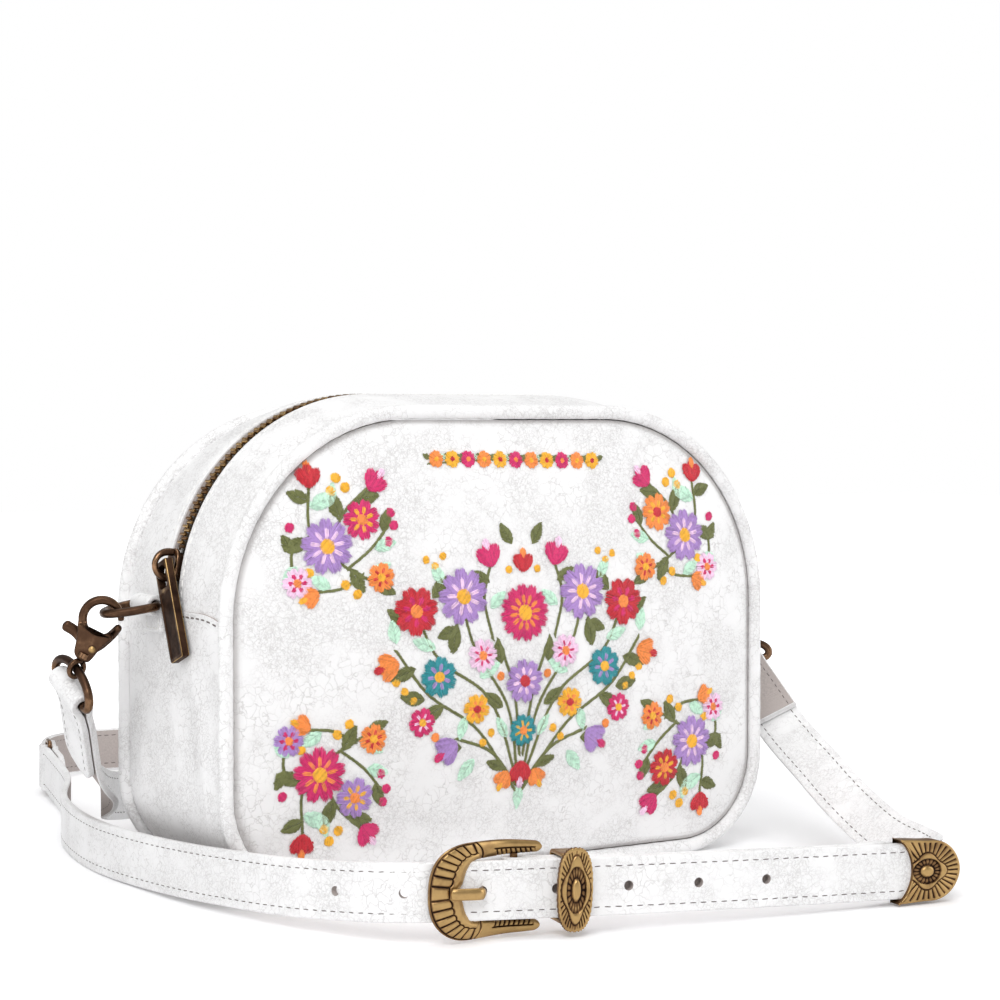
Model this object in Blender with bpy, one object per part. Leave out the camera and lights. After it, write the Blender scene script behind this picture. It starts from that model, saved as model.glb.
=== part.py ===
"""A small D-shaped shoulder bag with a zipped top, two clasps and a buckled leather strap.

Metres, +Z up. The origin is the middle of the bag's flat base, on the floor.
-Y is the front, where the panel's decoration is, and the zip's pull is at -X.
"""

import math

import bmesh
import bpy
import numpy as np
from mathutils import Matrix, Vector

MM = 0.001

# Body: the outline is where the panels meet their piping
BODY_WIDTH = 200.0 * MM
SEAM_BOTTOM = 4.7 * MM
SEAM_TOP = 148.0 * MM
TOP_RADIUS = 62.0 * MM
BASE_RADIUS = 28.0 * MM
BODY_DEPTH = 72.0 * MM
PANEL_BULGE = 8.0 * MM
PANEL_THICK = 2.0 * MM
PIPING_RADIUS = 2.3 * MM
GUSSET_THICK = 1.8 * MM
GUSSET_SIDE_RISE = 3.2 * MM
ZIP_RISE = 8.5 * MM
BASE_FLAT_WIDTH = 40.0 * MM
LINING_THICK = 0.8 * MM
BASE_BOARD_THICK = 1.2 * MM
BASE_BOARD_MARGIN = 10.0 * MM
POCKET_WIDTH = 110.0 * MM
POCKET_HEIGHT = 62.0 * MM
POCKET_THICK = 1.2 * MM
POCKET_LIFT = 24.0 * MM

# Clearances shared by all pieces
GAP = 0.3 * MM
RUN_GAP = 0.5 * MM
OVERRUN = 2.0 * MM

# Zip
ZIP_CORNER_EXTRA = 6.0 * MM
ZIP_OPENING = 8.6 * MM
TAPE_WIDTH = 9.0 * MM
TAPE_THICK = 0.5 * MM
TOOTH_PITCH = 2.7 * MM
TOOTH_WIDTH = 1.0 * MM
TOOTH_HEIGHT = 1.5 * MM
TOOTH_REACH = 0.7 * MM
BEAD_NEAR = 1.4 * MM
BEAD_FAR = 2.6 * MM
STOP_LENGTH = 3.0 * MM
SLIDER_ANGLE = 11.5
SLIDER_LENGTH = 11.0 * MM
SLIDER_WIDTH = 7.4 * MM
SLIDER_PLATE = 1.2 * MM
SLIDER_POST = 2.4 * MM
SLIDER_ROOM = 0.8 * MM
BRIDGE_RADIUS = 1.1 * MM
BRIDGE_HEIGHT = 6.4 * MM
BRIDGE_LENGTH = 10.4 * MM

# Pull tag
PULL_LENGTH = 32.0 * MM
PULL_WIDTH = 8.6 * MM
PULL_THICK = 2.6 * MM
PULL_EYE_LENGTH = 7.0 * MM
PULL_EYE_WIDTH = 6.2 * MM
PULL_EYE_MARGIN = 1.6 * MM
PULL_LEAN = 21.0
PULL_DROP = 0.5

# Ring tabs and rings
TAB_Y = 9.4 * MM
TAB_WIDTH = 12.8 * MM
TAB_LEATHER = 1.6 * MM
TAB_TAIL = 5.0 * MM
RING_WIRE = 1.4 * MM
RING_CORNER = 1.4 * MM
CORNER_SHARE = 0.3
RING_DEPTH = 14.6 * MM
LEFT_DROOP = 9.0
RIGHT_DROOP = 36.0

# Clasps: places in the clasp's own plane, across (outward is minus) and up from the eye's middle
EYE_RADIUS = 5.9 * MM
HOOK_WIRE = 1.4 * MM
LEFT_CLASP_TURN = 26.0
RIGHT_CLASP_TURN = -26.0
EYE_PAST_RING = 1.0 * MM
EYE_BELOW_RING = 1.6 * MM
HOOK_END_ANGLE = -2.0
HOOK_NECK_ANGLE = 182.0
GATE_TIP_SHARES = (0.83, -0.52)
GATE_KNEE_SHARES = (0.45, -0.95)
THUMB_KNEE_SHARES = (0.75, 0.35)
BODY_LEAN = 27.0
BODY_LENGTH = 13.6 * MM
BODY_WIDE = 12.4 * MM
CLASP_THICK = 3.0 * MM
LEVER_WIRE = 1.25 * MM
THUMB_OUT = 12.0 * MM
THUMB_DOWN = 1.8 * MM
THUMB_WIDE = 3.8 * MM
PIVOT_SHARE = 0.62
CLASP_SHARES = ((0.40, 0.58, 0.36), (0.52, 0.24, 0.66), (0.65, 0.06, 0.86), (0.82, 0.0, 0.68), (1.0, 0.0, 0.42))
RIVET_RADIUS = 1.1 * MM
RIVET_THICK = 0.7 * MM
POST_WIRE = 0.9 * MM
POST_STEM = 0.9 * MM

# Strap rings that swivel on the clasps
STRAP_RING_WIRE = 1.4 * MM
STRAP_RING_DEPTH = 8.4 * MM
STRAP_RING_CORNER = 1.7 * MM
STRAP_RING_ROOM = 1.6 * MM
LEFT_SWIVEL = 42.0
RIGHT_SWIVEL = 92.0
LEFT_RING_SLIDE = 14.0
RIGHT_RING_SLIDE = 0.0
LEFT_RING_TILT = 26.0
RIGHT_RING_TILT = 0.0

# Strap
STRAP_WIDTH = 17.0 * MM
STRAP_THICK = 2.2 * MM
FLOOR_GAP = 0.2 * MM
LEFT_FOLD_LENGTH = 30.0 * MM
RIGHT_FOLD_LENGTH = 26.0 * MM
FOLD_GAP = 0.5 * MM
LEFT_TWIST_SHARE = 0.45
RIGHT_TWIST_SHARE = 0.75
HOLE_PITCH = 22.4 * MM
HOLE_RADIUS = 1.8 * MM
HOLES_PAST_TONGUE = 4
HOLES_BEFORE_TONGUE = 2

# The strap's front run, from the buckle's free end to the tip, is a shallow arc seen from above
RUN_START = (-78.5 * MM, -111.7 * MM)
RUN_END = (91.8 * MM, -146.5 * MM)
RUN_SAGITTA = 3.0 * MM

# Buckle, in lengths along the strap, out from its face and across it
BUCKLE_LENGTH = 36.0 * MM
BUCKLE_HEIGHT = 27.6 * MM
BUCKLE_PLATE = 10.0 * MM
BUCKLE_ARM = 4.0 * MM
BUCKLE_METAL = 2.0 * MM
BAR_RADIUS = 1.1 * MM
BAR_FROM_END = 8.2 * MM
TONGUE_RADIUS = 0.9 * MM
TONGUE_REACH = 21.2 * MM
TONGUE_TO_HOLE = 11.3 * MM
FOLDED_END = 34.0 * MM

# Keeper and tip
KEEPER_FROM_BUCKLE = 1.2 * MM
KEEPER_LENGTH = 7.0 * MM
KEEPER_METAL = 1.1 * MM
CONCHO_LENGTH = 12.4 * MM
CONCHO_HEIGHT = 24.0 * MM
CONCHO_THICK = 1.8 * MM
TIP_LENGTH = 22.5 * MM
TIP_METAL = 1.0 * MM
TIP_POCKET = 14.0 * MM
TURN_LEAD = 14.0 * MM

# Joining ring between the strap's front and rear lengths
JOIN_WIRE = 0.9 * MM
JOIN_WIDTH = 7.8 * MM
JOIN_CORNER = 1.2 * MM
FLAP_LENGTH = 24.0 * MM
REAR_FLAP_LENGTH = 15.0 * MM
FRONT_FOLD_HAND = 1.0
REAR_FOLD_HAND = -1.0
LEFT_FOLD_HAND = 1.0
RIGHT_FOLD_HAND = -1.0

# Facets
BASE_STEPS = 8
BASE_CORNER_STEPS = 5
SIDE_STEPS = 4
TOP_CORNER_STEPS = 9
TOP_STEPS = 8
PANEL_RINGS = 5
TUBE_SIDES = 8
WIRE_SIDES = 8
ROUND_SIDES = 16
FOLD_STEPS = 6
CURVE_STEPS = 8
FOLD_RUN = 4

# Strap route: middles of the strap's width as seen from above, and heights of its lower edge
FRONT_ROUTE = (
    (-60.0 * MM, 200.0 * MM, 0.0),
    (-76.0 * MM, 146.0 * MM, 0.0),
    (-101.0 * MM, 88.0 * MM, 0.0),
    (-110.0 * MM, 44.0 * MM, 0.0),
    (-110.0 * MM, 2.0 * MM, 0.6 * MM),
    (-106.0 * MM, -40.0 * MM, 2.2 * MM),
    (-97.0 * MM, -80.0 * MM, 4.2 * MM),
)
REAR_ROUTE = (
    (-50.0 * MM, 226.0 * MM, 2.4 * MM),
    (-22.0 * MM, 250.0 * MM, 0.8 * MM),
    (16.0 * MM, 246.0 * MM, 0.0),
    (34.0 * MM, 218.0 * MM, 0.0),
    (18.0 * MM, 178.0 * MM, 0.0),
    (-20.0 * MM, 144.0 * MM, 1.0 * MM),
    (-60.0 * MM, 112.0 * MM, 4.0 * MM),
    (-92.0 * MM, 76.0 * MM, 11.0 * MM),
)
LEFT_END_ROUTE = (
    (-92.0 * MM, 76.0 * MM, 11.0 * MM),
    (-102.0 * MM, 54.0 * MM, 17.5 * MM),
    (-115.0 * MM, 36.0 * MM, 28.0 * MM),
)
RIGHT_TURN = (
    (82.0 * MM, -138.5 * MM, 0.4 * MM),
    (93.0 * MM, -133.0 * MM, 1.4 * MM),
    (100.0 * MM, -121.0 * MM, 1.6 * MM),
    (105.0 * MM, -101.0 * MM, 3.6 * MM),
    (111.0 * MM, -77.0 * MM, 10.0 * MM),
)
RIGHT_END_ROUTE = (
    (111.0 * MM, -77.0 * MM, 10.0 * MM),
    (118.0 * MM, -51.0 * MM, 19.5 * MM),
    (124.0 * MM, -27.0 * MM, 29.0 * MM),
)

# Colours and finishes
MATERIALS = {
    "white_leather": ((0.90, 0.89, 0.88, 1.0), 0.55, 0.0),
    "suede_back": ((0.45, 0.38, 0.34, 1.0), 0.95, 0.0),
    "lining_cloth": ((0.62, 0.55, 0.45, 1.0), 0.90, 0.0),
    "board": ((0.35, 0.30, 0.25, 1.0), 0.90, 0.0),
    "zip_tape": ((0.80, 0.79, 0.77, 1.0), 0.90, 0.0),
    "antique_brass": ((0.30, 0.19, 0.10, 1.0), 0.40, 1.0),
    "aged_gold": ((0.47, 0.34, 0.16, 1.0), 0.35, 1.0),
}


def clear_scene():
    """Remove every object that the file opened with."""
    for item in list(bpy.data.objects):
        bpy.data.objects.remove(item, do_unlink=True)


def material(name):
    """The named material, made once from the table above."""
    found = bpy.data.materials.get(name)
    if found:
        return found
    colour, roughness, metallic = MATERIALS[name]
    made = bpy.data.materials.new(name)
    made.use_nodes = True
    shader = made.node_tree.nodes["Principled BSDF"]
    shader.inputs["Base Color"].default_value = colour
    shader.inputs["Roughness"].default_value = roughness
    shader.inputs["Metallic"].default_value = metallic
    made.diffuse_color = colour
    return made


def add_object(name, vertices, faces, finish, origin=None, smooth=True):
    """One named object from world points; its own origin is set on a joint where one is given."""
    base = Vector(origin) if origin is not None else Vector((0.0, 0.0, 0.0))
    mesh = bpy.data.meshes.new(name)
    mesh.from_pydata([Vector(v) - base for v in vertices], [], faces)
    shape = bmesh.new()
    shape.from_mesh(mesh)
    bmesh.ops.recalc_face_normals(shape, faces=shape.faces)
    shape.to_mesh(mesh)
    shape.free()
    mesh.materials.append(material(finish))
    item = bpy.data.objects.new(name, mesh)
    item.location = base
    bpy.context.collection.objects.link(item)
    if smooth:
        mesh.shade_smooth()
        mesh.set_sharp_from_angle(angle=math.radians(40.0))
    return item


def empty_at(name, place):
    """An empty on a joint's axis, which carries the pieces that move with it."""
    item = bpy.data.objects.new(name, None)
    item.location = Vector(place)
    bpy.context.collection.objects.link(item)
    return item


def carry(parent, *children):
    """Parent the children to a joint's empty and leave them where they are."""
    bpy.context.view_layer.update()
    for child in children:
        child.parent = parent
        child.matrix_parent_inverse = parent.matrix_world.inverted()


def ring_faces(rings, count, closed_path=False):
    """Quads between equal rings of points, with end caps on an open path."""
    faces = []
    last = rings if closed_path else rings - 1
    for i in range(last):
        a = i * count
        b = ((i + 1) % rings) * count
        for k in range(count):
            m = (k + 1) % count
            faces.append((a + k, a + m, b + m, b + k))
    if not closed_path:
        faces.append(tuple(range(count)))
        faces.append(tuple(range((rings - 1) * count, rings * count)))
    return faces


def unit(v):
    """The vector at length one."""
    return Vector(v).normalized()


def smooth_curve(points, steps):
    """A smooth curve through every given point, with equal steps between each two of them.

    Each span is a cubic; at a given point its slope is the two neighbouring slopes, weighted by closeness.
    """
    pts = [np.array(p, float) for p in points]
    spans = [np.linalg.norm(b - a) for a, b in zip(pts, pts[1:])]
    chords = [(b - a) / d for a, b, d in zip(pts, pts[1:], spans)]
    slopes = [chords[0]]
    for i in range(1, len(chords)):
        near, far = spans[i - 1], spans[i]
        slopes.append((chords[i - 1] * far + chords[i] * near) / (near + far))
    slopes.append(chords[-1])
    out = []
    for i, span in enumerate(spans):
        for k in range(steps):
            t = k / steps
            into = 3 * t ** 2 - 2 * t ** 3
            out.append(
                pts[i] * (1 - into) + pts[i + 1] * into
                + slopes[i] * (span * t * (1 - t) ** 2) - slopes[i + 1] * (span * t ** 2 * (1 - t))
            )
    out.append(pts[-1])
    return out


def tangents(points, closed=False):
    """Unit directions along a list of points."""
    n = len(points)
    out = []
    for i in range(n):
        if closed:
            a, b = points[i - 1], points[(i + 1) % n]
        else:
            a, b = points[max(i - 1, 0)], points[min(i + 1, n - 1)]
        out.append(unit(np.array(b) - np.array(a)))
    return out


def tube_section(radius, sides, flat=1.0):
    """Points of a round or flattened section."""
    turn = 2 * math.pi / sides
    return [(radius * math.cos(k * turn), radius * flat * math.sin(k * turn)) for k in range(sides)]


def sweep(name, points, ups, sections, finish, closed=False, origin=None, dirs=None):
    """A solid swept along points; each section is (along the up direction, across it)."""
    dirs = dirs or tangents(points, closed)
    vertices = []
    for place, along, up, section in zip(points, dirs, ups, sections):
        side = unit(along.cross(Vector(up)))
        lift = unit(side.cross(along))
        for a, b in section:
            vertices.append(Vector(place) + lift * a + side * b)
    faces = ring_faces(len(points), len(sections[0]), closed)
    return add_object(name, vertices, faces, finish, origin)


def wire(name, points, normal, radius, finish, closed=True, origin=None, sides=WIRE_SIDES):
    """A round wire bent in one plane."""
    section = tube_section(radius, sides)
    count = len(points)
    return sweep(name, points, [normal] * count, [section] * count, finish, closed, origin)


def band_section(width, thick):
    """The four corners of a strap's section."""
    w = width / 2
    t = thick / 2
    return [(-w, -t), (w, -t), (w, t), (-w, t)]


def band(name, points, ups, dirs=None):
    """A length of the strap swept along points, its width along the up directions."""
    section = band_section(STRAP_WIDTH, STRAP_THICK)
    return sweep(name, points, ups, [section] * len(points), "white_leather", dirs=dirs)


def split_band(first, second, path, ups, index):
    """Two lengths of the strap along one path, which meet at a point of it with a clearance."""
    dirs = tangents(path)
    near = band(first, path[:index + 1], ups[:index + 1], dirs[:index + 1])
    start = path[index] + dirs[index] * GAP
    far = band(second, [start] + path[index + 1:], ups[index:], dirs[index:])
    return near, far


def block(name, centre, axes, size, finish, origin=None):
    """A box with its own axes."""
    c = Vector(centre)
    x, y, z = [unit(a) * (s / 2) for a, s in zip(axes, size)]
    vertices = []
    for i in (-1, 1):
        for j in (-1, 1):
            for k in (-1, 1):
                vertices.append(c + x * i + y * j + z * k)
    faces = [(0, 1, 3, 2), (4, 6, 7, 5), (0, 4, 5, 1), (2, 3, 7, 6), (0, 2, 6, 4), (1, 5, 7, 3)]
    return add_object(name, vertices, faces, finish, origin, smooth=False)


def prism(name, outline, centre, axes, thick, finish, origin=None):
    """A flat outline given in two of its own axes, thickened along the third."""
    c = Vector(centre)
    x, y, z = [unit(a) for a in axes]
    count = len(outline)
    vertices = []
    for side in (-1, 1):
        for a, b in outline:
            vertices.append(c + x * a + y * b + z * (side * thick / 2))
    return add_object(name, vertices, ring_faces(2, count), finish, origin, smooth=False)


def cylinder(name, start, end, radius, finish, sides=ROUND_SIDES, origin=None):
    """A round rod between two points."""
    along = unit(Vector(end) - Vector(start))
    up = along.orthogonal()
    section = tube_section(radius, sides)
    return sweep(name, [Vector(start), Vector(end)], [up, up], [section] * 2, finish, False, origin)


def cut(target, cutters):
    """Boolean differences with hidden cutters."""
    for cutter in cutters:
        cutter.hide_render = True
        cutter.display_type = "WIRE"
        step = target.modifiers.new(cutter.name, "BOOLEAN")
        step.operation = "DIFFERENCE"
        step.solver = "EXACT"
        step.object = cutter


def rounded_outline(half_width, bottom, top, base_radius, top_radius):
    """Points and outward directions round a D-shaped outline, anticlockwise seen from the front.

    Equal step counts on every outline, so two of them can be blended point by point.
    """
    points = []
    base_x = half_width - base_radius
    top_x = half_width - top_radius
    for i in range(BASE_STEPS // 2):
        points.append((base_x * i / (BASE_STEPS / 2), bottom))
    for i in range(BASE_CORNER_STEPS):
        a = -math.pi / 2 + math.pi / 2 * i / BASE_CORNER_STEPS
        points.append((base_x + base_radius * math.cos(a), bottom + base_radius + base_radius * math.sin(a)))
    low = bottom + base_radius
    high = top - top_radius
    for i in range(SIDE_STEPS):
        points.append((half_width, low + (high - low) * i / SIDE_STEPS))
    for i in range(TOP_CORNER_STEPS):
        a = math.pi / 2 * i / TOP_CORNER_STEPS
        points.append((top_x + top_radius * math.cos(a), high + top_radius * math.sin(a)))
    for i in range(TOP_STEPS // 2):
        points.append((top_x * (1 - i / (TOP_STEPS / 2)), top))
    right = points + [(0.0, top)]
    left = [(-x, z) for x, z in reversed(right[1:-1])]
    return [np.array(p) for p in right + left]


def offset_outline(offset):
    """The body's seam outline, moved outward by an offset."""
    return rounded_outline(
        BODY_WIDTH / 2 + offset, SEAM_BOTTOM - offset, SEAM_TOP + offset,
        BASE_RADIUS + offset, TOP_RADIUS + offset,
    )


HALF_COUNT = BASE_STEPS // 2 + BASE_CORNER_STEPS + SIDE_STEPS + TOP_CORNER_STEPS + TOP_STEPS // 2
SEAM_INDEX = BASE_STEPS // 2 + BASE_CORNER_STEPS + SIDE_STEPS
OUTLINE_COUNT = 2 * HALF_COUNT
PIPING_OFFSET = PIPING_RADIUS + GAP / 3
GUSSET_HALF = BODY_DEPTH / 2 - PIPING_RADIUS - GAP
GUSSET_EDGE_RISE = PIPING_OFFSET - GAP
ZIP_HALF_WIDTH = BODY_WIDTH / 2 + GUSSET_SIDE_RISE
ZIP_TOP = SEAM_TOP + ZIP_RISE
ZIP_CORNER_RADIUS = TOP_RADIUS + ZIP_CORNER_EXTRA
ZIP_CENTRE_X = ZIP_HALF_WIDTH - ZIP_CORNER_RADIUS
ZIP_CENTRE_Z = ZIP_TOP - ZIP_CORNER_RADIUS


def crown_outline(inward=0.0):
    """The gusset's highest line: the floor below, the zip's line above."""
    return rounded_outline(
        ZIP_HALF_WIDTH - inward, inward, ZIP_TOP - inward,
        BASE_RADIUS + GUSSET_SIDE_RISE - inward, ZIP_CORNER_RADIUS - inward,
    )


def edge_outline(inward=0.0):
    """The gusset's edge line, tucked in beside the piping."""
    return offset_outline(GUSSET_EDGE_RISE - inward)


def crown_share(y, index):
    """How far a gusset point is from its edge line (0) to its crown line (1)."""
    flat = BASE_FLAT_WIDTH / 2 if index <= SEAM_INDEX or index >= OUTLINE_COUNT - SEAM_INDEX else 0.0
    past = max(0.0, abs(y) - flat) / (GUSSET_HALF - flat)
    return 1.0 - past ** 2


def gusset_point(index, y, inward):
    """A point of the gusset's skin, a given depth below its outer face."""
    index %= OUTLINE_COUNT
    near = edge_outline(inward)[index]
    far = crown_outline(inward)[index]
    share = crown_share(y, index)
    x, z = near + (far - near) * share
    return (x, y, z)


def gusset_strip(name, first, last, rows, finish, above=0.0, thick=GUSSET_THICK, trim=0.0):
    """A strip of gusset between two outline indices, across the given rows of y."""
    indices = list(range(first, last + 1))
    rings = []
    for i in indices:
        outer = [Vector(gusset_point(i, y, -above)) for y in rows]
        inner = [Vector(gusset_point(i, y, thick - above)) for y in reversed(rows)]
        rings.append(outer + inner)
    if trim:
        for edge, inside in ((0, 1), (-1, -2)):
            for k, place in enumerate(rings[edge]):
                rings[edge][k] = place + unit(rings[inside][k] - place) * trim
    vertices = [v for ring in rings for v in ring]
    count = len(rings[0])
    faces = ring_faces(len(rings), count)[:-2]
    for start in (0, (len(rings) - 1) * count):
        for k in range(len(rows) - 1):
            back = count - 1 - k
            faces.append((start + k, start + k + 1, start + back - 1, start + back))
    return add_object(name, vertices, faces, finish)


def panel(name, side):
    """A domed face panel: its edge beside the piping, its middle bulging out."""
    edge = offset_outline(-GAP * 2 / 3)
    middle = np.array([0.0, (SEAM_BOTTOM + SEAM_TOP) / 2])
    shares = [1.0 - (i / PANEL_RINGS) for i in range(PANEL_RINGS)]

    def layer(depth):
        rows = []
        for share in shares:
            bulge = PANEL_BULGE * (1.0 - share ** 2)
            rows.append([
                (*(middle + (p - middle) * share), side * (BODY_DEPTH / 2 + depth + bulge))
                for p in edge
            ])
        return rows, side * (BODY_DEPTH / 2 + depth + PANEL_BULGE)

    outer, outer_top = layer(PANEL_THICK / 2)
    inner, inner_top = layer(-PANEL_THICK / 2)
    rows = list(reversed(inner)) + outer
    vertices = [Vector((x, y, z)) for row in rows for x, z, y in row]
    count = len(edge)
    faces = ring_faces(len(rows), count, True)[: (len(rows) - 1) * count]
    vertices.append(Vector((middle[0], inner_top, middle[1])))
    vertices.append(Vector((middle[0], outer_top, middle[1])))
    inner_hub = len(vertices) - 2
    outer_hub = len(vertices) - 1
    start = (len(rows) - 1) * count
    for k in range(count):
        m = (k + 1) % count
        faces.append((k, m, inner_hub))
        faces.append((start + k, start + m, outer_hub))
    return add_object(name, vertices, faces, "white_leather")


def make_body():
    """Panels, piping, gussets, lining, pocket and base board."""
    panel("front_panel", -1.0)
    panel("back_panel", 1.0)
    for name, side in (("front_piping", -1.0), ("back_piping", 1.0)):
        path = [Vector((x, side * BODY_DEPTH / 2, z)) for x, z in offset_outline(PIPING_OFFSET)]
        wire(name, path, (0.0, 1.0, 0.0), PIPING_RADIUS, "white_leather", sides=TUBE_SIDES)
    flat = BASE_FLAT_WIDTH / 2
    mid = (flat + GUSSET_HALF) / 2
    rows = [-GUSSET_HALF, -mid, -flat, 0.0, flat, mid, GUSSET_HALF]
    first = OUTLINE_COUNT - SEAM_INDEX
    gusset_strip("lower_gusset", first, OUTLINE_COUNT + SEAM_INDEX, rows, "white_leather", trim=GAP)
    edge = ZIP_OPENING / 2
    inner_rows = [edge, (edge + flat) / 2, flat, mid, GUSSET_HALF]
    last = OUTLINE_COUNT - SEAM_INDEX
    for name, side in (("zip_gusset_front", -1.0), ("zip_gusset_back", 1.0)):
        across = sorted(side * y for y in inner_rows)
        gusset_strip(name, SEAM_INDEX, last, across, "white_leather", trim=GAP)
    make_lining()


def make_lining():
    """The cloth lining with its mouth under the zip, the board under it and the slip pocket."""
    skin = GUSSET_THICK + GAP
    outside = offset_outline(GUSSET_EDGE_RISE - skin)
    inside = offset_outline(GUSSET_EDGE_RISE - skin - LINING_THICK)
    floor = SEAM_BOTTOM - GUSSET_EDGE_RISE + skin
    half = BODY_DEPTH / 2 - PANEL_THICK / 2 - GAP

    def lift(points, level):
        return [(x, max(z, level)) for x, z in points]

    axes = ((1.0, 0.0, 0.0), (0.0, 0.0, 1.0), (0.0, 1.0, 0.0))
    lining = prism("lining", lift(outside, floor), (0.0, 0.0, 0.0), axes, 2 * half, "lining_cloth")
    hollow = prism(
        "lining_hollow", lift(inside, floor + LINING_THICK), (0.0, 0.0, 0.0), axes,
        2 * (half - LINING_THICK), "lining_cloth",
    )
    mouth = block(
        "lining_mouth", (0.0, 0.0, SEAM_TOP), ((1, 0, 0), (0, 1, 0), (0, 0, 1)),
        (BODY_WIDTH + 2 * OVERRUN, 2 * TAPE_WIDTH, 2 * TOP_RADIUS), "lining_cloth",
    )
    cut(lining, (hollow, mouth))
    board_length = BODY_WIDTH - 2 * BASE_RADIUS - BASE_BOARD_MARGIN
    board_z = floor - GAP - BASE_BOARD_THICK / 2
    block(
        "base_board", (0.0, 0.0, board_z), ((1, 0, 0), (0, 1, 0), (0, 0, 1)),
        (board_length, 2 * GUSSET_HALF - BASE_BOARD_MARGIN, BASE_BOARD_THICK), "board",
    )
    pocket_y = half - LINING_THICK - GAP - POCKET_THICK / 2
    block(
        "slip_pocket", (0.0, pocket_y, floor + POCKET_LIFT + POCKET_HEIGHT / 2),
        ((1, 0, 0), (0, 1, 0), (0, 0, 1)), (POCKET_WIDTH, POCKET_THICK, POCKET_HEIGHT), "lining_cloth",
    )


def zip_place(run, rise=0.0):
    """A point and outward direction on the zip's line, a length from its left foot."""
    corner = ZIP_CORNER_RADIUS * math.pi / 2
    top = 2 * ZIP_CENTRE_X
    if run <= corner:
        a = math.pi - run / ZIP_CORNER_RADIUS
        centre = (-ZIP_CENTRE_X, ZIP_CENTRE_Z)
    elif run <= corner + top:
        x = -ZIP_CENTRE_X + run - corner
        return Vector((x, 0.0, ZIP_TOP + rise)), Vector((0.0, 0.0, 1.0))
    else:
        a = math.pi / 2 - (run - corner - top) / ZIP_CORNER_RADIUS
        centre = (ZIP_CENTRE_X, ZIP_CENTRE_Z)
    out = Vector((math.cos(a), 0.0, math.sin(a)))
    place = Vector((centre[0], 0.0, centre[1])) + out * (ZIP_CORNER_RADIUS + rise)
    return place, out


ZIP_LENGTH = ZIP_CORNER_RADIUS * math.pi + 2 * ZIP_CENTRE_X
SLIDER_RUN = ZIP_CORNER_RADIUS * math.radians(SLIDER_ANGLE)
TAPE_RISE = -GUSSET_THICK - GAP
TEETH_RISE = TAPE_RISE + GAP


def teeth_comb(name, side, first_run, count):
    """One row of teeth on its bead: every tooth reaches just past the zip's middle."""
    shift = 0.0 if side < 0 else TOOTH_PITCH / 2
    low, high = TEETH_RISE, TEETH_RISE + TOOTH_HEIGHT
    near, far, reach = side * BEAD_NEAR, side * BEAD_FAR, -side * TOOTH_REACH
    vertices = []
    faces = []

    def column(run, y):
        for rise in (low, high):
            place, _ = zip_place(run, rise)
            vertices.append(place + Vector((0.0, y, 0.0)))
        return len(vertices) - 2

    previous = None
    for i in range(count):
        middle = first_run + shift + i * TOOTH_PITCH
        ends = []
        for run in (middle - TOOTH_WIDTH / 2, middle + TOOTH_WIDTH / 2):
            ends.append((column(run, far), column(run, near), column(run, reach)))
        (fa, na, ra), (fb, nb, rb) = ends
        for up in (0, 1):
            faces.append((fa + up, fb + up, nb + up, na + up))
            faces.append((na + up, nb + up, rb + up, ra + up))
        faces.append((fa, fb, fb + 1, fa + 1))
        faces.append((na, ra, ra + 1, na + 1))
        faces.append((ra, rb, rb + 1, ra + 1))
        faces.append((rb, nb, nb + 1, rb + 1))
        if previous is None:
            faces.append((fa, na, na + 1, fa + 1))
        else:
            fp, np_ = previous
            for up in (0, 1):
                faces.append((fp + up, fa + up, na + up, np_ + up))
            faces.append((fp, fa, fa + 1, fp + 1))
            faces.append((np_, na, na + 1, np_ + 1))
        previous = (fb, nb)
    fp, np_ = previous
    faces.append((fp, np_, np_ + 1, fp + 1))
    return add_object(name, vertices, faces, "antique_brass", smooth=False)


def make_zip():
    """Tapes, teeth, the stop at the right end, and the slider with its bridge and pull."""
    last = OUTLINE_COUNT - SEAM_INDEX
    inner = BEAD_NEAR
    middle = (BEAD_FAR + TAPE_WIDTH) / 2
    for name, side in (("zip_tape_front", -1.0), ("zip_tape_back", 1.0)):
        rows = sorted(side * y for y in (inner, middle, TAPE_WIDTH))
        gusset_strip(name, SEAM_INDEX, last, rows, "zip_tape", TAPE_RISE, TAPE_THICK, trim=GAP)
    stop_run = ZIP_LENGTH - STOP_LENGTH
    first = SLIDER_RUN + SLIDER_LENGTH / 2 + TOOTH_WIDTH
    count = int((stop_run - STOP_LENGTH - first) / TOOTH_PITCH)
    teeth_comb("zip_teeth_front", -1.0, first, count)
    teeth_comb("zip_teeth_back", 1.0, first, count)
    place, out = zip_place(stop_run, TEETH_RISE + TOOTH_HEIGHT / 2)
    along = Vector((0.0, 1.0, 0.0)).cross(out)
    block(
        "zip_stop", place, (along, (0.0, 1.0, 0.0), out),
        (STOP_LENGTH, 2 * BEAD_FAR, TOOTH_HEIGHT), "antique_brass",
    )
    make_slider()


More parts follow.
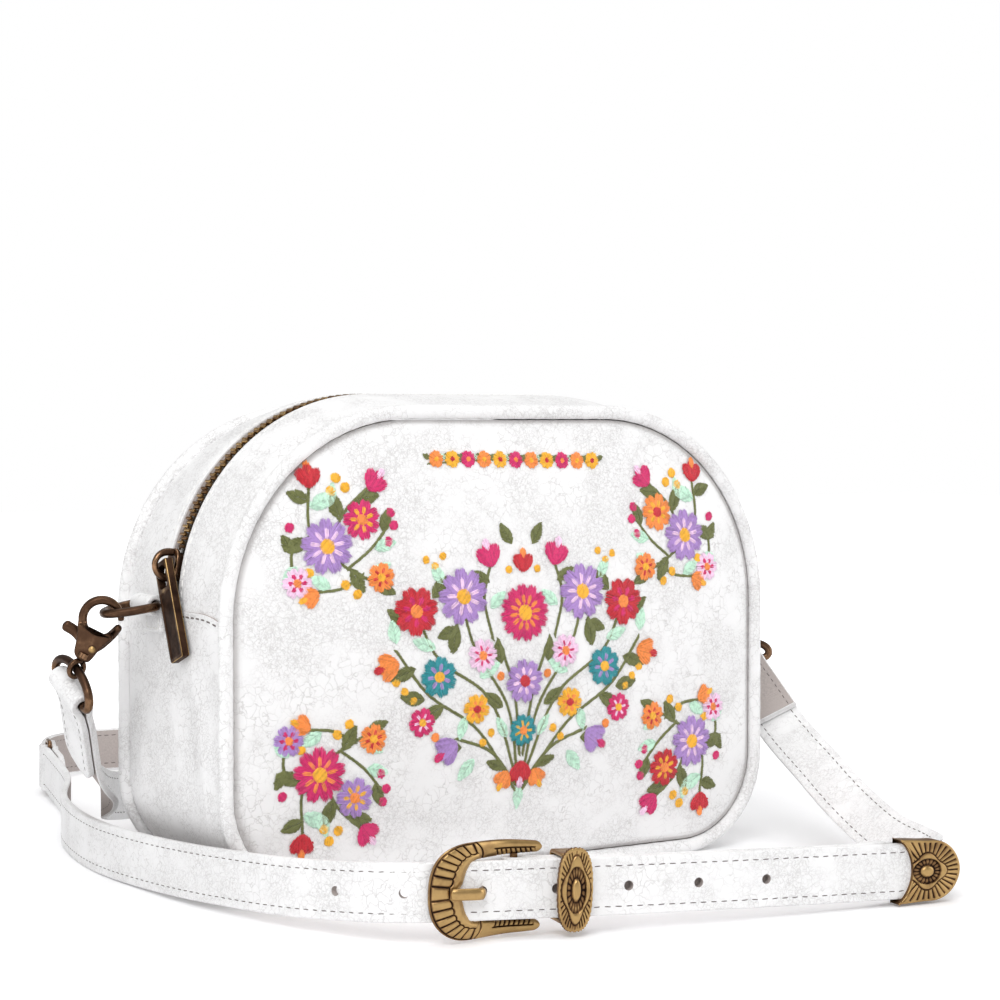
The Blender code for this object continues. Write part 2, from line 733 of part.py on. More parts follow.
def make_slider():
    """The slider sits past the closed teeth, at the zip's left end."""
    centre = Vector((-ZIP_CENTRE_X, 0.0, ZIP_CENTRE_Z))
    joint = empty_at("zip_slider_axis", centre)
    channel_low = TAPE_RISE - TAPE_THICK - SLIDER_ROOM
    channel_high = TEETH_RISE + TOOTH_HEIGHT + GAP
    mid_rise = (channel_low + channel_high) / 2
    place, out = zip_place(SLIDER_RUN, mid_rise)
    across = Vector((0.0, 1.0, 0.0))
    along = across.cross(out)
    room = (channel_high - channel_low) / 2
    height = 2 * (room + SLIDER_PLATE)
    half = SLIDER_LENGTH / 2
    nose = SLIDER_WIDTH / 2
    heel = nose - SLIDER_PLATE
    outline = [
        (-half, -heel), (-half + SLIDER_PLATE, -nose), (half - SLIDER_PLATE, -nose), (half, -heel),
        (half, heel), (half - SLIDER_PLATE, nose), (-half + SLIDER_PLATE, nose), (-half, heel),
    ]
    slider = prism("zip_slider", outline, place, (along, across, out), height, "antique_brass", centre)
    channels = []
    wall = SLIDER_POST / 2
    for name, side in (("slider_channel_front", -1.0), ("slider_channel_back", 1.0)):
        reach = nose + OVERRUN - wall
        middle = place + across * (side * (wall + reach / 2))
        channels.append(block(
            name, middle, (along, across, out),
            (SLIDER_LENGTH + 2 * OVERRUN, reach, 2 * room), "antique_brass",
        ))
    cut(slider, channels)
    top_rise = mid_rise + height / 2 + GAP
    span = BRIDGE_LENGTH / 2 - BRIDGE_RADIUS
    crest = BRIDGE_HEIGHT - BRIDGE_RADIUS
    steps = 2 * FOLD_STEPS
    base, _ = zip_place(SLIDER_RUN, top_rise)
    arch = []
    for i in range(steps + 1):
        a = math.pi * i / steps
        arch.append(base + along * (-span * math.cos(a)) + out * (crest * math.sin(a)))
    bridge = wire("slider_bridge", arch, across, BRIDGE_RADIUS, "antique_brass", False, centre)
    swing = math.hypot(PULL_THICK / 2, PULL_EYE_MARGIN / 2)
    pull = make_pull(base + out * (crest - BRIDGE_RADIUS - GAP - swing))
    carry(joint, slider, bridge, pull)


def make_pull(pivot):
    """A plain bar that hangs from the bridge and leans on the gusset; its eye is round the bridge."""
    joint = empty_at("zip_pull_axis", pivot)
    lean = math.radians(PULL_LEAN)
    drop = math.radians(PULL_DROP)
    down = Matrix.Rotation(-lean, 3, "X") @ Vector((math.sin(drop), 0.0, -math.cos(drop)))
    across = Matrix.Rotation(-lean, 3, "X") @ Vector((0.0, 1.0, 0.0))
    face = down.cross(across)
    half = PULL_WIDTH / 2
    top = PULL_EYE_MARGIN / 2
    centre = pivot + down * (PULL_LENGTH / 2 - top)
    bar = block("zip_pull", centre, (down, across, face), (PULL_LENGTH, PULL_WIDTH, PULL_THICK), "antique_brass", pivot)
    eye = block(
        "pull_eye", pivot + down * (top + PULL_EYE_LENGTH / 2), (down, across, face),
        (PULL_EYE_LENGTH, PULL_EYE_WIDTH, PULL_THICK + 2 * OVERRUN), "antique_brass",
    )
    cut(bar, (eye,))
    carry(joint, bar)
    return joint


def mirror(v, side):
    """The same place on the bag's other end."""
    return Vector((side * v[0], v[1], v[2]))


def d_outline(half, depth, corner):
    """A D: a straight bar at zero depth and a half ellipse that reaches the depth."""
    steps = 2 * FOLD_STEPS
    points = [(-half + corner, 0.0), (half - corner, 0.0)]
    bevel = corner * CORNER_SHARE
    points.append((half - bevel, bevel))
    for i in range(steps + 1):
        a = math.pi * i / steps
        points.append((half * math.cos(a), corner + (depth - corner) * math.sin(a)))
    points.append((-half + bevel, bevel))
    return points


def make_end(side, label, ring_droop, clasp_turn, swivel, ring_slide, ring_tilt):
    """Tab, ring, clasp and strap ring at one end of the bag: side is -1 on the left, 1 on the right."""
    roll = RING_WIRE + GAP + TAB_LEATHER
    bar_x = ZIP_HALF_WIDTH + GAP + roll
    bar_z = SEAM_TOP - TOP_RADIUS + roll + GAP
    bar = Vector((bar_x, TAB_Y, bar_z))

    # Rolled leather tab round the ring's bar, its tail sewn down over the seam
    outer, inner = [], []
    for i in range(2 * FOLD_STEPS + 1):
        a = -math.pi / 2 + 1.5 * math.pi * i / (2 * FOLD_STEPS)
        outer.append((bar.x + roll * math.cos(a), bar.z + roll * math.sin(a)))
        inner.append((bar.x + (roll - TAB_LEATHER) * math.cos(a), bar.z + (roll - TAB_LEATHER) * math.sin(a)))
    tail_foot = bar.z - roll - TAB_TAIL
    skin_in = bar.x - roll + TAB_LEATHER
    shape = outer + [(bar.x - roll, tail_foot), (skin_in, tail_foot)] + list(reversed(inner))
    prism(
        label + "_ring_tab", [(side * x, z) for x, z in shape], (0.0, TAB_Y, 0.0),
        ((1, 0, 0), (0, 0, 1), (0, 1, 0)), TAB_WIDTH, "white_leather",
    )

    # D-ring
    joint_at = mirror(bar, side)
    ring_joint = empty_at(label + "_d_ring_axis", joint_at)
    droop = math.radians(ring_droop)
    outward = Vector((math.cos(droop), 0.0, -math.sin(droop)))
    along = Vector((0.0, 1.0, 0.0))
    half = TAB_WIDTH / 2 + GAP + RING_WIRE
    ring_points = [bar + along * a + outward * b for a, b in d_outline(half, RING_DEPTH, RING_CORNER)]
    normal = outward.cross(along)
    d_ring = wire(
        label + "_d_ring", [mirror(p, side) for p in ring_points], mirror(normal, side),
        RING_WIRE, "antique_brass", True, joint_at,
    )

    # Clasp, in a plane turned towards the front
    ring_end = bar + outward * RING_DEPTH
    turn = math.radians(clasp_turn)
    across = Vector((math.cos(turn), math.sin(turn), 0.0))
    up = Vector((0.0, 0.0, 1.0))
    depth = Vector((-math.sin(turn), math.cos(turn), 0.0))
    eye = ring_end + across * EYE_PAST_RING - up * EYE_BELOW_RING

    def place(a, b, d=0.0):
        return mirror(eye - across * a + up * b + depth * d, side)

    clasp_at = mirror(ring_end, side)
    clasp_joint = empty_at(label + "_clasp_axis", clasp_at)
    clasp = clasp_hook(label + "_clasp", place, mirror(depth, side), clasp_at)
    lean = math.radians(BODY_LEAN)
    axis = (-math.sin(lean), -math.cos(lean))
    pivot_run = EYE_RADIUS + (BODY_LENGTH - EYE_RADIUS) * PIVOT_SHARE
    pivot = (axis[0] * pivot_run * PIVOT_SHARE, axis[1] * pivot_run)
    lever_joint, lever = clasp_lever(label + "_clasp_lever", place, pivot, mirror(depth, side))
    rivet = cylinder(
        label + "_clasp_rivet",
        place(pivot[0], pivot[1], -(CLASP_THICK / 2 + GAP)),
        place(pivot[0], pivot[1], -(CLASP_THICK / 2 + GAP + RIVET_THICK)),
        RIVET_RADIUS, "aged_gold", ROUND_SIDES, clasp_at,
    )

    # Swivel: a stem that ends in an eye round the strap ring's wire
    swivel_at = place(axis[0] * (BODY_LENGTH + GAP), axis[1] * (BODY_LENGTH + GAP))
    swivel_joint = empty_at(label + "_swivel_axis", swivel_at)
    eye_radius = STRAP_RING_WIRE + GAP + POST_WIRE
    reach = BODY_LENGTH + GAP + POST_STEM + eye_radius
    ring_top = place(axis[0] * reach, axis[1] * reach)
    twist = math.radians(swivel)
    stem = mirror(up * axis[1] - across * axis[0], side)
    level = mirror(across * -axis[1] - up * axis[0], side)
    lengthways = mirror(depth, side) * math.cos(twist) + level * math.sin(twist)
    if lengthways.z < 0.0:
        lengthways = -lengthways
    eye_side = lengthways.cross(stem)
    eye_path = [swivel_at]
    for i in range(2 * FOLD_STEPS):
        a = math.pi * i / FOLD_STEPS
        eye_path.append(ring_top - stem * (eye_radius * math.cos(a)) + eye_side * (eye_radius * math.sin(a)))
    post = wire(label + "_swivel_post", eye_path[:-1], lengthways, POST_WIRE, "antique_brass", False, swivel_at)
    slide = math.radians(ring_slide)
    bar_side = stem * math.cos(slide) + lengthways * math.sin(slide)
    lengthways = lengthways * math.cos(slide) - stem * math.sin(slide)
    tilt = math.radians(ring_tilt)
    bar_side = bar_side * math.cos(tilt) + lengthways.cross(bar_side) * (side * math.sin(tilt))
    half = STRAP_WIDTH / 2 + STRAP_RING_ROOM + STRAP_RING_WIRE
    strap_bar = ring_top + bar_side * STRAP_RING_DEPTH
    outline = d_outline(half, STRAP_RING_DEPTH, STRAP_RING_CORNER)
    loop = [strap_bar + lengthways * a - bar_side * b for a, b in outline]
    swing_joint = empty_at(label + "_strap_ring_axis", ring_top)
    ring = wire(
        label + "_strap_ring", loop, lengthways.cross(bar_side), STRAP_RING_WIRE,
        "antique_brass", True, ring_top,
    )
    carry(swing_joint, ring)
    carry(swivel_joint, post, swing_joint)
    carry(lever_joint, lever)
    carry(clasp_joint, clasp, rivet, lever_joint, swivel_joint)
    carry(ring_joint, d_ring, clasp_joint)
    return strap_bar, lengthways


def clasp_hook(name, place, normal, origin):
    """The hook, its body and its neck, swept in one: a round wire that widens into the body."""
    lean = math.radians(BODY_LEAN)
    axis = (-math.sin(lean), -math.cos(lean))
    points = []
    sections = []
    arc_steps = 2 * FOLD_STEPS
    for i in range(arc_steps + 1):
        a = math.radians(HOOK_END_ANGLE + (HOOK_NECK_ANGLE - HOOK_END_ANGLE) * i / arc_steps)
        points.append((EYE_RADIUS * math.cos(a), EYE_RADIUS * math.sin(a)))
        sections.append((HOOK_WIRE, HOOK_WIRE))
    for run, aside, wide in CLASP_SHARES:
        length = BODY_LENGTH * run
        points.append((axis[0] * length - EYE_RADIUS * aside, axis[1] * length))
        sections.append((CLASP_THICK / 2, BODY_WIDE / 2 * wide))
    path = [place(a, b) for a, b in points]
    turned = []
    turn = 2 * math.pi / WIRE_SIDES
    for thick, wide in sections:
        turned.append([(thick * math.cos(k * turn), wide * math.sin(k * turn)) for k in range(WIRE_SIDES)])
    return sweep(name, path, [normal] * len(path), turned, "antique_brass", False, origin)


def clasp_lever(name, place, pivot, normal):
    """The sprung gate and its thumb piece, one lever behind the body that turns on the rivet."""
    behind = CLASP_THICK / 2 + GAP + LEVER_WIRE
    tip = [EYE_RADIUS * share for share in GATE_TIP_SHARES]
    knee = [EYE_RADIUS * share for share in GATE_KNEE_SHARES]
    out_share, down_share = THUMB_KNEE_SHARES
    points = [
        (tip[0], tip[1], 0.0),
        (knee[0], knee[1], behind),
        (pivot[0], pivot[1], behind),
        (-THUMB_OUT * out_share, -THUMB_DOWN - EYE_RADIUS * down_share, behind),
        (-THUMB_OUT, -THUMB_DOWN, behind),
    ]
    path = smooth_curve([place(*p) for p in points], 3)
    sections = []
    turn = 2 * math.pi / WIRE_SIDES
    for i in range(len(path)):
        wide = LEVER_WIRE if i < len(path) - 3 else THUMB_WIDE / 2
        sections.append([
            (LEVER_WIRE * math.cos(k * turn), wide * math.sin(k * turn)) for k in range(WIRE_SIDES)
        ])
    at = place(pivot[0], pivot[1])
    joint = empty_at(name + "_axis", at)
    lever = sweep(name, [Vector(p) for p in path], [normal] * len(path), sections, "antique_brass", False, at)
    return joint, lever


# The strap's front run: an arc in a plane that falls from the buckle's height to the floor
LAYER = STRAP_THICK + FOLD_GAP
JOIN_HALF = STRAP_WIDTH / 2 + GAP + JOIN_CORNER
STRAP_CENTRE_HEIGHT = STRAP_WIDTH / 2 + FLOOR_GAP
TIP_CENTRE_HEIGHT = STRAP_CENTRE_HEIGHT + TIP_METAL + GAP
BUCKLE_SHARE = BUCKLE_LENGTH / math.hypot(RUN_END[0] - RUN_START[0], RUN_END[1] - RUN_START[1])
BUCKLE_REST_HEIGHT = BUCKLE_HEIGHT / 2 + FLOOR_GAP
BUCKLE_CENTRE_HEIGHT = (BUCKLE_REST_HEIGHT - TIP_CENTRE_HEIGHT * BUCKLE_SHARE) / (1 - BUCKLE_SHARE)


def run_frame():
    """Middle, radius, axis directions and half angle of the front run's arc."""
    a = Vector((RUN_START[0], RUN_START[1], BUCKLE_CENTRE_HEIGHT))
    b = Vector((RUN_END[0], RUN_END[1], TIP_CENTRE_HEIGHT))
    chord = b - a
    length = chord.length
    along = chord / length
    front = unit(Vector((0.0, 0.0, 1.0)).cross(along)) * -1.0
    width = unit(front.cross(along))
    radius = (length * length / 4 + RUN_SAGITTA * RUN_SAGITTA) / (2 * RUN_SAGITTA)
    centre = (a + b) / 2 - front * (radius - RUN_SAGITTA)
    half = math.asin(length / 2 / radius)
    return centre, radius, along, front, width, half


def run_point(length, out=0.0):
    """A place on the front run: a length from its left end, and a distance out from its middle."""
    centre, radius, along, front, width, half = run_frame()
    a = -half + length / radius
    t = along * math.cos(a) - front * math.sin(a)
    n = front * math.cos(a) + along * math.sin(a)
    return centre + n * (radius + out), t, n, width


def run_length():
    """The front run's length along its arc."""
    _, radius, _, _, _, half = run_frame()
    return 2 * radius * half


def widths(count, first, last, share_at=1.0):
    """Directions that turn evenly from the first to the last."""
    out = []
    for i in range(count):
        s = min(1.0, i / (count - 1) / share_at)
        s = s * s * (3 - 2 * s)
        out.append(unit(Vector(first) * (1 - s) + Vector(last) * s))
    return out


def fold_frame(bar, toward, width, hand):
    """The way a strap leaves a bar, and the side on which its end lies back."""
    leave = Vector(toward) - bar
    leave = unit(leave - width * leave.dot(width))
    return leave, width.cross(leave) * hand


def fold_entry(bar, toward, width, inner, hand):
    """Where a strap starts its last straight way onto a bar."""
    leave, side = fold_frame(bar, toward, width, hand)
    return bar + leave * (FOLD_RUN * (inner + STRAP_THICK / 2)) - side * (LAYER / 2)


def folded(curve, ups, bar, toward, inner, reach, hand):
    """A band that goes round a bar and back along itself.

    The curve ends at the bar's fold entry; hand is the side, 1 or -1, on which the end lies back.
    """
    width = unit(ups[-1])
    leave, side = fold_frame(bar, toward, width, hand)
    radius = inner + STRAP_THICK / 2
    meet = bar + leave * (2 * radius)
    path = list(curve) + [meet - side * (LAYER / 2)]
    for i in range(2 * FOLD_STEPS + 1):
        a = math.pi * i / (2 * FOLD_STEPS)
        path.append(bar - side * (radius * math.cos(a)) - leave * (radius * math.sin(a)))
    path.append(meet + side * (LAYER / 2))
    turned = list(ups) + [width] * (len(path) - len(ups))
    dirs = tangents(list(curve) + [meet - side * (LAYER / 2)])
    walked = 2 * radius
    i = len(curve) - 1
    while i > 0 and walked < reach:
        w = unit(ups[i])
        path.append(curve[i] - unit(w.cross(dirs[i])) * (hand * LAYER))
        turned.append(ups[i])
        walked += (curve[i] - curve[i - 1]).length
        i -= 1
    return path, turned


def route_points(route):
    """A route's places at the strap's middle height, each raised by its own lift."""
    return [Vector((x, y, STRAP_CENTRE_HEIGHT + z)) for x, y, z in route]


def smooth_route(points):
    """A smooth curve that never dips below the lowest of its own points."""
    low = min(p.z for p in points)
    return [Vector((p[0], p[1], max(p[2], low))) for p in smooth_curve(points, CURVE_STEPS)]


def make_strap(left_bar, left_width, right_bar, right_width):
    """The strap's lengths, the joining ring, the buckle, keeper and tip."""
    up = Vector((0.0, 0.0, 1.0))
    length = run_length()
    bar_run = BUCKLE_LENGTH - BAR_FROM_END
    tongue_hole = bar_run - TONGUE_TO_HOLE
    make_front(up, length, tongue_hole)
    make_rear(up, left_bar, left_width)
    make_buckle_end(up, bar_run, length, right_bar, right_width)
    make_buckle(bar_run, tongue_hole)
    make_keeper(BUCKLE_LENGTH + KEEPER_FROM_BUCKLE + CONCHO_LENGTH / 2)
    make_tip(length)


def join_places():
    """The joining ring's near and far legs, and the direction from near to far."""
    start, after = route_points(FRONT_ROUTE[:2])
    away = unit(start - after)
    leg = Vector((start.x, start.y, JOIN_HALF + JOIN_WIRE + FLOOR_GAP))
    return leg, leg + away * JOIN_WIDTH, away


def make_front(up, length, tongue_hole):
    """The front length: folded on the joining ring, round the bag's left end, through the buckle."""
    end = length - TIP_LENGTH + TIP_POCKET - GAP
    steps = 2 * TOP_CORNER_STEPS
    run = [run_point(end * i / steps)[0] for i in range(steps + 1)]
    run_width = run_point(0.0)[3]
    near, _, _ = join_places()
    inner = JOIN_WIRE + GAP
    after = route_points(FRONT_ROUTE[1:])
    entry = fold_entry(near, after[0], up, inner, FRONT_FOLD_HAND)
    lead = smooth_route([entry] + after + run[:2])[:-CURVE_STEPS - 1]
    path = lead + run
    ups = widths(len(lead), up, run_width) + [run_width] * len(run)
    path.reverse()
    ups.reverse()
    path, ups = folded(path, ups, near, after[0], inner, FLAP_LENGTH, FRONT_FOLD_HAND)
    front = band("strap_front", path, ups)
    cutters = []
    for i in range(-HOLES_BEFORE_TONGUE, HOLES_PAST_TONGUE + 1):
        at = tongue_hole + i * HOLE_PITCH
        if at > 0:
            place, _, n, _ = run_point(at)
        else:
            place, n = lead_point(lead + [run[0]], -at, up)
        reach = n * (2 * STRAP_THICK)
        cutters.append(cylinder(
            "strap_hole_%d" % (i + HOLES_BEFORE_TONGUE), place - reach, place + reach,
            HOLE_RADIUS, "suede_back", TUBE_SIDES,
        ))
    cut(front, cutters)
    make_joining_ring(up)


def make_joining_ring(up):
    """A wire ring with rounded corners, on its edge between the strap's two folds."""
    near, far, away = join_places()
    middle = (near + far) / 2
    corners = []
    quarter = FOLD_STEPS // 2
    for turn, (x, z) in enumerate(((1.0, 1.0), (-1.0, 1.0), (-1.0, -1.0), (1.0, -1.0))):
        centre = middle + away * (x * (JOIN_WIDTH / 2 - JOIN_CORNER)) + up * (z * (JOIN_HALF - JOIN_CORNER))
        for i in range(quarter + 1):
            a = math.pi / 2 * (turn + i / quarter)
            corners.append(centre + (away * math.cos(a) + up * math.sin(a)) * JOIN_CORNER)
    wire("joining_ring", corners, away.cross(up), JOIN_WIRE, "antique_brass", True)


def lead_point(path, back, up):
    """A place and outward direction on a path, a distance back from its end."""
    left = back
    i = len(path) - 1
    while i > 1 and (path[i] - path[i - 1]).length < left:
        left -= (path[i] - path[i - 1]).length
        i -= 1
    t = unit(path[i] - path[i - 1])
    return path[i] - t * left, unit(t.cross(up))


def make_rear(up, bar, width):
    """The rear length, from the joining ring round its loop, and the left end that rises to its ring."""
    _, far, _ = join_places()
    join_inner = JOIN_WIRE + GAP
    ring_inner = STRAP_RING_WIRE + GAP
    rear = route_points(REAR_ROUTE)
    rise = route_points(LEFT_END_ROUTE)
    first = fold_entry(far, rear[0], up, join_inner, REAR_FOLD_HAND)
    last = fold_entry(bar, rise[-1], width, ring_inner, LEFT_FOLD_HAND)
    curve = smooth_route([first] + rear + rise[1:] + [last])
    index = CURVE_STEPS * len(rear)
    ups = [up] * index + widths(len(curve) - index, up, width, LEFT_TWIST_SHARE)
    path, ups = folded(curve, ups, bar, rise[-1], ring_inner, LEFT_FOLD_LENGTH, LEFT_FOLD_HAND)
    whole = len(path)
    path.reverse()
    ups.reverse()
    path, ups = folded(path, ups, far, rear[0], join_inner, REAR_FLAP_LENGTH, REAR_FOLD_HAND)
    path.reverse()
    ups.reverse()
    split_band("strap_rear", "strap_left_end", path, ups, len(path) - whole + index)


def make_buckle_end(up, bar_run, length, bar, width):
    """The buckle length, behind the front run and round its turn, and the right end up to its ring."""
    radius = BAR_RADIUS + GAP + STRAP_THICK / 2
    join = bar_run + FOLD_RUN * radius
    path = []
    steps = FOLD_STEPS // 2
    for i in range(steps + 1):
        s = bar_run + FOLDED_END - (FOLDED_END - FOLD_RUN * radius) * i / steps
        path.append(run_point(s, -2 * LAYER)[0])
    place, t, n, w = run_point(bar_run)
    centre = place - n * bar_depth()
    for i in range(2 * FOLD_STEPS + 1):
        a = -math.pi / 2 - math.pi * i / (2 * FOLD_STEPS)
        path.append(centre + t * (radius * math.cos(a)) + n * (radius * math.sin(a)))
    tip_from = length - TIP_LENGTH
    turn_from = tip_from - TURN_LEAD
    steps = 2 * FOLD_STEPS
    for i in range(steps + 1):
        path.append(run_point(join + (turn_from - join) * i / steps, -LAYER)[0])
    run_count = len(path)
    inner = STRAP_RING_WIRE + GAP
    clear = run_point(tip_from, -(LAYER + TIP_METAL + RUN_GAP))[0]
    turn = [clear] + route_points(RIGHT_TURN)
    rise = route_points(RIGHT_END_ROUTE)
    last = fold_entry(bar, rise[-1], width, inner, RIGHT_FOLD_HAND)
    tail = smooth_route(path[-2:] + turn + rise[1:] + [last])[CURVE_STEPS + 1:]
    path += tail
    turned = CURVE_STEPS * len(turn)
    ups = [w] * run_count + widths(len(tail), w, width, RIGHT_TWIST_SHARE)
    path, ups = folded(path, ups, bar, rise[-1], inner, RIGHT_FOLD_LENGTH, RIGHT_FOLD_HAND)
    near, _ = split_band("strap_buckle_end", "strap_right_end", path, ups, run_count + turned - 1)
    ahead = BAR_RADIUS + GAP + 2 * TONGUE_RADIUS + RUN_GAP
    slot = block(
        "tongue_slot", centre + t * ((ahead - FOLD_RUN * radius) / 2), (t, n, w),
        (FOLD_RUN * radius + ahead, FOLD_RUN * radius, 2 * (TONGUE_RADIUS + RUN_GAP)), "suede_back",
    )
    cut(near, (slot,))


def bar_depth():
    """How far the buckle's bar lies behind the middle of the front length."""
    return STRAP_THICK / 2 + FOLD_GAP + STRAP_THICK + GAP + BAR_RADIUS


def make_buckle(bar_run, tongue_hole):
    """The frame bends back from its face plate, in front of the strap, to the bar behind it."""
    middle, t, n, w = run_point(BUCKLE_LENGTH / 2)
    half = BUCKLE_HEIGHT / 2
    front = STRAP_THICK / 2 + RUN_GAP + BUCKLE_METAL / 2
    back = bar_depth()
    left = -BUCKLE_LENGTH / 2
    right = BUCKLE_LENGTH / 2
    arm = half - BUCKLE_ARM / 2
    plate = left + BUCKLE_PLATE / 2
    corner = BUCKLE_PLATE / 2
    outline = [(right, -arm, BUCKLE_ARM * 0.8)]
    steps = 4
    for i in range(steps + 1):
        share = i / steps
        outline.append((right - (right - plate - corner) * share, -arm, BUCKLE_ARM))
    outline.append((plate + corner * 0.45, -arm + corner * 0.2, BUCKLE_ARM * 1.35))
    outline.append((plate, -arm + corner, BUCKLE_PLATE))
    outline.append((plate, 0.0, BUCKLE_PLATE))
    path = outline + [(a, -b, c) for a, b, c in reversed(outline[:-1])]

    def bend(along):
        s = min(1.0, max(0.0, (along - plate) / (bar_run - BUCKLE_LENGTH / 2 - plate)))
        return front - (front + back) * s * s * (3 - 2 * s)

    points = [middle + t * a + w * b + n * bend(a) for a, b, _ in path]
    sections = []
    for _, _, wide in path:
        m = BUCKLE_METAL / 2
        k = wide / 2
        sections.append([(-m, -k), (m * 0.5, -k), (m, -k * 0.6), (m, k * 0.6), (m * 0.5, k), (-m, k)])
    frame = sweep("buckle_frame", points, [n] * len(points), sections, "aged_gold")
    place, tb, nb, wb = run_point(bar_run)
    centre = place - nb * bar_depth()
    reach = arm - BUCKLE_ARM / 2 - GAP
    cylinder("buckle_bar", centre - wb * reach, centre + wb * reach, BAR_RADIUS, "aged_gold", TUBE_SIDES)
    make_tongue(centre, tb, nb, wb, bar_run, tongue_hole)
    return frame


def make_tongue(centre, t, n, w, bar_run, tongue_hole):
    """The prong: a loop round the bar, up through the strap's hole and out over the frame's plate."""
    joint = empty_at("buckle_tongue_axis", centre)
    loop = BAR_RADIUS + GAP + TONGUE_RADIUS
    back = bar_depth()
    top = STRAP_THICK / 2 + RUN_GAP + BUCKLE_METAL + GAP + TONGUE_RADIUS
    to_hole = bar_run - tongue_hole
    behind = -(STRAP_THICK / 2 + RUN_GAP + TONGUE_RADIUS)
    path = []
    for i in range(FOLD_STEPS):
        a = math.radians(60.0 - 40.0 * i)
        path.append((loop * math.cos(a), loop * math.sin(a) - back))
    path += [
        (-loop * 1.15, -back + loop * 0.15),
        (-to_hole + TONGUE_RADIUS * 1.3, behind),
        (-to_hole, 0.0),
        (-to_hole - TONGUE_RADIUS * 1.3, top),
        (-to_hole - TONGUE_RADIUS * 6, top + TONGUE_RADIUS * 0.4),
        (-TONGUE_REACH, top),
    ]
    points = [centre + t * a + n * (b + back) for a, b in path]
    section = tube_section(TONGUE_RADIUS, WIRE_SIDES)
    tongue = sweep("buckle_tongue", points, [w] * len(points), [section] * len(points), "aged_gold", False, centre)
    carry(joint, tongue)


def make_keeper(at):
    """The loop that holds the strap's layers, with its oval plate on the front."""
    place, t, n, w = run_point(at)
    joint = empty_at("keeper_axis", place)
    top = STRAP_THICK / 2 + RUN_GAP
    bottom = STRAP_THICK / 2 + 2 * (STRAP_THICK + FOLD_GAP) + RUN_GAP
    side = STRAP_WIDTH / 2 + RUN_GAP
    m = KEEPER_METAL
    middle = place + n * ((top - bottom) / 2)
    band_piece = block(
        "keeper_band", middle, (t, n, w), (KEEPER_LENGTH, top + bottom + 2 * m, 2 * (side + m)), "aged_gold", place,
    )
    hole = block(
        "keeper_hollow", middle, (t, n, w), (KEEPER_LENGTH + 2 * OVERRUN, top + bottom, 2 * side), "aged_gold",
    )
    cut(band_piece, (hole,))
    outline = tube_section(CONCHO_LENGTH / 2, ROUND_SIDES, CONCHO_HEIGHT / CONCHO_LENGTH)
    plate = prism(
        "keeper_concho", outline, place + n * (top + m + GAP + CONCHO_THICK / 2), (t, w, n),
        CONCHO_THICK, "aged_gold", place,
    )
    carry(joint, band_piece, plate)


def make_tip(length):
    """The metal cap on the strap's end: straight sides, a round nose and a hollow for the leather."""
    nose = TIP_LENGTH * 0.45
    half = STRAP_WIDTH / 2 + GAP + TIP_METAL
    place, t, n, w = run_point(length - TIP_LENGTH / 2)
    outline = [(-TIP_LENGTH / 2, -half), (TIP_LENGTH / 2 - nose, -half)]
    steps = FOLD_STEPS
    for i in range(1, 2 * steps):
        a = -math.pi / 2 + math.pi * i / (2 * steps)
        outline.append((TIP_LENGTH / 2 - nose + nose * math.cos(a), half * math.sin(a)))
    outline += [(TIP_LENGTH / 2 - nose, half), (-TIP_LENGTH / 2, half)]
    thick = STRAP_THICK + 2 * (GAP + TIP_METAL)
    tip = prism("strap_tip", outline, place, (t, w, n), thick, "aged_gold")
    hollow = block(
        "tip_hollow", place - t * (TIP_LENGTH / 2 + OVERRUN - (TIP_POCKET + OVERRUN) / 2), (t, w, n),
        (TIP_POCKET + OVERRUN, STRAP_WIDTH + 2 * GAP, STRAP_THICK + 2 * GAP), "aged_gold",
    )
    cut(tip, (hollow,))


def main():
    """Build the whole bag."""
    clear_scene()
    make_body()
    make_zip()
    left_bar, left_width = make_end(-1.0, "left", LEFT_DROOP, LEFT_CLASP_TURN, LEFT_SWIVEL, LEFT_RING_SLIDE, LEFT_RING_TILT)
    right_bar, right_width = make_end(1.0, "right", RIGHT_DROOP, RIGHT_CLASP_TURN, RIGHT_SWIVEL, RIGHT_RING_SLIDE, RIGHT_RING_TILT)
    make_strap(left_bar, left_width, right_bar, right_width)


main()
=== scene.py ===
"""Dress the mini bag: leather skins, thread work, metal fittings, the stage and the camera.

Everything is in metres in the frame of the solids: +Z up, -Y the front, the floor at zero.
"""

import math

import bmesh
import bpy
import numpy as np
from bpy.props import FloatProperty, FloatVectorProperty, IntProperty, PointerProperty
from mathutils import Matrix, Vector


